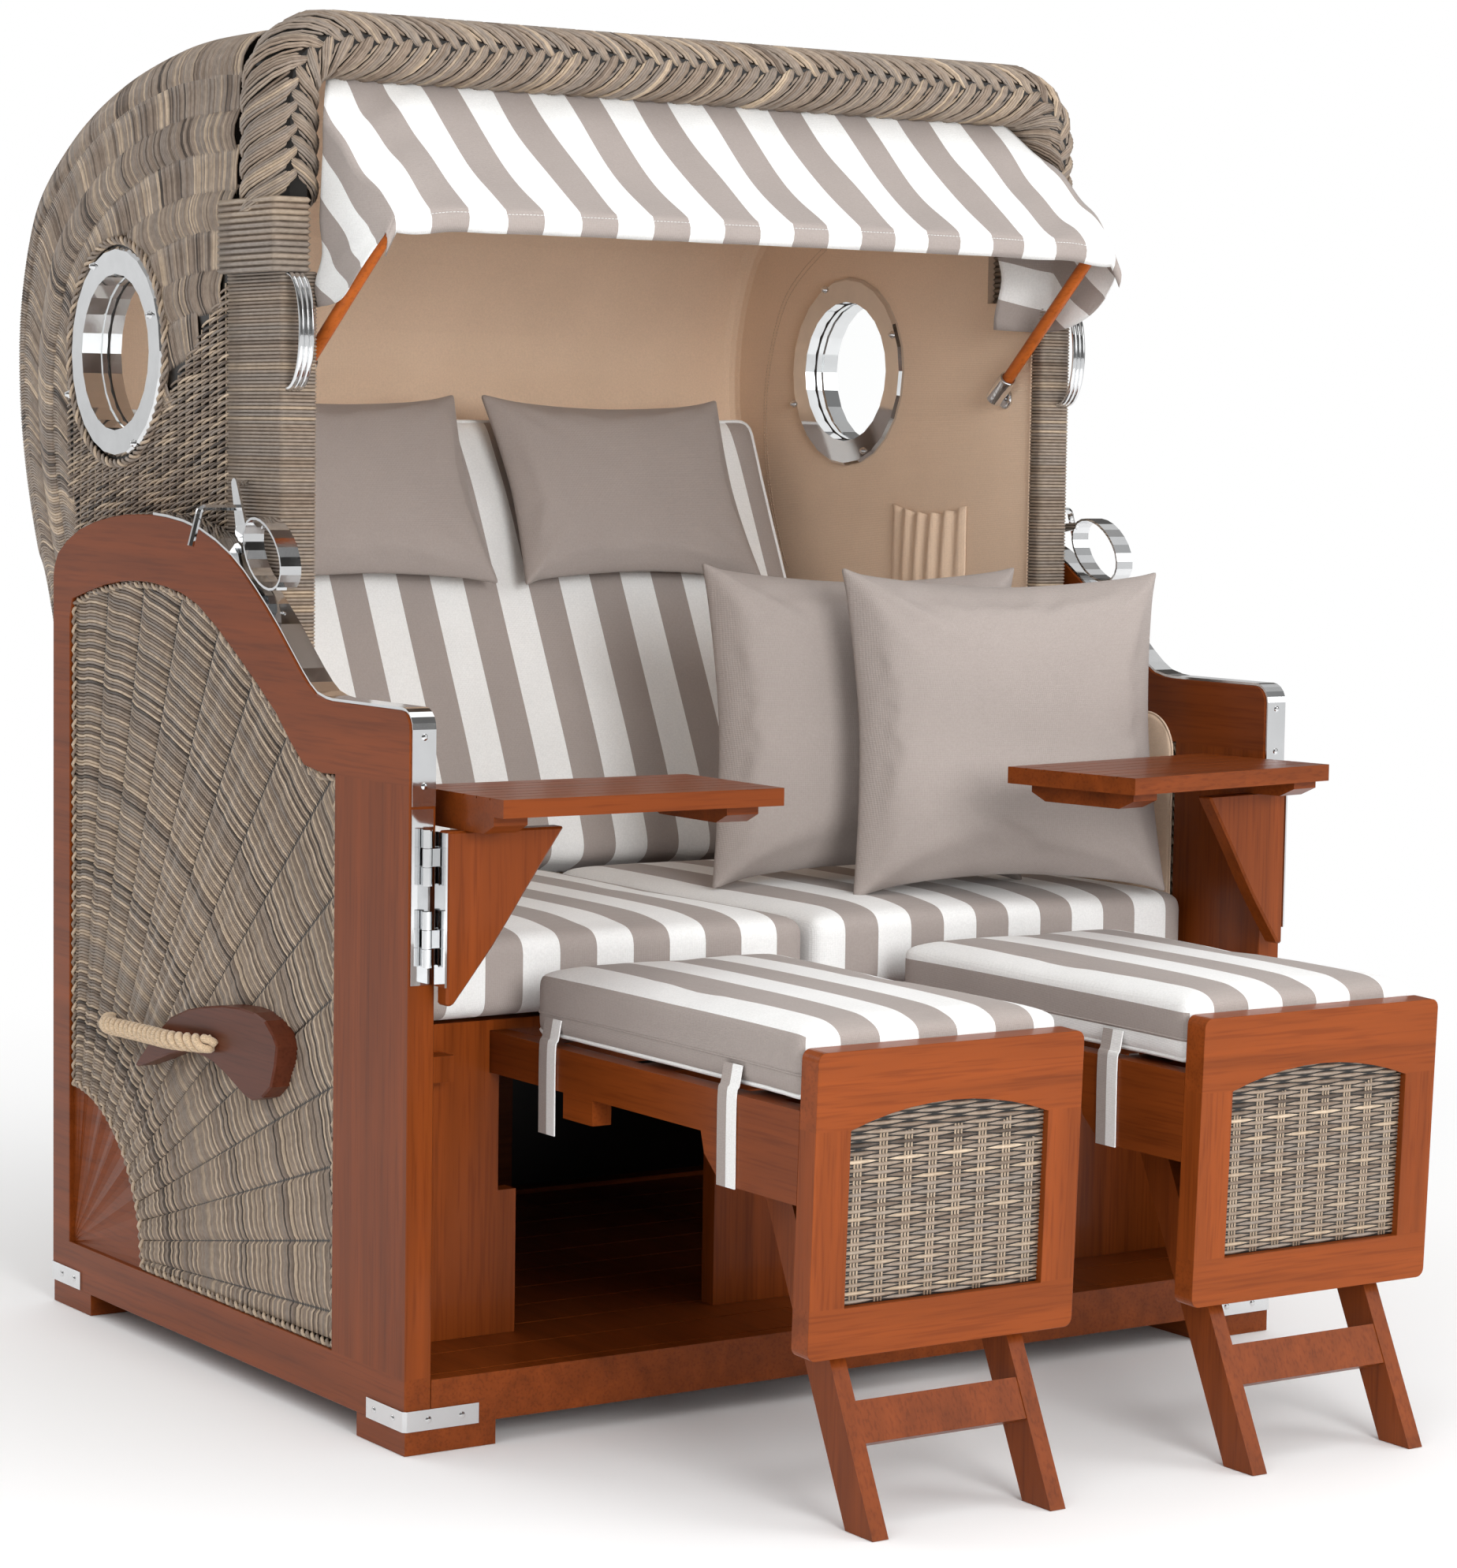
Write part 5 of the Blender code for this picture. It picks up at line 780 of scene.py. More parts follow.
def twisted_line(line, outward, radius, strand, pitch, plies=2, closed=False, sides=4, tones=None):
    """Plies twisted round a line: each is a helix about it, its phase shifted by its share of a turn."""
    run = np.concatenate([[0], np.cumsum(np.linalg.norm(np.diff(line, axis=0), axis=1))])
    along = unit(np.gradient(line, axis=0))
    outward = np.broadcast_to(np.asarray(outward, float), line.shape)
    across = unit(np.cross(along, outward))
    lift = np.cross(across, along)
    turns = round(run[-1] / pitch) if closed else run[-1] / pitch
    phase = 2 * np.pi * (run / run[-1] * turns)[None, :] + 2 * np.pi * np.arange(plies)[:, None] / plies
    paths = (line[None] + radius * (np.cos(phase)[..., None] * across + np.sin(phase)[..., None] * lift))
    facing = np.cos(phase)[..., None] * across + np.sin(phase)[..., None] * lift
    if closed:
        paths, facing = paths[:, :-1], facing[:, :-1]
    tones = np.linspace(0.3, 0.8, plies) if tones is None else tones
    return strands(paths, strand, strand, facing, tones, sides=sides, closed=closed)


def ring_line(radius, x, count=220):
    """A circle round the porthole on the hood's side."""
    angle = np.linspace(0, 2 * np.pi, count)
    way = np.stack([np.cos(angle), np.sin(angle)], 1)
    return np.concatenate([np.full((count, 1), x), PORTHOLE + radius * way], 1)


class WEAVE_OT_hood(bpy.types.Operator):
    """Weaves the hood's sides, edges, roof and back"""
    bl_idname = "beach_chair.hood"
    bl_label = "Hood weaving"

    def execute(self, context):
        shade_behind_weave("hood_shell")
        flat = joined(hood_bands(), hood_edge())
        basket = hood_basket()
        for side, sign in SIDES:
            make_piece(f"{side}_hood_bands", sided(flat, sign), weave(), "hood")
            make_piece(f"{side}_hood_basket", sided(basket, sign), weave(), "hood")
        make_piece("hood_back_weave", hood_back(), weave(), "hood")
        return {"FINISHED"}


class WEAVE_OT_rim(bpy.types.Operator):
    """Plaits the rim and winds strands round posts and collars"""
    bl_idname = "beach_chair.rim"
    bl_label = "Rim, posts and collars"

    def execute(self, context):
        shade_behind_weave("hood_rim")
        make_piece("rim_plait", rim_plait(), weave(), "hood")
        for side, sign in SIDES:
            post = wrapped_post(0.617, 1.300, 0.0042, 0.3890, 0.5275, 0.4100, 0.5350, 0.5796, 0.0044, 51)
            collar = wrapped_post(1.300, 1.386, 0.0072, 0.3805, 0.5200, 0.5200, 0.5500, 0.5950, 0.0075, 52)
            make_piece(f"{side}_post_winding", sided(joined(post, collar), sign), weave(), "hood")
            round_ring = ring_line(0.1385, HOOD_HALF + 0.0045)
            ring = twisted_line(round_ring, (1, 0, 0), 0.0036, 0.0048, 0.036, 3, True)
            make_piece(f"{side}_porthole_braid", sided(ring, sign), weave(), "hood")
        return {"FINISHED"}


# The base's weaving


def opening_line(inset=0.0, count=500):
    """Outline of the opening in a side frame, in y and z, drawn in by the inset towards its middle."""
    hump = np.stack([HUMP_SHARES[:, 0] * BASE_DEPTH, 0.737 + HUMP_SHARES[:, 1] * 0.196], 1)
    hump = smooth_line(np.concatenate([[[0.17, 0.737]], hump]))
    quarter = np.radians(np.linspace(90, 180, 20))
    fan = FAN_CORNER + FAN_RADIUS * np.stack([np.cos(quarter), np.sin(quarter)], 1)
    line = np.concatenate([[[0.17, 0.085]], hump, [[0.875, 0.895]], fan, [[0.17, 0.085]]])
    line = evenly(line, count)
    along = unit(np.roll(line, -1, 0) - np.roll(line, 1, 0))
    return line + inset * np.stack([along[:, 1], -along[:, 0]], 1)


def panel_reach(angles):
    """How far the opening reaches from the fan's corner at each angle, measured up from the front."""
    line = opening_line(count=2000)
    away = line - FAN_CORNER
    far = np.linalg.norm(away, axis=1)
    angle = np.arctan2(away[:, 1], -away[:, 0])
    outer = far > FAN_RADIUS + 0.01
    order = np.argsort(angle[outer])
    return np.interp(angles, angle[outer][order], far[outer][order])


def sunburst():
    """Arcs about the fan's corner: every row bulges out in the wide bays between the ribs and in the narrow
    ribs, and dives between bay and rib. Points stand at the same shares of every bay and rib."""
    pitch = sizes().strand
    radii = np.arange(FAN_RADIUS + pitch, 1.0, pitch)
    fine = np.linspace(0, np.pi / 2, 721)
    reach = panel_reach(fine) + 0.004
    inside = reach[None] > radii[:, None]
    some = inside.any(axis=1)
    radii, inside = radii[some], inside[some]
    first = fine[inside.argmax(axis=1)]
    last = fine[inside.shape[1] - 1 - inside[:, ::-1].argmax(axis=1)]
    long = last - first > 0.03
    radii, first, last = radii[long], first[long], last[long]
    ribs, wide = 13.5, 0.72
    shares = np.array([0.0, 0.10, 0.27, 0.45, 0.63, 0.79, 0.92])
    phase = (np.arange(14)[:, None] + shares).ravel() - 0.5
    phase = phase[(phase >= 0) & (phase <= ribs)]
    order = np.arange(len(phase)) * 1e-6
    angle = np.clip(phase / ribs * np.pi / 2, first[:, None], last[:, None]) + order
    phase = angle / (np.pi / 2) * ribs + 0.5
    part = phase - np.floor(phase)
    in_rib = arch((part - wide) / (1 - wide), 0.8) * 0.0052
    bay = np.where(part < wide, arch(part / wide, 0.7) * 0.0072, in_rib)
    drift = 0.9 * np.sin(np.pi * np.clip(part / wide, 0, 1)) * pitch
    steep = np.where(part > wide, (part - wide) / (1 - wide) - 0.5, 0.5 - part / wide)
    radius = radii[:, None] + drift + 1.1 * pitch * steep
    x = PANEL_X + 0.0056 + bay
    y = FAN_CORNER[0] - radius * np.cos(angle)
    z = FAN_CORNER[1] + radius * np.sin(angle)
    chooser = np.random.default_rng(7)
    tones = np.clip(np.where(np.arange(len(radii)) % 3 == 0, 0.88, 0.36)
                    + chooser.normal(0, 0.2, len(radii)), 0, 1)
    front = strands(np.stack([x, y, z], -1), pitch * 1.10, 0.0046, (1, 0, 0), tones)
    some = slice(None, None, 3)
    behind = np.stack([2 * PANEL_X - x[some] + 0.003, y[some], z[some]], -1)[:, ::2]
    back = strands(behind, pitch * 3.1, 0.0036, (-1, 0, 0), tones[some])
    return joined(front, back)


def flat_weave(half, z_low, z_high, face, depth, pitch, stakes, group, seed):
    """Rows across a flat opening about x = 0: each row waves in front of and behind groups of stakes, its
    neighbour opposite. half gives the opening's half width at each level, and the face looks along -y."""
    levels = np.arange(z_low + pitch / 2, z_high, pitch)
    wide = half(levels)
    levels, wide = levels[wide > stakes / 2], wide[wide > stakes / 2]
    most = wide.max()
    waves = round(2 * most / stakes)
    at = np.linspace(-most, most, waves * 4 + 1)
    x = np.clip(at, -wide[:, None], wide[:, None]) + np.arange(len(at)) * 1e-6
    sway = np.sin(np.pi * (x + most) / (2 * most) * waves)
    turned = np.where(np.arange(len(levels)) % 2 == 0, 1, -1)[:, None]
    y = face - depth * (1.0 + sway * turned)
    paths = np.stack([x, y, np.broadcast_to(levels[:, None], y.shape)], -1)
    tones = tone_blocks(np.arange(len(levels)), 2, seed, 0.2, 0.95)
    rows = strands(paths, pitch * 1.06, 0.0038, (0, -1, 0), tones)
    centres = -most + (np.arange(waves) + 0.5) * 2 * most / waves
    stand = (centres[:, None] + (np.arange(group) - (group - 1) / 2) * 0.0040).ravel()
    arched = wide.min() < most
    top = np.interp(np.abs(stand), np.sort(wide), levels[np.argsort(wide)][::-1]) if arched else z_high
    level = z_low + (np.broadcast_to(top, stand.shape)[:, None] - z_low) * np.linspace(0, 1, 5)
    across = np.broadcast_to(stand[:, None], level.shape)
    upright = np.stack([across, np.full_like(level, face - depth), level], -1)
    posts = strands(upright, 0.0038, 0.0040, (0, -1, 0), 0.75)
    return joined(rows, posts)


class WEAVE_OT_panels(bpy.types.Operator):
    """Weaves the side panels with a sunburst and a twisted border, the rear panel and the footrests' arches"""
    bl_idname = "beach_chair.panels"
    bl_label = "Side and rear weaving"

    def execute(self, context):
        woven = sunburst()
        border = opening_line(0.0045, 700)
        line = np.concatenate([np.full((len(border), 1), PANEL_X + 0.0105), border], 1)
        cord = twisted_line(line, (1, 0, 0), 0.0030, 0.0050, 0.024, 2)
        inner = line * [1, 1, 1] - [0.021, 0, 0]
        cord_in = twisted_line(inner, (-1, 0, 0), 0.0030, 0.0050, 0.024, 2)
        for side, sign in SIDES:
            shade_behind_weave(f"{side}_side_weave")
            make_piece(f"{side}_sunburst", sided(woven, sign), weave(), "base")
            make_piece(f"{side}_panel_border", sided(joined(cord, cord_in), sign), weave(), "base")
        low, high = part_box("rear_weave")
        face = high[1] - FRONT_OF_BASE
        shade_behind_weave("rear_weave")
        points, quads, tones = flat_weave(lambda level: np.full(len(level), high[0] - 0.004), low[2] + 0.003,
                                          high[2] - 0.003, 0.0008 - face, 0.0012, 0.0048, 0.034, 2, 62)
        make_piece("rear_weaving", (points * [-1, -1, 1], quads, tones), weave(), "base")
        self.footrests()
        return {"FINISHED"}

    def footrests(self):
        """Weaves the arched openings of the two leaned footrest panels."""
        def half(level):
            return 0.1275 * np.sqrt(np.clip(1 - (level - 0.417) / 0.0215, 0, 1))
        points, quads, tones = flat_weave(half, 0.2325, 0.4385, 0.0, 0.0014, 0.0043, 0.0319, 3, 71)
        lean = math.radians(2.1)
        turn = np.array(Matrix.Rotation(lean, 3, "X"))
        for side, sign in SIDES:
            low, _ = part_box(f"{side}_footrest_weave")
            pivot = np.array([0, 0, 0.50])
            flat = (points - pivot) @ turn.T + pivot
            flat[:, 1] += low[1] - FRONT_OF_BASE - flat[:, 1].min() - 0.0026
            shade_behind_weave(f"{side}_footrest_weave")
            make_piece(f"{side}_footrest_weaving", (flat + [sign * FOOTREST_X, 0, 0], quads, tones), weave(),
                       f"{side}_footrest")


class WEAVE_OT_rope(bpy.types.Operator):
    """Lays three strands of fibre into each rope handle"""
    bl_idname = "beach_chair.rope"
    bl_label = "Rope handles"

    def execute(self, context):
        face = PANEL_X + 0.0083
        rear, front = np.array([face, 0.754, 0.384]), np.array([face + 0.0303, 0.423, 0.402])
        shares = np.array([0.15, 0.35, 0.6, 0.8])[:, None]
        bowed = rear + (front - rear) * shares + [0.028, 0, 0]
        run = np.concatenate([[rear + [0.010, 0, 0]], bowed, [front + [0.010, 0, 0]]])
        whole = np.concatenate([[rear + [0.001, 0, 0]], smooth_line(run), [front + [0.001, 0, 0]]])
        line = evenly(whole, 150)
        up = np.cross(unit(np.gradient(line, axis=0)), (0, 0, 1))
        laid = twisted_line(line, up, 0.0064, 0.0102, 0.048, 3, sides=8)
        for side, sign in SIDES:
            make_piece(f"{side}_rope", sided(laid, sign), paint_of("laid_rope", rope_paint), "base",
                       [f"{side}_rope_handle"])
        return {"FINISHED"}


# Wood, metal and glass


class WOOD_OT_boards(bpy.types.Operator):
    """Gives every board its mahogany with the grain along it"""
    bl_idname = "beach_chair.boards"
    bl_label = "Boards"

    def execute(self, context):
        shift = FRONT_OF_BASE
        for side, _ in SIDES:
            frames = paint_of("side_boards", wood_paint, "y",
                              upright=[(0.085, 0.7365, 2), (-1.0, 0.171 + shift, 1)])
            repaint(f"{side}_side_frame", frames)
            repaint(f"{side}_handle_holder", paint_of("holder_wood", wood_paint, "y", (0.105, 0.028, 0.013)))
            repaint(f"{side}_table_top", paint_of("cross_boards", wood_paint, "x"))
            repaint(f"{side}_table_bracket", paint_of("upright_boards", wood_paint, "z"))
            repaint(f"{side}_footrest_frame", paint_of("long_boards", wood_paint, "y"))
            # The front-facing footrest panels take the mahogany 1.25 times lighter: painted light on the
            # boards that face the front.
            front_lit_wood = shade(colours().wood, 1.25)
            panel = paint_of("panel_boards", wood_paint, "x", front_lit_wood, upright=[(0.232, 0.417, 2)])
            repaint(f"{side}_footrest_panel", panel)
            repaint(f"{side}_leg", paint_of("upright_boards", wood_paint, "z"))
        repaint("floor_deck", paint_of("long_boards", wood_paint, "y"))
        # The seat box takes the mahogany 1.15 times lighter: painted light on its front-facing boards.
        repaint("seat_box", paint_of("box_boards", wood_paint, "z", shade(colours().wood, 1.15)))
        repaint("rear_frame", paint_of("cross_boards", wood_paint, "x"))
        return {"FINISHED"}


class METAL_OT_fittings(bpy.types.Operator):
    """Polishes the fittings and adds bolts, screws, gaskets and corner brackets"""
    bl_idname = "beach_chair.fittings"
    bl_label = "Metal fittings"

    def execute(self, context):
        for node in NODES:
            metal = ("trim", "hinge", "pivot", "porthole_ring", "grab_handle", "tilt_")
            if any(word in node for word in metal):
                repaint(node, chrome())
            if "pane" in node and "panel" not in node:
                repaint(node, paint_of("clear_glass", glass_paint))
        outer = np.array([(0.892, 1.320), (0.728, 1.256), (0.772, 1.099), (0.965, 1.160)])
        inner = np.array([(0.881, 1.327), (0.718, 1.262), (0.954, 1.167), (0.782, 1.102)])
        button = [(0, 0.0062), (0.0022, 0.0058), (0.0036, 0.0040), (0.0042, 0.0016), (0.0052, 0.0012),
                  (0.0056, -0.001)]
        screw = [(0, 0.0016), (0.0020, 0.0015), (0.0034, 0.0009), (0.0042, -0.0004)]
        for side, sign in SIDES:
            spots = np.concatenate([np.full((4, 1), HOOD_HALF + 0.007), outer], 1)
            caps = lathe(button, spots, (1, 0, 0))
            spots_in = np.concatenate([np.full((4, 1), LINING_X - 0.007), inner], 1)
            caps_in = lathe(button, spots_in, (-1, 0, 0))
            make_piece(f"{side}_porthole_bolts", sided(joined(caps, caps_in), sign), chrome(), "hood",
                       merge=True)
            self.handle(side, sign)
            self.trim_screws(side, sign, screw)
            gasket = ring_line(0.0964, 0.5480, 97)[:-1]
            inwards = unit(np.array([0.5480, *PORTHOLE]) - gasket)
            seal = strands([gasket], 0.0040, 0.0026, inwards, 0.0, closed=True)
            rubber = paint_of("gasket", weave_paint, 0.3)
            make_piece(f"{side}_porthole_gasket", sided(seal, sign), rubber, "hood")
            plates, heads = self.brackets(screw)
            brushed = paint_of("brushed_metal", metal_paint, 0.16)
            make_piece(f"{side}_corner_brackets", sided(plates, sign), brushed, "base",
                       smooth=False)
            make_piece(f"{side}_bracket_screws", sided(heads, sign), brushed, "base",
                       merge=True)
        return {"FINISHED"}

    def handle(self, side, sign):
        """The grab handle: three round ridges side by side along a half oval bow."""
        low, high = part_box(f"{side}_grab_handle")
        half, middle = (high[2] - low[2]) / 2 - 0.0012, (high[2] + low[2]) / 2
        face, reach = high[1] - FRONT_OF_BASE, high[1] - low[1] - 0.0030
        centre = (abs(low[0]) + abs(high[0])) / 2
        turn = np.linspace(0, np.pi, 41)
        bowed = face - reach * np.sin(turn) ** 0.8
        line = np.stack([np.full(41, centre), bowed, middle + half * np.cos(turn)], 1)
        outward = unit(np.stack([0 * turn, -np.sin(turn) / reach, np.cos(turn) / half], 1))
        ridges = [strands([line + [shift, 0, 0]], 0.0074, 0.0060, outward, 0.5, sides=10)
                  for shift in (-0.0064, 0, 0.0064)]
        make_piece(f"{side}_ridged_handle", sided(joined(*ridges), sign), chrome(), "hood",
                   [f"{side}_grab_handle"])

    def trim_screws(self, side, sign, screw):
        """Screws on the trim: two on its front end and one on the slope."""
        spots = np.array([(0.6085, -0.0034, 0.790), (0.6085, -0.0034, 0.737), (0.6085, 0.327, 0.9085)])
        ways = np.array([(0, -1, 0), (0, -1, 0), (0, -0.84, 0.54)])
        heads = sided(lathe(screw, spots, ways), sign)
        make_piece(f"{side}_trim_screws", heads, chrome(), "base", merge=True)

    def brackets(self, screw):
        """Angle plates round the two lower corners of a side with two screws a leg."""
        half, thin = 0.625 + 0.0009, 0.0018
        front = np.array([(0.532, -0.0009), (0.60, -0.0009), (0.6225, -0.0009), (half, 0.0020), (half, 0.030),
                          (half, 0.084)])
        rear = np.array([(half, 0.839), (half, 0.895), (half, 0.9235), (0.6235, 0.9259), (0.600, 0.9259),
                         (0.560, 0.9259)])
        meshes, spots, ways = [], [], []
        for plan, level in ((front, 0.0385), (rear, 0.0400)):
            path = np.concatenate([plan, np.full((len(plan), 1), level)], 1)
            tangent = unit(np.gradient(path, axis=0))
            out = np.stack([tangent[:, 1], -tangent[:, 0], np.zeros(len(path))], 1)
            meshes.append(strands([path], 0.023, thin, out, flat=True))
            for where in (0.12, 0.36, 0.66, 0.90):
                line = evenly(path, 101)
                spot = line[int(where * 100)]
                end = -1.0 if spot[1] < 0.5 else 1.0
                way = np.array([1.0, 0, 0]) if spot[0] > 0.6250 else np.array([0, end, 0])
                spots.append(spot + way * 0.0010)
                ways.append(way)
        return joined(*meshes), lathe(screw, np.array(spots), np.array(ways))


# Soft goods


def lattice(cells):
    """The skin of a block of cells: points from -1 to 1, quads that face outwards, and each quad's side
    (0 and 1 for x, 2 and 3 for y, 4 and 5 for z)."""
    shape = tuple(n + 1 for n in cells)
    place = np.indices(shape)
    skin = np.zeros(shape, bool)
    for axis, n in enumerate(cells):
        skin |= (place[axis] == 0) | (place[axis] == n)
    index = np.full(shape, -1)
    index[skin] = np.arange(skin.sum())
    points = np.stack([place[axis][skin] / cells[axis] * 2 - 1 for axis in range(3)], 1)
    quads, side = [], []
    for axis in range(3):
        for end in (0, 1):
            face = index[(slice(None),) * axis + (-end,)]
            quad = np.stack([face[:-1, :-1], face[1:, :-1], face[1:, 1:], face[:-1, 1:]], -1).reshape(-1, 4)
            quads.append(quad if (end == 1) == (axis != 1) else quad[:, ::-1])
            side.append(np.full(len(quad), axis * 2 + end))
    return points, np.concatenate(quads), np.concatenate(side)


def box_cushion(points, half, radius, crown, pull, flat_below=True):
    """A boxed cushion: corners rounded by the radius, faces crowned, sides drawn in between corners."""
    at = points * half
    core = np.clip(at, -(half - radius), half - radius)
    at = core + radius * unit(at - core)
    thin = int(np.argmin(half))
    wide = [axis for axis in range(3) if axis != thin]
    u, v = points[:, wide[0]], points[:, wide[1]]
    dome = (1 - np.abs(u) ** 3) * (1 - np.abs(v) ** 3)
    lift = np.where(points[:, thin] > 0, crown, 0 if flat_below else -crown)
    at[:, thin] += dome * lift * np.abs(points[:, thin])
    at[:, wide[0]] *= 1 - pull * (1 - v**2)
    at[:, wide[1]] *= 1 - pull * (1 - u**2)
    return at


def knife_cushion(points, half, rim):
    """A pillow of two sheets: thickness falls to a thin rim, corners stay pointed and the sides draw in. Fine
    creases, a sine of the angle about each corner, fade away from it."""
    thin = int(np.argmin(half))
    wide = [axis for axis in range(3) if axis != thin]
    u, v = points[:, wide[0]], points[:, wide[1]]
    full = ((1 - np.abs(u) ** 2.4) * (1 - np.abs(v) ** 2.4)) ** 0.55
    at = points * half
    near, beside = 1 - np.abs(u), 1 - np.abs(v)
    far = np.hypot(near, beside)
    crease = np.sin(15 * np.arctan2(beside, near) + 2 * np.sign(u) + 3 * np.sign(v) + 1.5 * points[:, thin])
    crease = crease * 0.0016 * np.exp(-(far / 0.7) ** 2) * np.minimum(1, 5 * np.minimum(near, beside))
    at[:, thin] = points[:, thin] * (rim + (half[thin] - rim) * full + crease)
    at[:, wide[0]] = u * half[wide[0]] * (1 - 0.065 * (1 - np.abs(v) ** 1.6))
    at[:, wide[1]] = v * half[wide[1]] * (1 - 0.085 * (1 - np.abs(u) ** 1.6))
    return at


def stuff(piece, cap, pressure):
    """Cloth under pressure: the closed form swells for twenty frames, no point further than the cap, and the
    result is kept in the mesh."""
    rest = np.empty(len(piece.data.vertices) * 3)
    piece.data.vertices.foreach_get("co", rest)
    cloth = piece.modifiers.new("stuffing", "CLOTH")
    cloth.settings.quality = 5
    cloth.settings.mass = 0.22
    cloth.settings.tension_stiffness = 22
    cloth.settings.compression_stiffness = 14
    cloth.settings.shear_stiffness = 8
    cloth.settings.bending_stiffness = 0.25
    cloth.settings.use_pressure = True
    cloth.settings.uniform_pressure_force = pressure
    cloth.settings.effector_weights.gravity = 0
    cloth.collision_settings.use_collision = False
    scene = bpy.context.scene
    for step in range(1, 21):
        scene.frame_set(step)
    graph = bpy.context.evaluated_depsgraph_get()
    swollen = piece.evaluated_get(graph).data
    moved = np.empty(len(swollen.vertices) * 3)
    swollen.vertices.foreach_get("co", moved)
    piece.modifiers.clear()
    shift = (moved - rest).reshape(-1, 3)
    far = np.linalg.norm(shift, axis=1, keepdims=True)
    shift *= np.minimum(1, cap / np.maximum(far, 1e-9))
    piece.data.vertices.foreach_set("co", (rest.reshape(-1, 3) + shift).ravel())
    piece.data.update()
    scene.frame_set(1)


def read_points(piece):
    """A mesh's points as an array."""
    values = np.empty(len(piece.data.vertices) * 3)
    piece.data.vertices.foreach_get("co", values)
    return values.reshape(-1, 3)


def stuffed(name, form, cells, size, cap, places, paints, side_paint, **shape):
    """One cushion is made and stuffed at the origin, brought to its size, and then set in each of its places
    with its lean, yaw, body and CAD node. Gives the objects and the skin's grid."""
    points, quads, side = lattice(cells)
    half = np.asarray(size) / 2
    start = form(points, half - cap * 0.55, **shape)
    first = make_piece(name + "_form", (start - [0, FRONT_OF_BASE, 0], quads, None), paints[0], None)
    stuff(first, cap, sizes().swell)
    made = read_points(first)
    low, high = made.min(0), made.max(0)
    made = (made - (low + high) / 2) * (2 * half / (high - low))
    bpy.data.objects.remove(first)
    pieces = []
    for (label, place, lean, yaw, body, node), paint in zip(places, paints):
        turn = np.array(Matrix.Rotation(yaw, 3, "Z") @ Matrix.Rotation(-lean, 3, "X"))
        set_points = made @ turn.T + np.asarray(place)
        piece = make_piece(label, (set_points, quads, None), [paint, side_paint], body,
                           [node])
        on_side = np.isin(side, [0, 1] if form is box_cushion else [])
        piece.data.polygons.foreach_set("material_index", on_side.astype(np.int32))
        soften = piece.modifiers.new("smooth cloth", "SUBSURF")
        soften.levels = 1
        soften.render_levels = 1
        pieces.append(piece)
    return pieces, points, made


def edge_loop(points, made, thin, value, start=0.0):
    """The points along the outline of one face of a lattice, in order round it from the angle start."""
    others = [axis for axis in range(3) if axis != thin]
    on_face = np.abs(points[:, thin] - value) < 1e-9
    border = on_face & ((np.abs(points[:, others[0]]) > 1 - 1e-9) | (np.abs(points[:, others[1]]) > 1 - 1e-9))
    where = np.flatnonzero(border)
    u, v = points[where, others[0]], points[where, others[1]]
    order = np.argsort((np.arctan2(v, u) - start) % (2 * np.pi))
    return made[where[order]]


def piping(name, loop, place, lean, yaw, paint, body, radius, slot="striped_cloth", closed=True):
    """A round cord along a seam."""
    turn = np.array(Matrix.Rotation(yaw, 3, "Z") @ Matrix.Rotation(-lean, 3, "X"))
    line = loop @ turn.T + np.asarray(place)
    middle = line.mean(0)
    tube = strands([line], 2 * radius, 2 * radius, unit(line - middle), 0.5, sides=6, closed=closed)
    return make_piece(name, tube, paint, body)


def stitches(line, outward, step=0.0048, thread=0.0009):
    """Short threads one after another along a line: each covers two thirds of its step."""
    count = max(2, int(run_length(line) / step))
    middle = evenly(line, count)
    along = unit(np.gradient(middle, axis=0))
    reach = np.array([-0.34, 0.0, 0.34])[None, :, None] * step
    return strands(middle[:, None] + along[:, None] * reach, thread, thread, outward, 0.5)


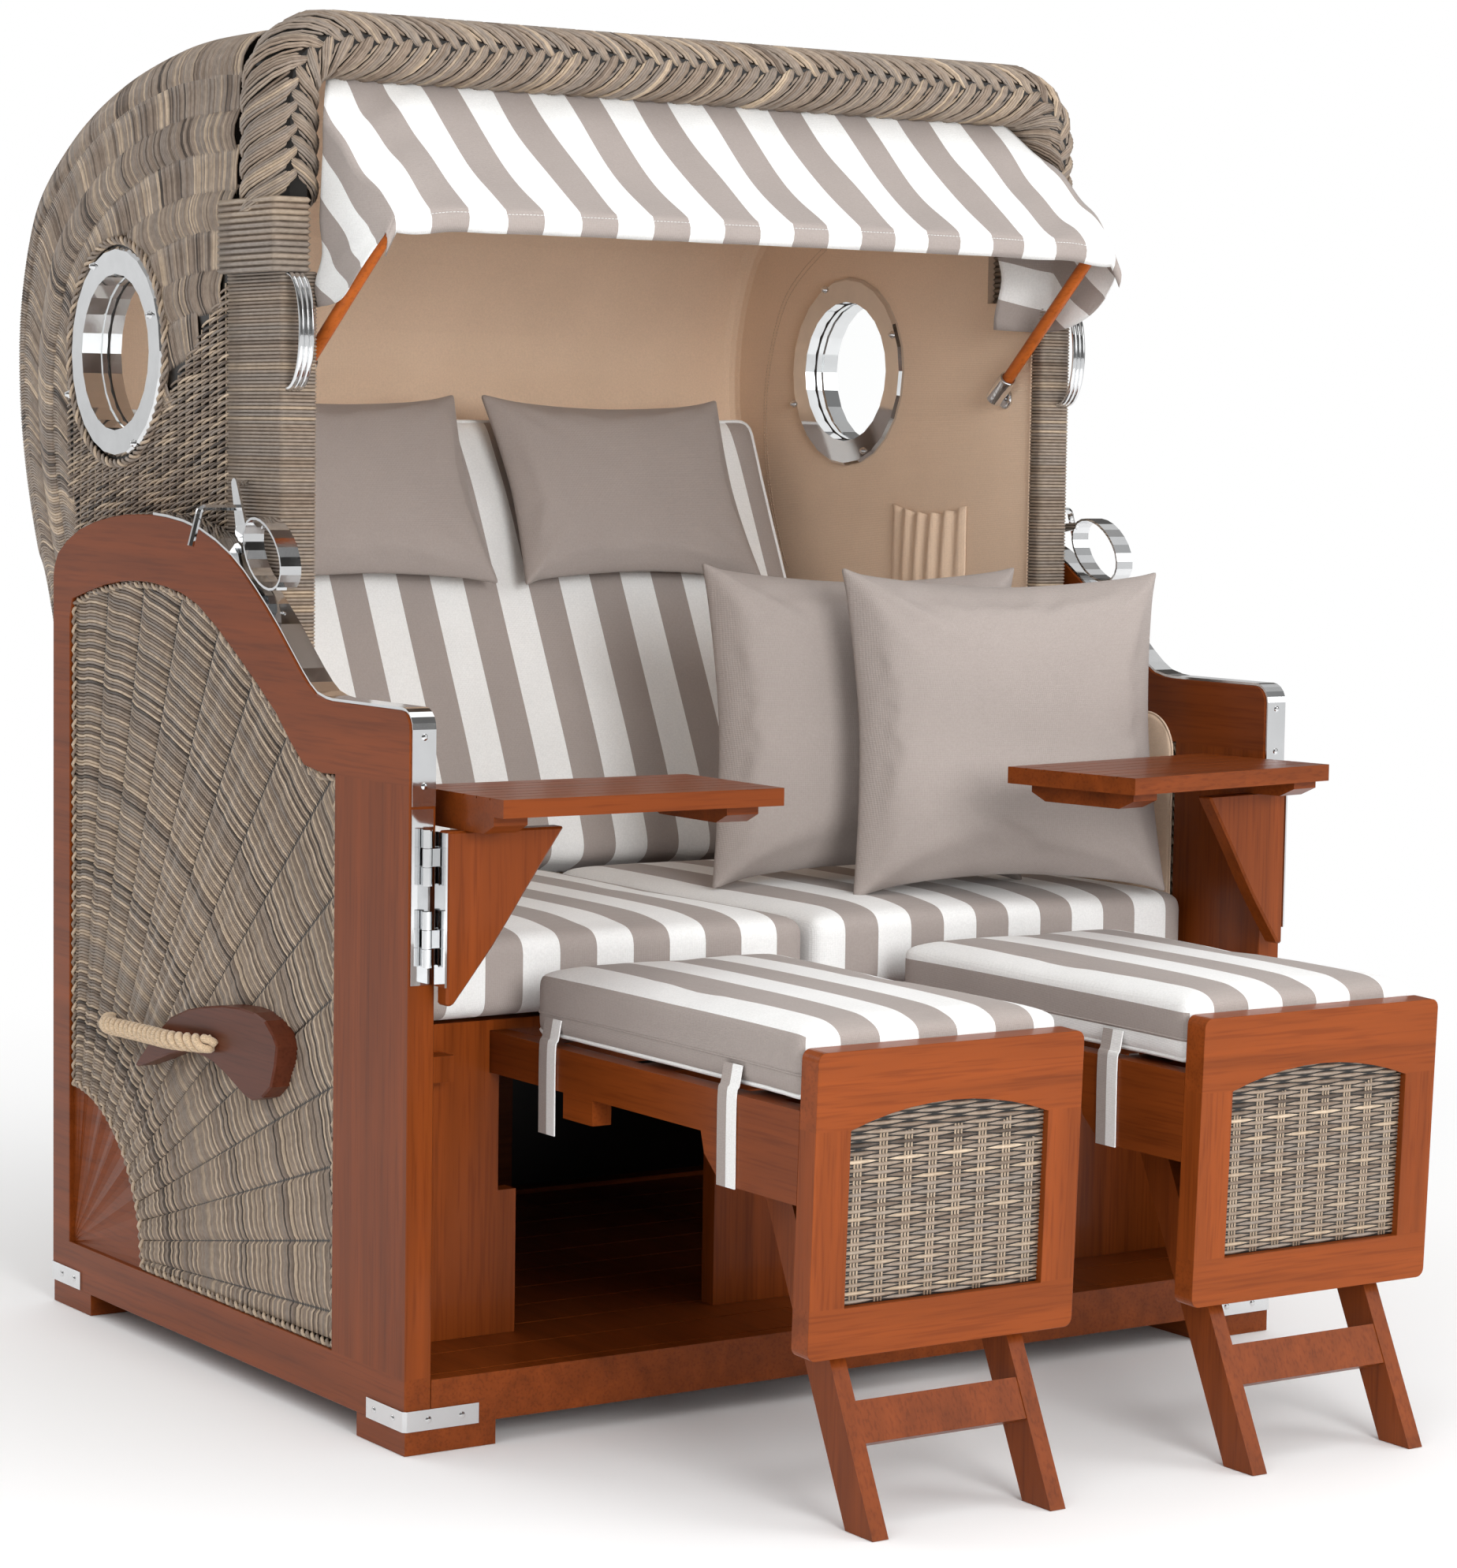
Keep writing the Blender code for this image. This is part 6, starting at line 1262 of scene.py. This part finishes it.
class CLOTH_OT_seats(bpy.types.Operator):
    """Stuffs the two seat cushions and the two footrest cushions, and straps the footrest's ones down"""
    bl_idname = "beach_chair.seats"
    bl_label = "Seat and footrest cushions"

    def execute(self, context):
        places = []
        for side, sign in SIDES:
            low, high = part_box(f"{side}_seat_cushion")
            centre = np.array((low + high) / 2) - [0, FRONT_OF_BASE, 0]
            size = np.array(high - low)
            places.append((f"{side}_seat_pad", centre, 0, 0, "base", f"{side}_seat_cushion"))
        stuffed("seat", box_cushion, (44, 48, 10), size, 0.007, places, [stripes(), stripes()], stripes(),
                radius=0.021, crown=0.005, pull=0.006)
        places = []
        for side, sign in SIDES:
            low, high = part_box(f"{side}_footrest_cushion")
            centre = np.array((low + high) / 2) - [0, FRONT_OF_BASE, 0]
            size = np.array(high - low)
            places.append((f"{side}_footrest_pad", centre + [0, 0, 0.005], 0, 0, f"{side}_footrest",
                           f"{side}_footrest_cushion"))
        pads, points, made = stuffed(
            "footrest", box_cushion, (30, 46, 8), size + [0, 0, 0.010], 0.008, places,
            [stripes("footrest_stripes", 0.25)] * 2, taupe(), radius=0.015, crown=0.006, pull=0.005)
        lengthwise = stripes("footrest_side_stripes", 0.1875, "z", 0.032)
        pads[1].data.materials[1] = lengthwise
        cord = sizes().piping
        for (side, sign), place in zip(SIDES, places):
            self.straps(side, sign * FOOTREST_X)
            for label, level, paint, radius in (
                ("piping", -1, white(), cord), ("seam", -0.25, taupe(), cord * 0.45),
            ):
                loop = edge_loop(points, made, 2, level)
                piping(f"{side}_footrest_{label}", loop, place[1], 0, 0, paint, f"{side}_footrest", radius)
        return {"FINISHED"}

    def straps(self, side, centre):
        """Two straps down each long side of a footrest, each half taupe and half white across its width."""
        low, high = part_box(f"{side}_footrest_frame")
        half = (high[0] - low[0]) / 2
        line = np.array([(0.0014, 0.336), (0.0014, 0.430), (-0.0024, 0.445), (-0.0062, 0.466)]) + [half, 0]
        for label, paint, shift in (("taupe", taupe(), 0.0085), ("white", white(), -0.0085)):
            meshes = []
            for y in (0.032, -0.330):
                for way in (-1, 1):
                    path = np.stack([centre + way * line[:, 0], np.full(4, y + shift), line[:, 1]], 1)
                    meshes.append(strands([smooth_line(path, 5)], 0.0168, 0.0016, (way, 0, 0), flat=True))
            piece = make_piece(f"{side}_footrest_straps_{label}", joined(*meshes), paint, f"{side}_footrest",
                               smooth=False)


class CLOTH_OT_back(bpy.types.Operator):
    """Stuffs the upholstered back, its two head pillows and the two loose pillows"""
    bl_idname = "beach_chair.back"
    bl_label = "Back and pillows"

    def execute(self, context):
        lean = math.radians(26)
        place = np.array([0, 0.9005, 0.8358])
        _, points, made = stuffed(
            "back", box_cushion, (70, 8, 46), (1.0, 0.102, 0.661), 0.012,
            [("back_pad", place, lean, 0, "hood", "backrest")], [stripes()], taupe(),
            radius=0.026, crown=-0.010, pull=0.008)
        corner = math.atan2(-1, 1)
        loop = edge_loop(points, made, 1, -1, corner)
        loop = loop[loop[:, 2] > made[:, 2].min() + 0.045]
        piping("back_piping", loop, place, lean, 0, white(), "hood", sizes().piping, closed=False)
        out = np.array([0, -math.cos(lean), math.sin(lean)])
        along = np.array([0, math.sin(lean), math.cos(lean)])
        low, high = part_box("left_head_pillow")
        centre = (np.array(low) + np.array(high)) / 2 - [0, FRONT_OF_BASE, 0] + out * 0.006 - along * 0.020
        places = [(f"{side}_head_rest", np.array([sign * 0.213, centre[1], centre[2]]), lean, 0, "hood",
                   f"{side}_head_pillow") for side, sign in SIDES]
        stuffed("head", knife_cushion, (40, 2, 30), (0.385, 0.078, 0.285), 0.010, places, [taupe(), taupe()],
                taupe(), rim=0.004)
        yaw, tilt = math.radians(-18), math.radians(9)
        places = []
        for label in ("front", "rear"):
            low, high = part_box(f"{label}_throw_pillow")
            centre = (np.array(low) + np.array(high)) / 2 - [0, FRONT_OF_BASE, 0]
            places.append((f"{label}_loose_pillow", centre, tilt, yaw, "base", f"{label}_throw_pillow"))
        stuffed("loose", knife_cushion, (44, 2, 44), (0.42, 0.13, 0.415), 0.014, places, [taupe(), taupe()],
                taupe(), rim=0.005)
        return {"FINISHED"}


class CLOTH_OT_awning(bpy.types.Operator):
    """Hangs the striped awning from the rim to its bar, and makes the sticks"""
    bl_idname = "beach_chair.awning"
    bl_label = "Awning"

    def execute(self, context):
        self.sticks()
        rows, columns, flap = 40, 160, 26
        v = np.linspace(0, 1, rows)[:, None]
        middle, right_flap = np.linspace(-1, 1, columns), np.linspace(1, 2, flap)[1:]
        c = np.concatenate([np.linspace(-2, -1, flap)[:-1], middle, right_flap])[None, :]
        inner = np.clip(c, -1, 1)
        beyond = np.clip(np.abs(c) - 1, 0, 1)
        half = 0.497 + 0.037 * np.minimum(v / 0.3, 1) - 0.016 * np.clip((v - 0.55) / 0.45, 0, 1) ** 2
        span = arch(v)
        sag = 0.012 * span * (1 - 0.5 * inner**2)
        fold = (0.0036 * np.sin(5.2 * np.pi * inner + 4.2 * v) + 0.0016 * np.sin(16 * inner - 7 * v + 1)
                + 0.0010 * np.sin(31 * inner + 5 * v)) * span**0.5
        near = np.exp(-((1 - np.abs(inner)) * 5) ** 2)
        fold = fold + near * (0.0026 * np.sin(17 * v + 26 * inner) - 0.004 * v**4)
        x = half * inner + beyond * np.sign(c) * (0.012 * v + 0.003 * np.sin(9 * v))
        y = AWNING_REAR + (AWNING_FRONT - AWNING_REAR) * v + 0 * c
        top = AWNING_TOP - AWNING_FALL * v
        drop = beyond * (top - (FLAP_FOOT + 0.078 * v**3))
        z = top - sag + fold * (1 - beyond) - drop
        y = y + beyond * (0.010 * np.sin(14 * beyond + 6 * v)) * (1 - v)
        x = x + np.sign(c) * beyond * 0.003 * np.sin(20 * beyond + 9 * v) * (1 - v)
        hang = np.array([0.0, 0.06, 0.12, 0.18, 0.22, 0.4, 0.7, 1.0])[1:, None]
        bottom_x = x[-1:] + 0 * hang
        sewn = np.where(np.abs(hang - 0.18) < 0.01, 0.0010, 0.0)
        bottom_y = y[-1:] - 0.005 * np.sin(np.pi * hang) + 0.0018 * np.sin(55 * x[-1:]) * hang + sewn
        bottom_z = z[-1:] - HEM * hang
        grid = np.stack([np.concatenate(pair) for pair in ((x, bottom_x), (y, bottom_y), (z, bottom_z))], -1)
        flat_u = half * inner + np.sign(c) * drop
        flat_v = 0.28 * v + 0 * c
        u = np.concatenate([flat_u, flat_u[-1:] + 0 * hang])
        w = np.concatenate([flat_v, flat_v[-1:] + HEM * hang])
        front_face = grid[-5:-4, flap:-flap].reshape(-1, 3) - [0, 0.0012, 0]
        make_piece("awning_stitches", stitches(front_face, (0, -1, 0)), white(), "awning")
        points, quads = sheet_grid(grid)
        piece = make_piece("awning_sheet", (points, quads, None), stripes("awning_stripes", 0.25, "uv"), None,
                           ["awning_cloth"], uv=np.stack([u, w], -1).reshape(-1, 2))
        thicken(piece, 0.0014)
        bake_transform(piece)
        return {"FINISHED"}

    def sticks(self):
        """Two turned sticks and the bar in the hem, with polished sleeves and round plates at their feet."""
        low, tip = np.array([0.520, 0.470, 1.175]), np.array([0.506, 0.252, 1.360])
        left, left_tip = low * [-1, 1, 1], tip * [-1, 1, 1]
        bend = np.radians(np.linspace(0, 90, 6))[:, None]
        way = unit(tip - low)
        side = np.array([-1.0, 0, 0])
        corner = tip + way * 0.016 * np.sin(bend) + side * 0.016 * (1 - np.cos(bend)) - way * 0.016
        half_line = np.concatenate([evenly(np.stack([low, corner[0]]), 8)[:-1], corner])
        line = np.concatenate([half_line * [-1, 1, 1], half_line[::-1]])
        wood = strands([line], 0.0160, 0.0160, (0, 0.6, -0.8), 0.5, sides=12)
        make_piece("awning_sticks", wood, paint_of("stick_wood", wood_paint, "y", colours().stick), "awning",
                   ["awning_bow"])
        sleeve = [(0, -0.003), (0.0112, -0.003), (0.0118, -0.001), (0.0118, 0.038), (0.0112, 0.0405),
                  (0.0086, 0.041), (0.0086, 0.020), (0, 0.019)]
        plate = [(0, 0.0035), (0.010, 0.0035), (0.0142, 0.0022), (0.0146, 0.0002), (0, 0.0002)]
        stem = [(0, 0.016), (0.0045, 0.016), (0.0045, 0.0), (0, 0.0)]
        for name, foot, end, sign in (("left", left, left_tip, 1), ("right", low, tip, -1)):
            wall = foot * [0, 1, 1] + [-sign * 0.5374, 0, 0]
            pieces = joined(lathe(sleeve, foot, unit(end - foot), 24), lathe(plate, wall, (sign, 0, 0), 24),
                            lathe(stem, wall, (sign, 0, 0), 12))
            make_piece(f"{name}_stick_sleeve", pieces, chrome(), "awning", merge=True)


class CLOTH_OT_lining(bpy.types.Operator):
    """Covers the lining, sews its seams, and adds pocket and side liners"""
    bl_idname = "beach_chair.lining"
    bl_label = "Lining, pocket and liners"

    def execute(self, context):
        beige = paint_of("lining_cloth", cloth_paint, colours().lining, fold=0.15)
        repaint("hood_lining", beige)
        for side, sign in SIDES:
            self.side_liner(side, sign, beige)
            self.seams(side, sign, beige)
        low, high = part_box("pocket")
        y0, y1 = low[1] - FRONT_OF_BASE, high[1] - FRONT_OF_BASE
        v = np.linspace(0, 1, 26)[:, None]
        u = np.linspace(0, 1, 70)[None, :]
        hump = np.sin(np.pi * u)
        pleat = np.sin(2 * np.pi * 5.5 * u + 0.6 * np.sin(3 * v)) * (0.25 + 0.75 * v) * hump ** 0.5
        depth = 0.0045 * hump ** 0.4 + 0.0038 * pleat + 0.005 * np.sin(np.pi * v) * hump
        x = LINING_X - 0.0012 - np.maximum(depth, 0.0004)
        y = y1 + (y0 - y1) * u + 0 * v
        z = low[2] + (high[2] - low[2]) * v - 0.012 * hump * v + 0.0015 * pleat * v
        points, quads = sheet_grid(np.stack([x, y, z], -1))
        piece = make_piece("pocket_cloth", (points, quads, None), beige, "hood", ["pocket"])
        thicken(piece, 0.0016)
        return {"FINISHED"}

    def side_liner(self, side, sign, cloth):
        """A thin padded liner: a sheet with round corners, domed a little, with a cord round its edge."""
        low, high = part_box(f"{side}_side_liner")
        y = (low[1] + high[1]) / 2 - FRONT_OF_BASE
        half = np.array([(high[1] - low[1]) / 2 - 0.003, (high[2] - low[2]) / 2 - 0.003])
        level = (low[2] + high[2]) / 2
        u, v = np.meshgrid(np.linspace(-1, 1, 40), np.linspace(-1, 1, 50), indexing="ij")
        at = np.stack([u, v], -1) * half
        core = np.clip(at, -(half - 0.05), half - 0.05)
        away = at - core
        most = np.abs(away).max(-1, keepdims=True)
        at = core + away * most / np.maximum(np.linalg.norm(away, axis=-1, keepdims=True), 1e-9)
        dome = 0.0022 * ((1 - np.abs(u) ** 6) * (1 - np.abs(v) ** 6)) ** 0.5
        quilt = 0.0006 * np.sin(9 * u + 4 * v) * np.sin(11 * v)
        x = min(abs(low[0]), abs(high[0])) + 0.0026 - dome - quilt * (dome > 0)
        points, quads = sheet_grid(np.stack([x, y + at[..., 0], level + at[..., 1]], -1))
        sheet = sided((points, quads[:, ::-1], np.full(len(points), 0.5)), sign)
        piece = make_piece(f"{side}_liner_cloth", sheet, cloth, "base",
                           [f"{side}_side_liner"])
        thicken(piece, 0.0014)
        grid = points.reshape(40, 50, 3)
        loop = np.concatenate([grid[:, 0], grid[-1, 1:], grid[-2::-1, -1], grid[0, -2:0:-1]])
        cord = strands([loop], 0.0030, 0.0030, unit(loop - loop.mean(0)), 0.5, sides=6, closed=True)
        make_piece(f"{side}_liner_cord", sided(cord, sign), cloth, "base")

    def seams(self, side, sign, cloth):
        """Double stitching along the back's curve on the side linings, and a cord up their front edge beside
        the wound post."""
        line, _ = hood_line()
        line = line[60:430]
        runs = []
        for share in (0.800, 0.790):
            bent = WEAVE_FOCUS + (line - WEAVE_FOCUS) * share
            runs.append(np.concatenate([np.full((len(bent), 1), 0.5371), bent], 1))
        sewn = joined(*(stitches(run, (-1, 0, 0)) for run in runs))
        thread = paint_of("lining_thread", cloth_paint, shade(colours().lining, 0.72))
        make_piece(f"{side}_lining_seam", sided(sewn, sign), thread, "hood")
        level = np.linspace(0.622, 1.372, 40)
        edge = np.stack([np.full(40, 0.5362), np.full(40, 0.4125), level], 1)
        cord = strands([edge], 0.0046, 0.0046, (-1, 0, 0), 0.5, sides=8)
        make_piece(f"{side}_lining_cord", sided(cord, sign), cloth, "hood")


class STAGE_OT_studio(bpy.types.Operator):
    """Sets floor, background, lamps and camera"""
    bl_idname = "beach_chair.studio"
    bl_label = "Studio"

    def execute(self, context):
        scene = context.scene
        scene.view_settings.view_transform = "Standard"
        half = 30.0
        corners = np.array([(-half, -half, 0), (half, -half, 0), (half, half, 0), (-half, half, 0)], float)
        corners[:, 2] -= 0.0006
        paint = Paint("pale_floor", 0.9)
        cloud = paint.noise(paint.place(), 0.8, 2)
        paint.link(paint.ramp(cloud, [(0, (0.93, 0.93, 0.93)), (1, (0.96, 0.96, 0.96))]), "Base Color")
        spot = paint.node("TexCoord").outputs["Object"]
        away = paint.node("VectorMath", {0: spot}, operation="LENGTH").outputs[1]
        far = paint.node("MapRange", {0: away, 1: 1.3, 2: 3.2}, interpolation_type="SMOOTHSTEP").outputs[0]
        eye = paint.node("LightPath").outputs["Is Camera Ray"]
        white_part = paint.node("Emission")
        blend = paint.node("MixShader", {0: paint.maths("MULTIPLY", far, eye), 1: paint.shader.outputs[0],
                                         2: white_part.outputs[0]})
        paint.tree.links.new(blend.outputs[0], paint.tree.nodes["Material Output"].inputs["Surface"])
        floor = make_piece("studio_floor", (corners - [0, FRONT_OF_BASE, 0], np.array([[0, 1, 2, 3]]), None),
                           paint.material, None)
        self.background(scene)
        for name, place, aim, size, energy in (
            ("lamp_front", (-0.9, -5.2, 1.9), (0, 0.4, 1.0), 2.2, 165),
            ("lamp_front_left", (-4.2, -2.6, 3.0), (0, 0, 0.8), 2.6, 17),
            ("lamp_front_right", (3.2, -4.0, 2.6), (0, 0, 0.8), 2.4, 36),
            ("lamp_top", (0.2, -0.8, 4.6), (0, 0, 0.6), 3.0, 20),
            ("lamp_rear", (-2.6, 3.6, 3.0), (0, 0, 1.0), 2.2, 24),
        ):
            lamp = bpy.data.objects.new(name, bpy.data.lights.new(name, "AREA"))
            scene.collection.objects.link(lamp)
            lamp.data.shape = "DISK"
            lamp.data.size = size
            lamp.data.energy = energy
            lamp.visible_glossy = name in ("lamp_top", "lamp_front_right", "lamp_rear")
            lamp.location = place
            lamp.rotation_euler = (Vector(aim) - Vector(place)).to_track_quat("-Z", "Y").to_euler()
        camera = bpy.data.objects.new("camera", bpy.data.cameras.new("camera"))
        scene.collection.objects.link(camera)
        camera.data.sensor_width = 36.0
        camera.data.lens = 5062.60369 / 1989 * 36.0
        turn = Matrix(((0.83144287, 0.03555835, -0.55447124), (-0.55541185, 0.07985928, -0.82773195),
                       (0.01484689, 0.99617172, 0.08614796)))
        camera.matrix_world = Matrix.Translation((-2.72568568, -4.06625149, 1.11574777)) @ turn.to_4x4()
        scene.camera = camera
        return {"FINISHED"}

    def background(self, scene):
        """White to the eye and through glass; a softer white lights the object; polished metal sees a studio
        with a bright horizon, a dark band over it and a bright ceiling."""
        world = bpy.data.worlds.new("studio")
        scene.world = world
        world.use_nodes = True
        sky = Nodes(world.node_tree)
        path = sky.node("LightPath").outputs
        seen = sky.maths("MAXIMUM", path["Is Camera Ray"], path["Is Transmission Ray"])
        way = sky.node("TexCoord").outputs["Generated"]
        parts = sky.node("SeparateXYZ", {0: way}).outputs
        height = parts[2]
        room = sky.ramp(sky.maths("MULTIPLY_ADD", height, 0.5, 0.5), [
            (0.0, (0.30, 0.30, 0.30)), (0.50, (0.55, 0.55, 0.55)), (0.56, (0.80, 0.80, 0.80)),
            (0.62, (0.20, 0.19, 0.18)), (0.74, (0.12, 0.115, 0.11)), (0.82, (0.70, 0.70, 0.70)),
            (1.0, (0.95, 0.95, 0.95)),
        ])
        cards = sky.ramp(sky.noise(way, 2.6, 1), [(0.42, (0.45, 0.44, 0.43)), (0.56, (1.25, 1.25, 1.25))])
        room = sky.mix(1.0, room, cards, "MULTIPLY")
        depth = sky.maths("MULTIPLY_ADD", parts[1], 0.5, 0.5)
        front = sky.ramp(depth, [(0.2, (0.42, 0.42, 0.42)), (0.6, (1, 1, 1))])
        room = sky.mix(1.0, room, front, "MULTIPLY")
        soft = sky.mix(path["Is Glossy Ray"], (0.86, 0.86, 0.86), room)
        colour = sky.mix(seen, soft, (1, 1, 1))
        world.node_tree.links.new(colour, world.node_tree.nodes["Background"].inputs["Color"])


class CHAIR_PT_builder(bpy.types.Panel):
    """Lists the chair's sizes, colours and pieces"""
    bl_idname = "CHAIR_PT_builder"
    bl_label = "Beach Chair"
    bl_space_type = "VIEW_3D"
    bl_region_type = "UI"
    bl_category = "Beach Chair"

    def draw(self, context):
        for group in (context.scene.chair_sizes, context.scene.chair_colours):
            for name in group.__annotations__:
                self.layout.prop(group, name)
        for step in STEPS:
            self.layout.operator(step.bl_idname)


STEPS = (
    STAGE_OT_studio, WOOD_OT_boards, METAL_OT_fittings, WEAVE_OT_hood, WEAVE_OT_rim, WEAVE_OT_panels,
    WEAVE_OT_rope, CLOTH_OT_lining, CLOTH_OT_seats, CLOTH_OT_back, CLOTH_OT_awning,
)
CLASSES = (ChairSizes, ChairColours, *STEPS, CHAIR_PT_builder)


def register():
    """Registers the classes and hangs the settings on the scene."""
    for one in CLASSES:
        bpy.utils.register_class(one)
    bpy.types.Scene.chair_sizes = bpy.props.PointerProperty(type=ChairSizes)
    bpy.types.Scene.chair_colours = bpy.props.PointerProperty(type=ChairColours)


def unregister():
    """Takes the settings off the scene and the classes out."""
    del bpy.types.Scene.chair_colours
    del bpy.types.Scene.chair_sizes
    for one in reversed(CLASSES):
        bpy.utils.unregister_class(one)


def main():
    """Builds every piece in turn."""
    register()
    for step in STEPS:
        group, name = step.bl_idname.split(".")
        getattr(getattr(bpy.ops, group), name)()


if __name__ == "__main__":
    main()
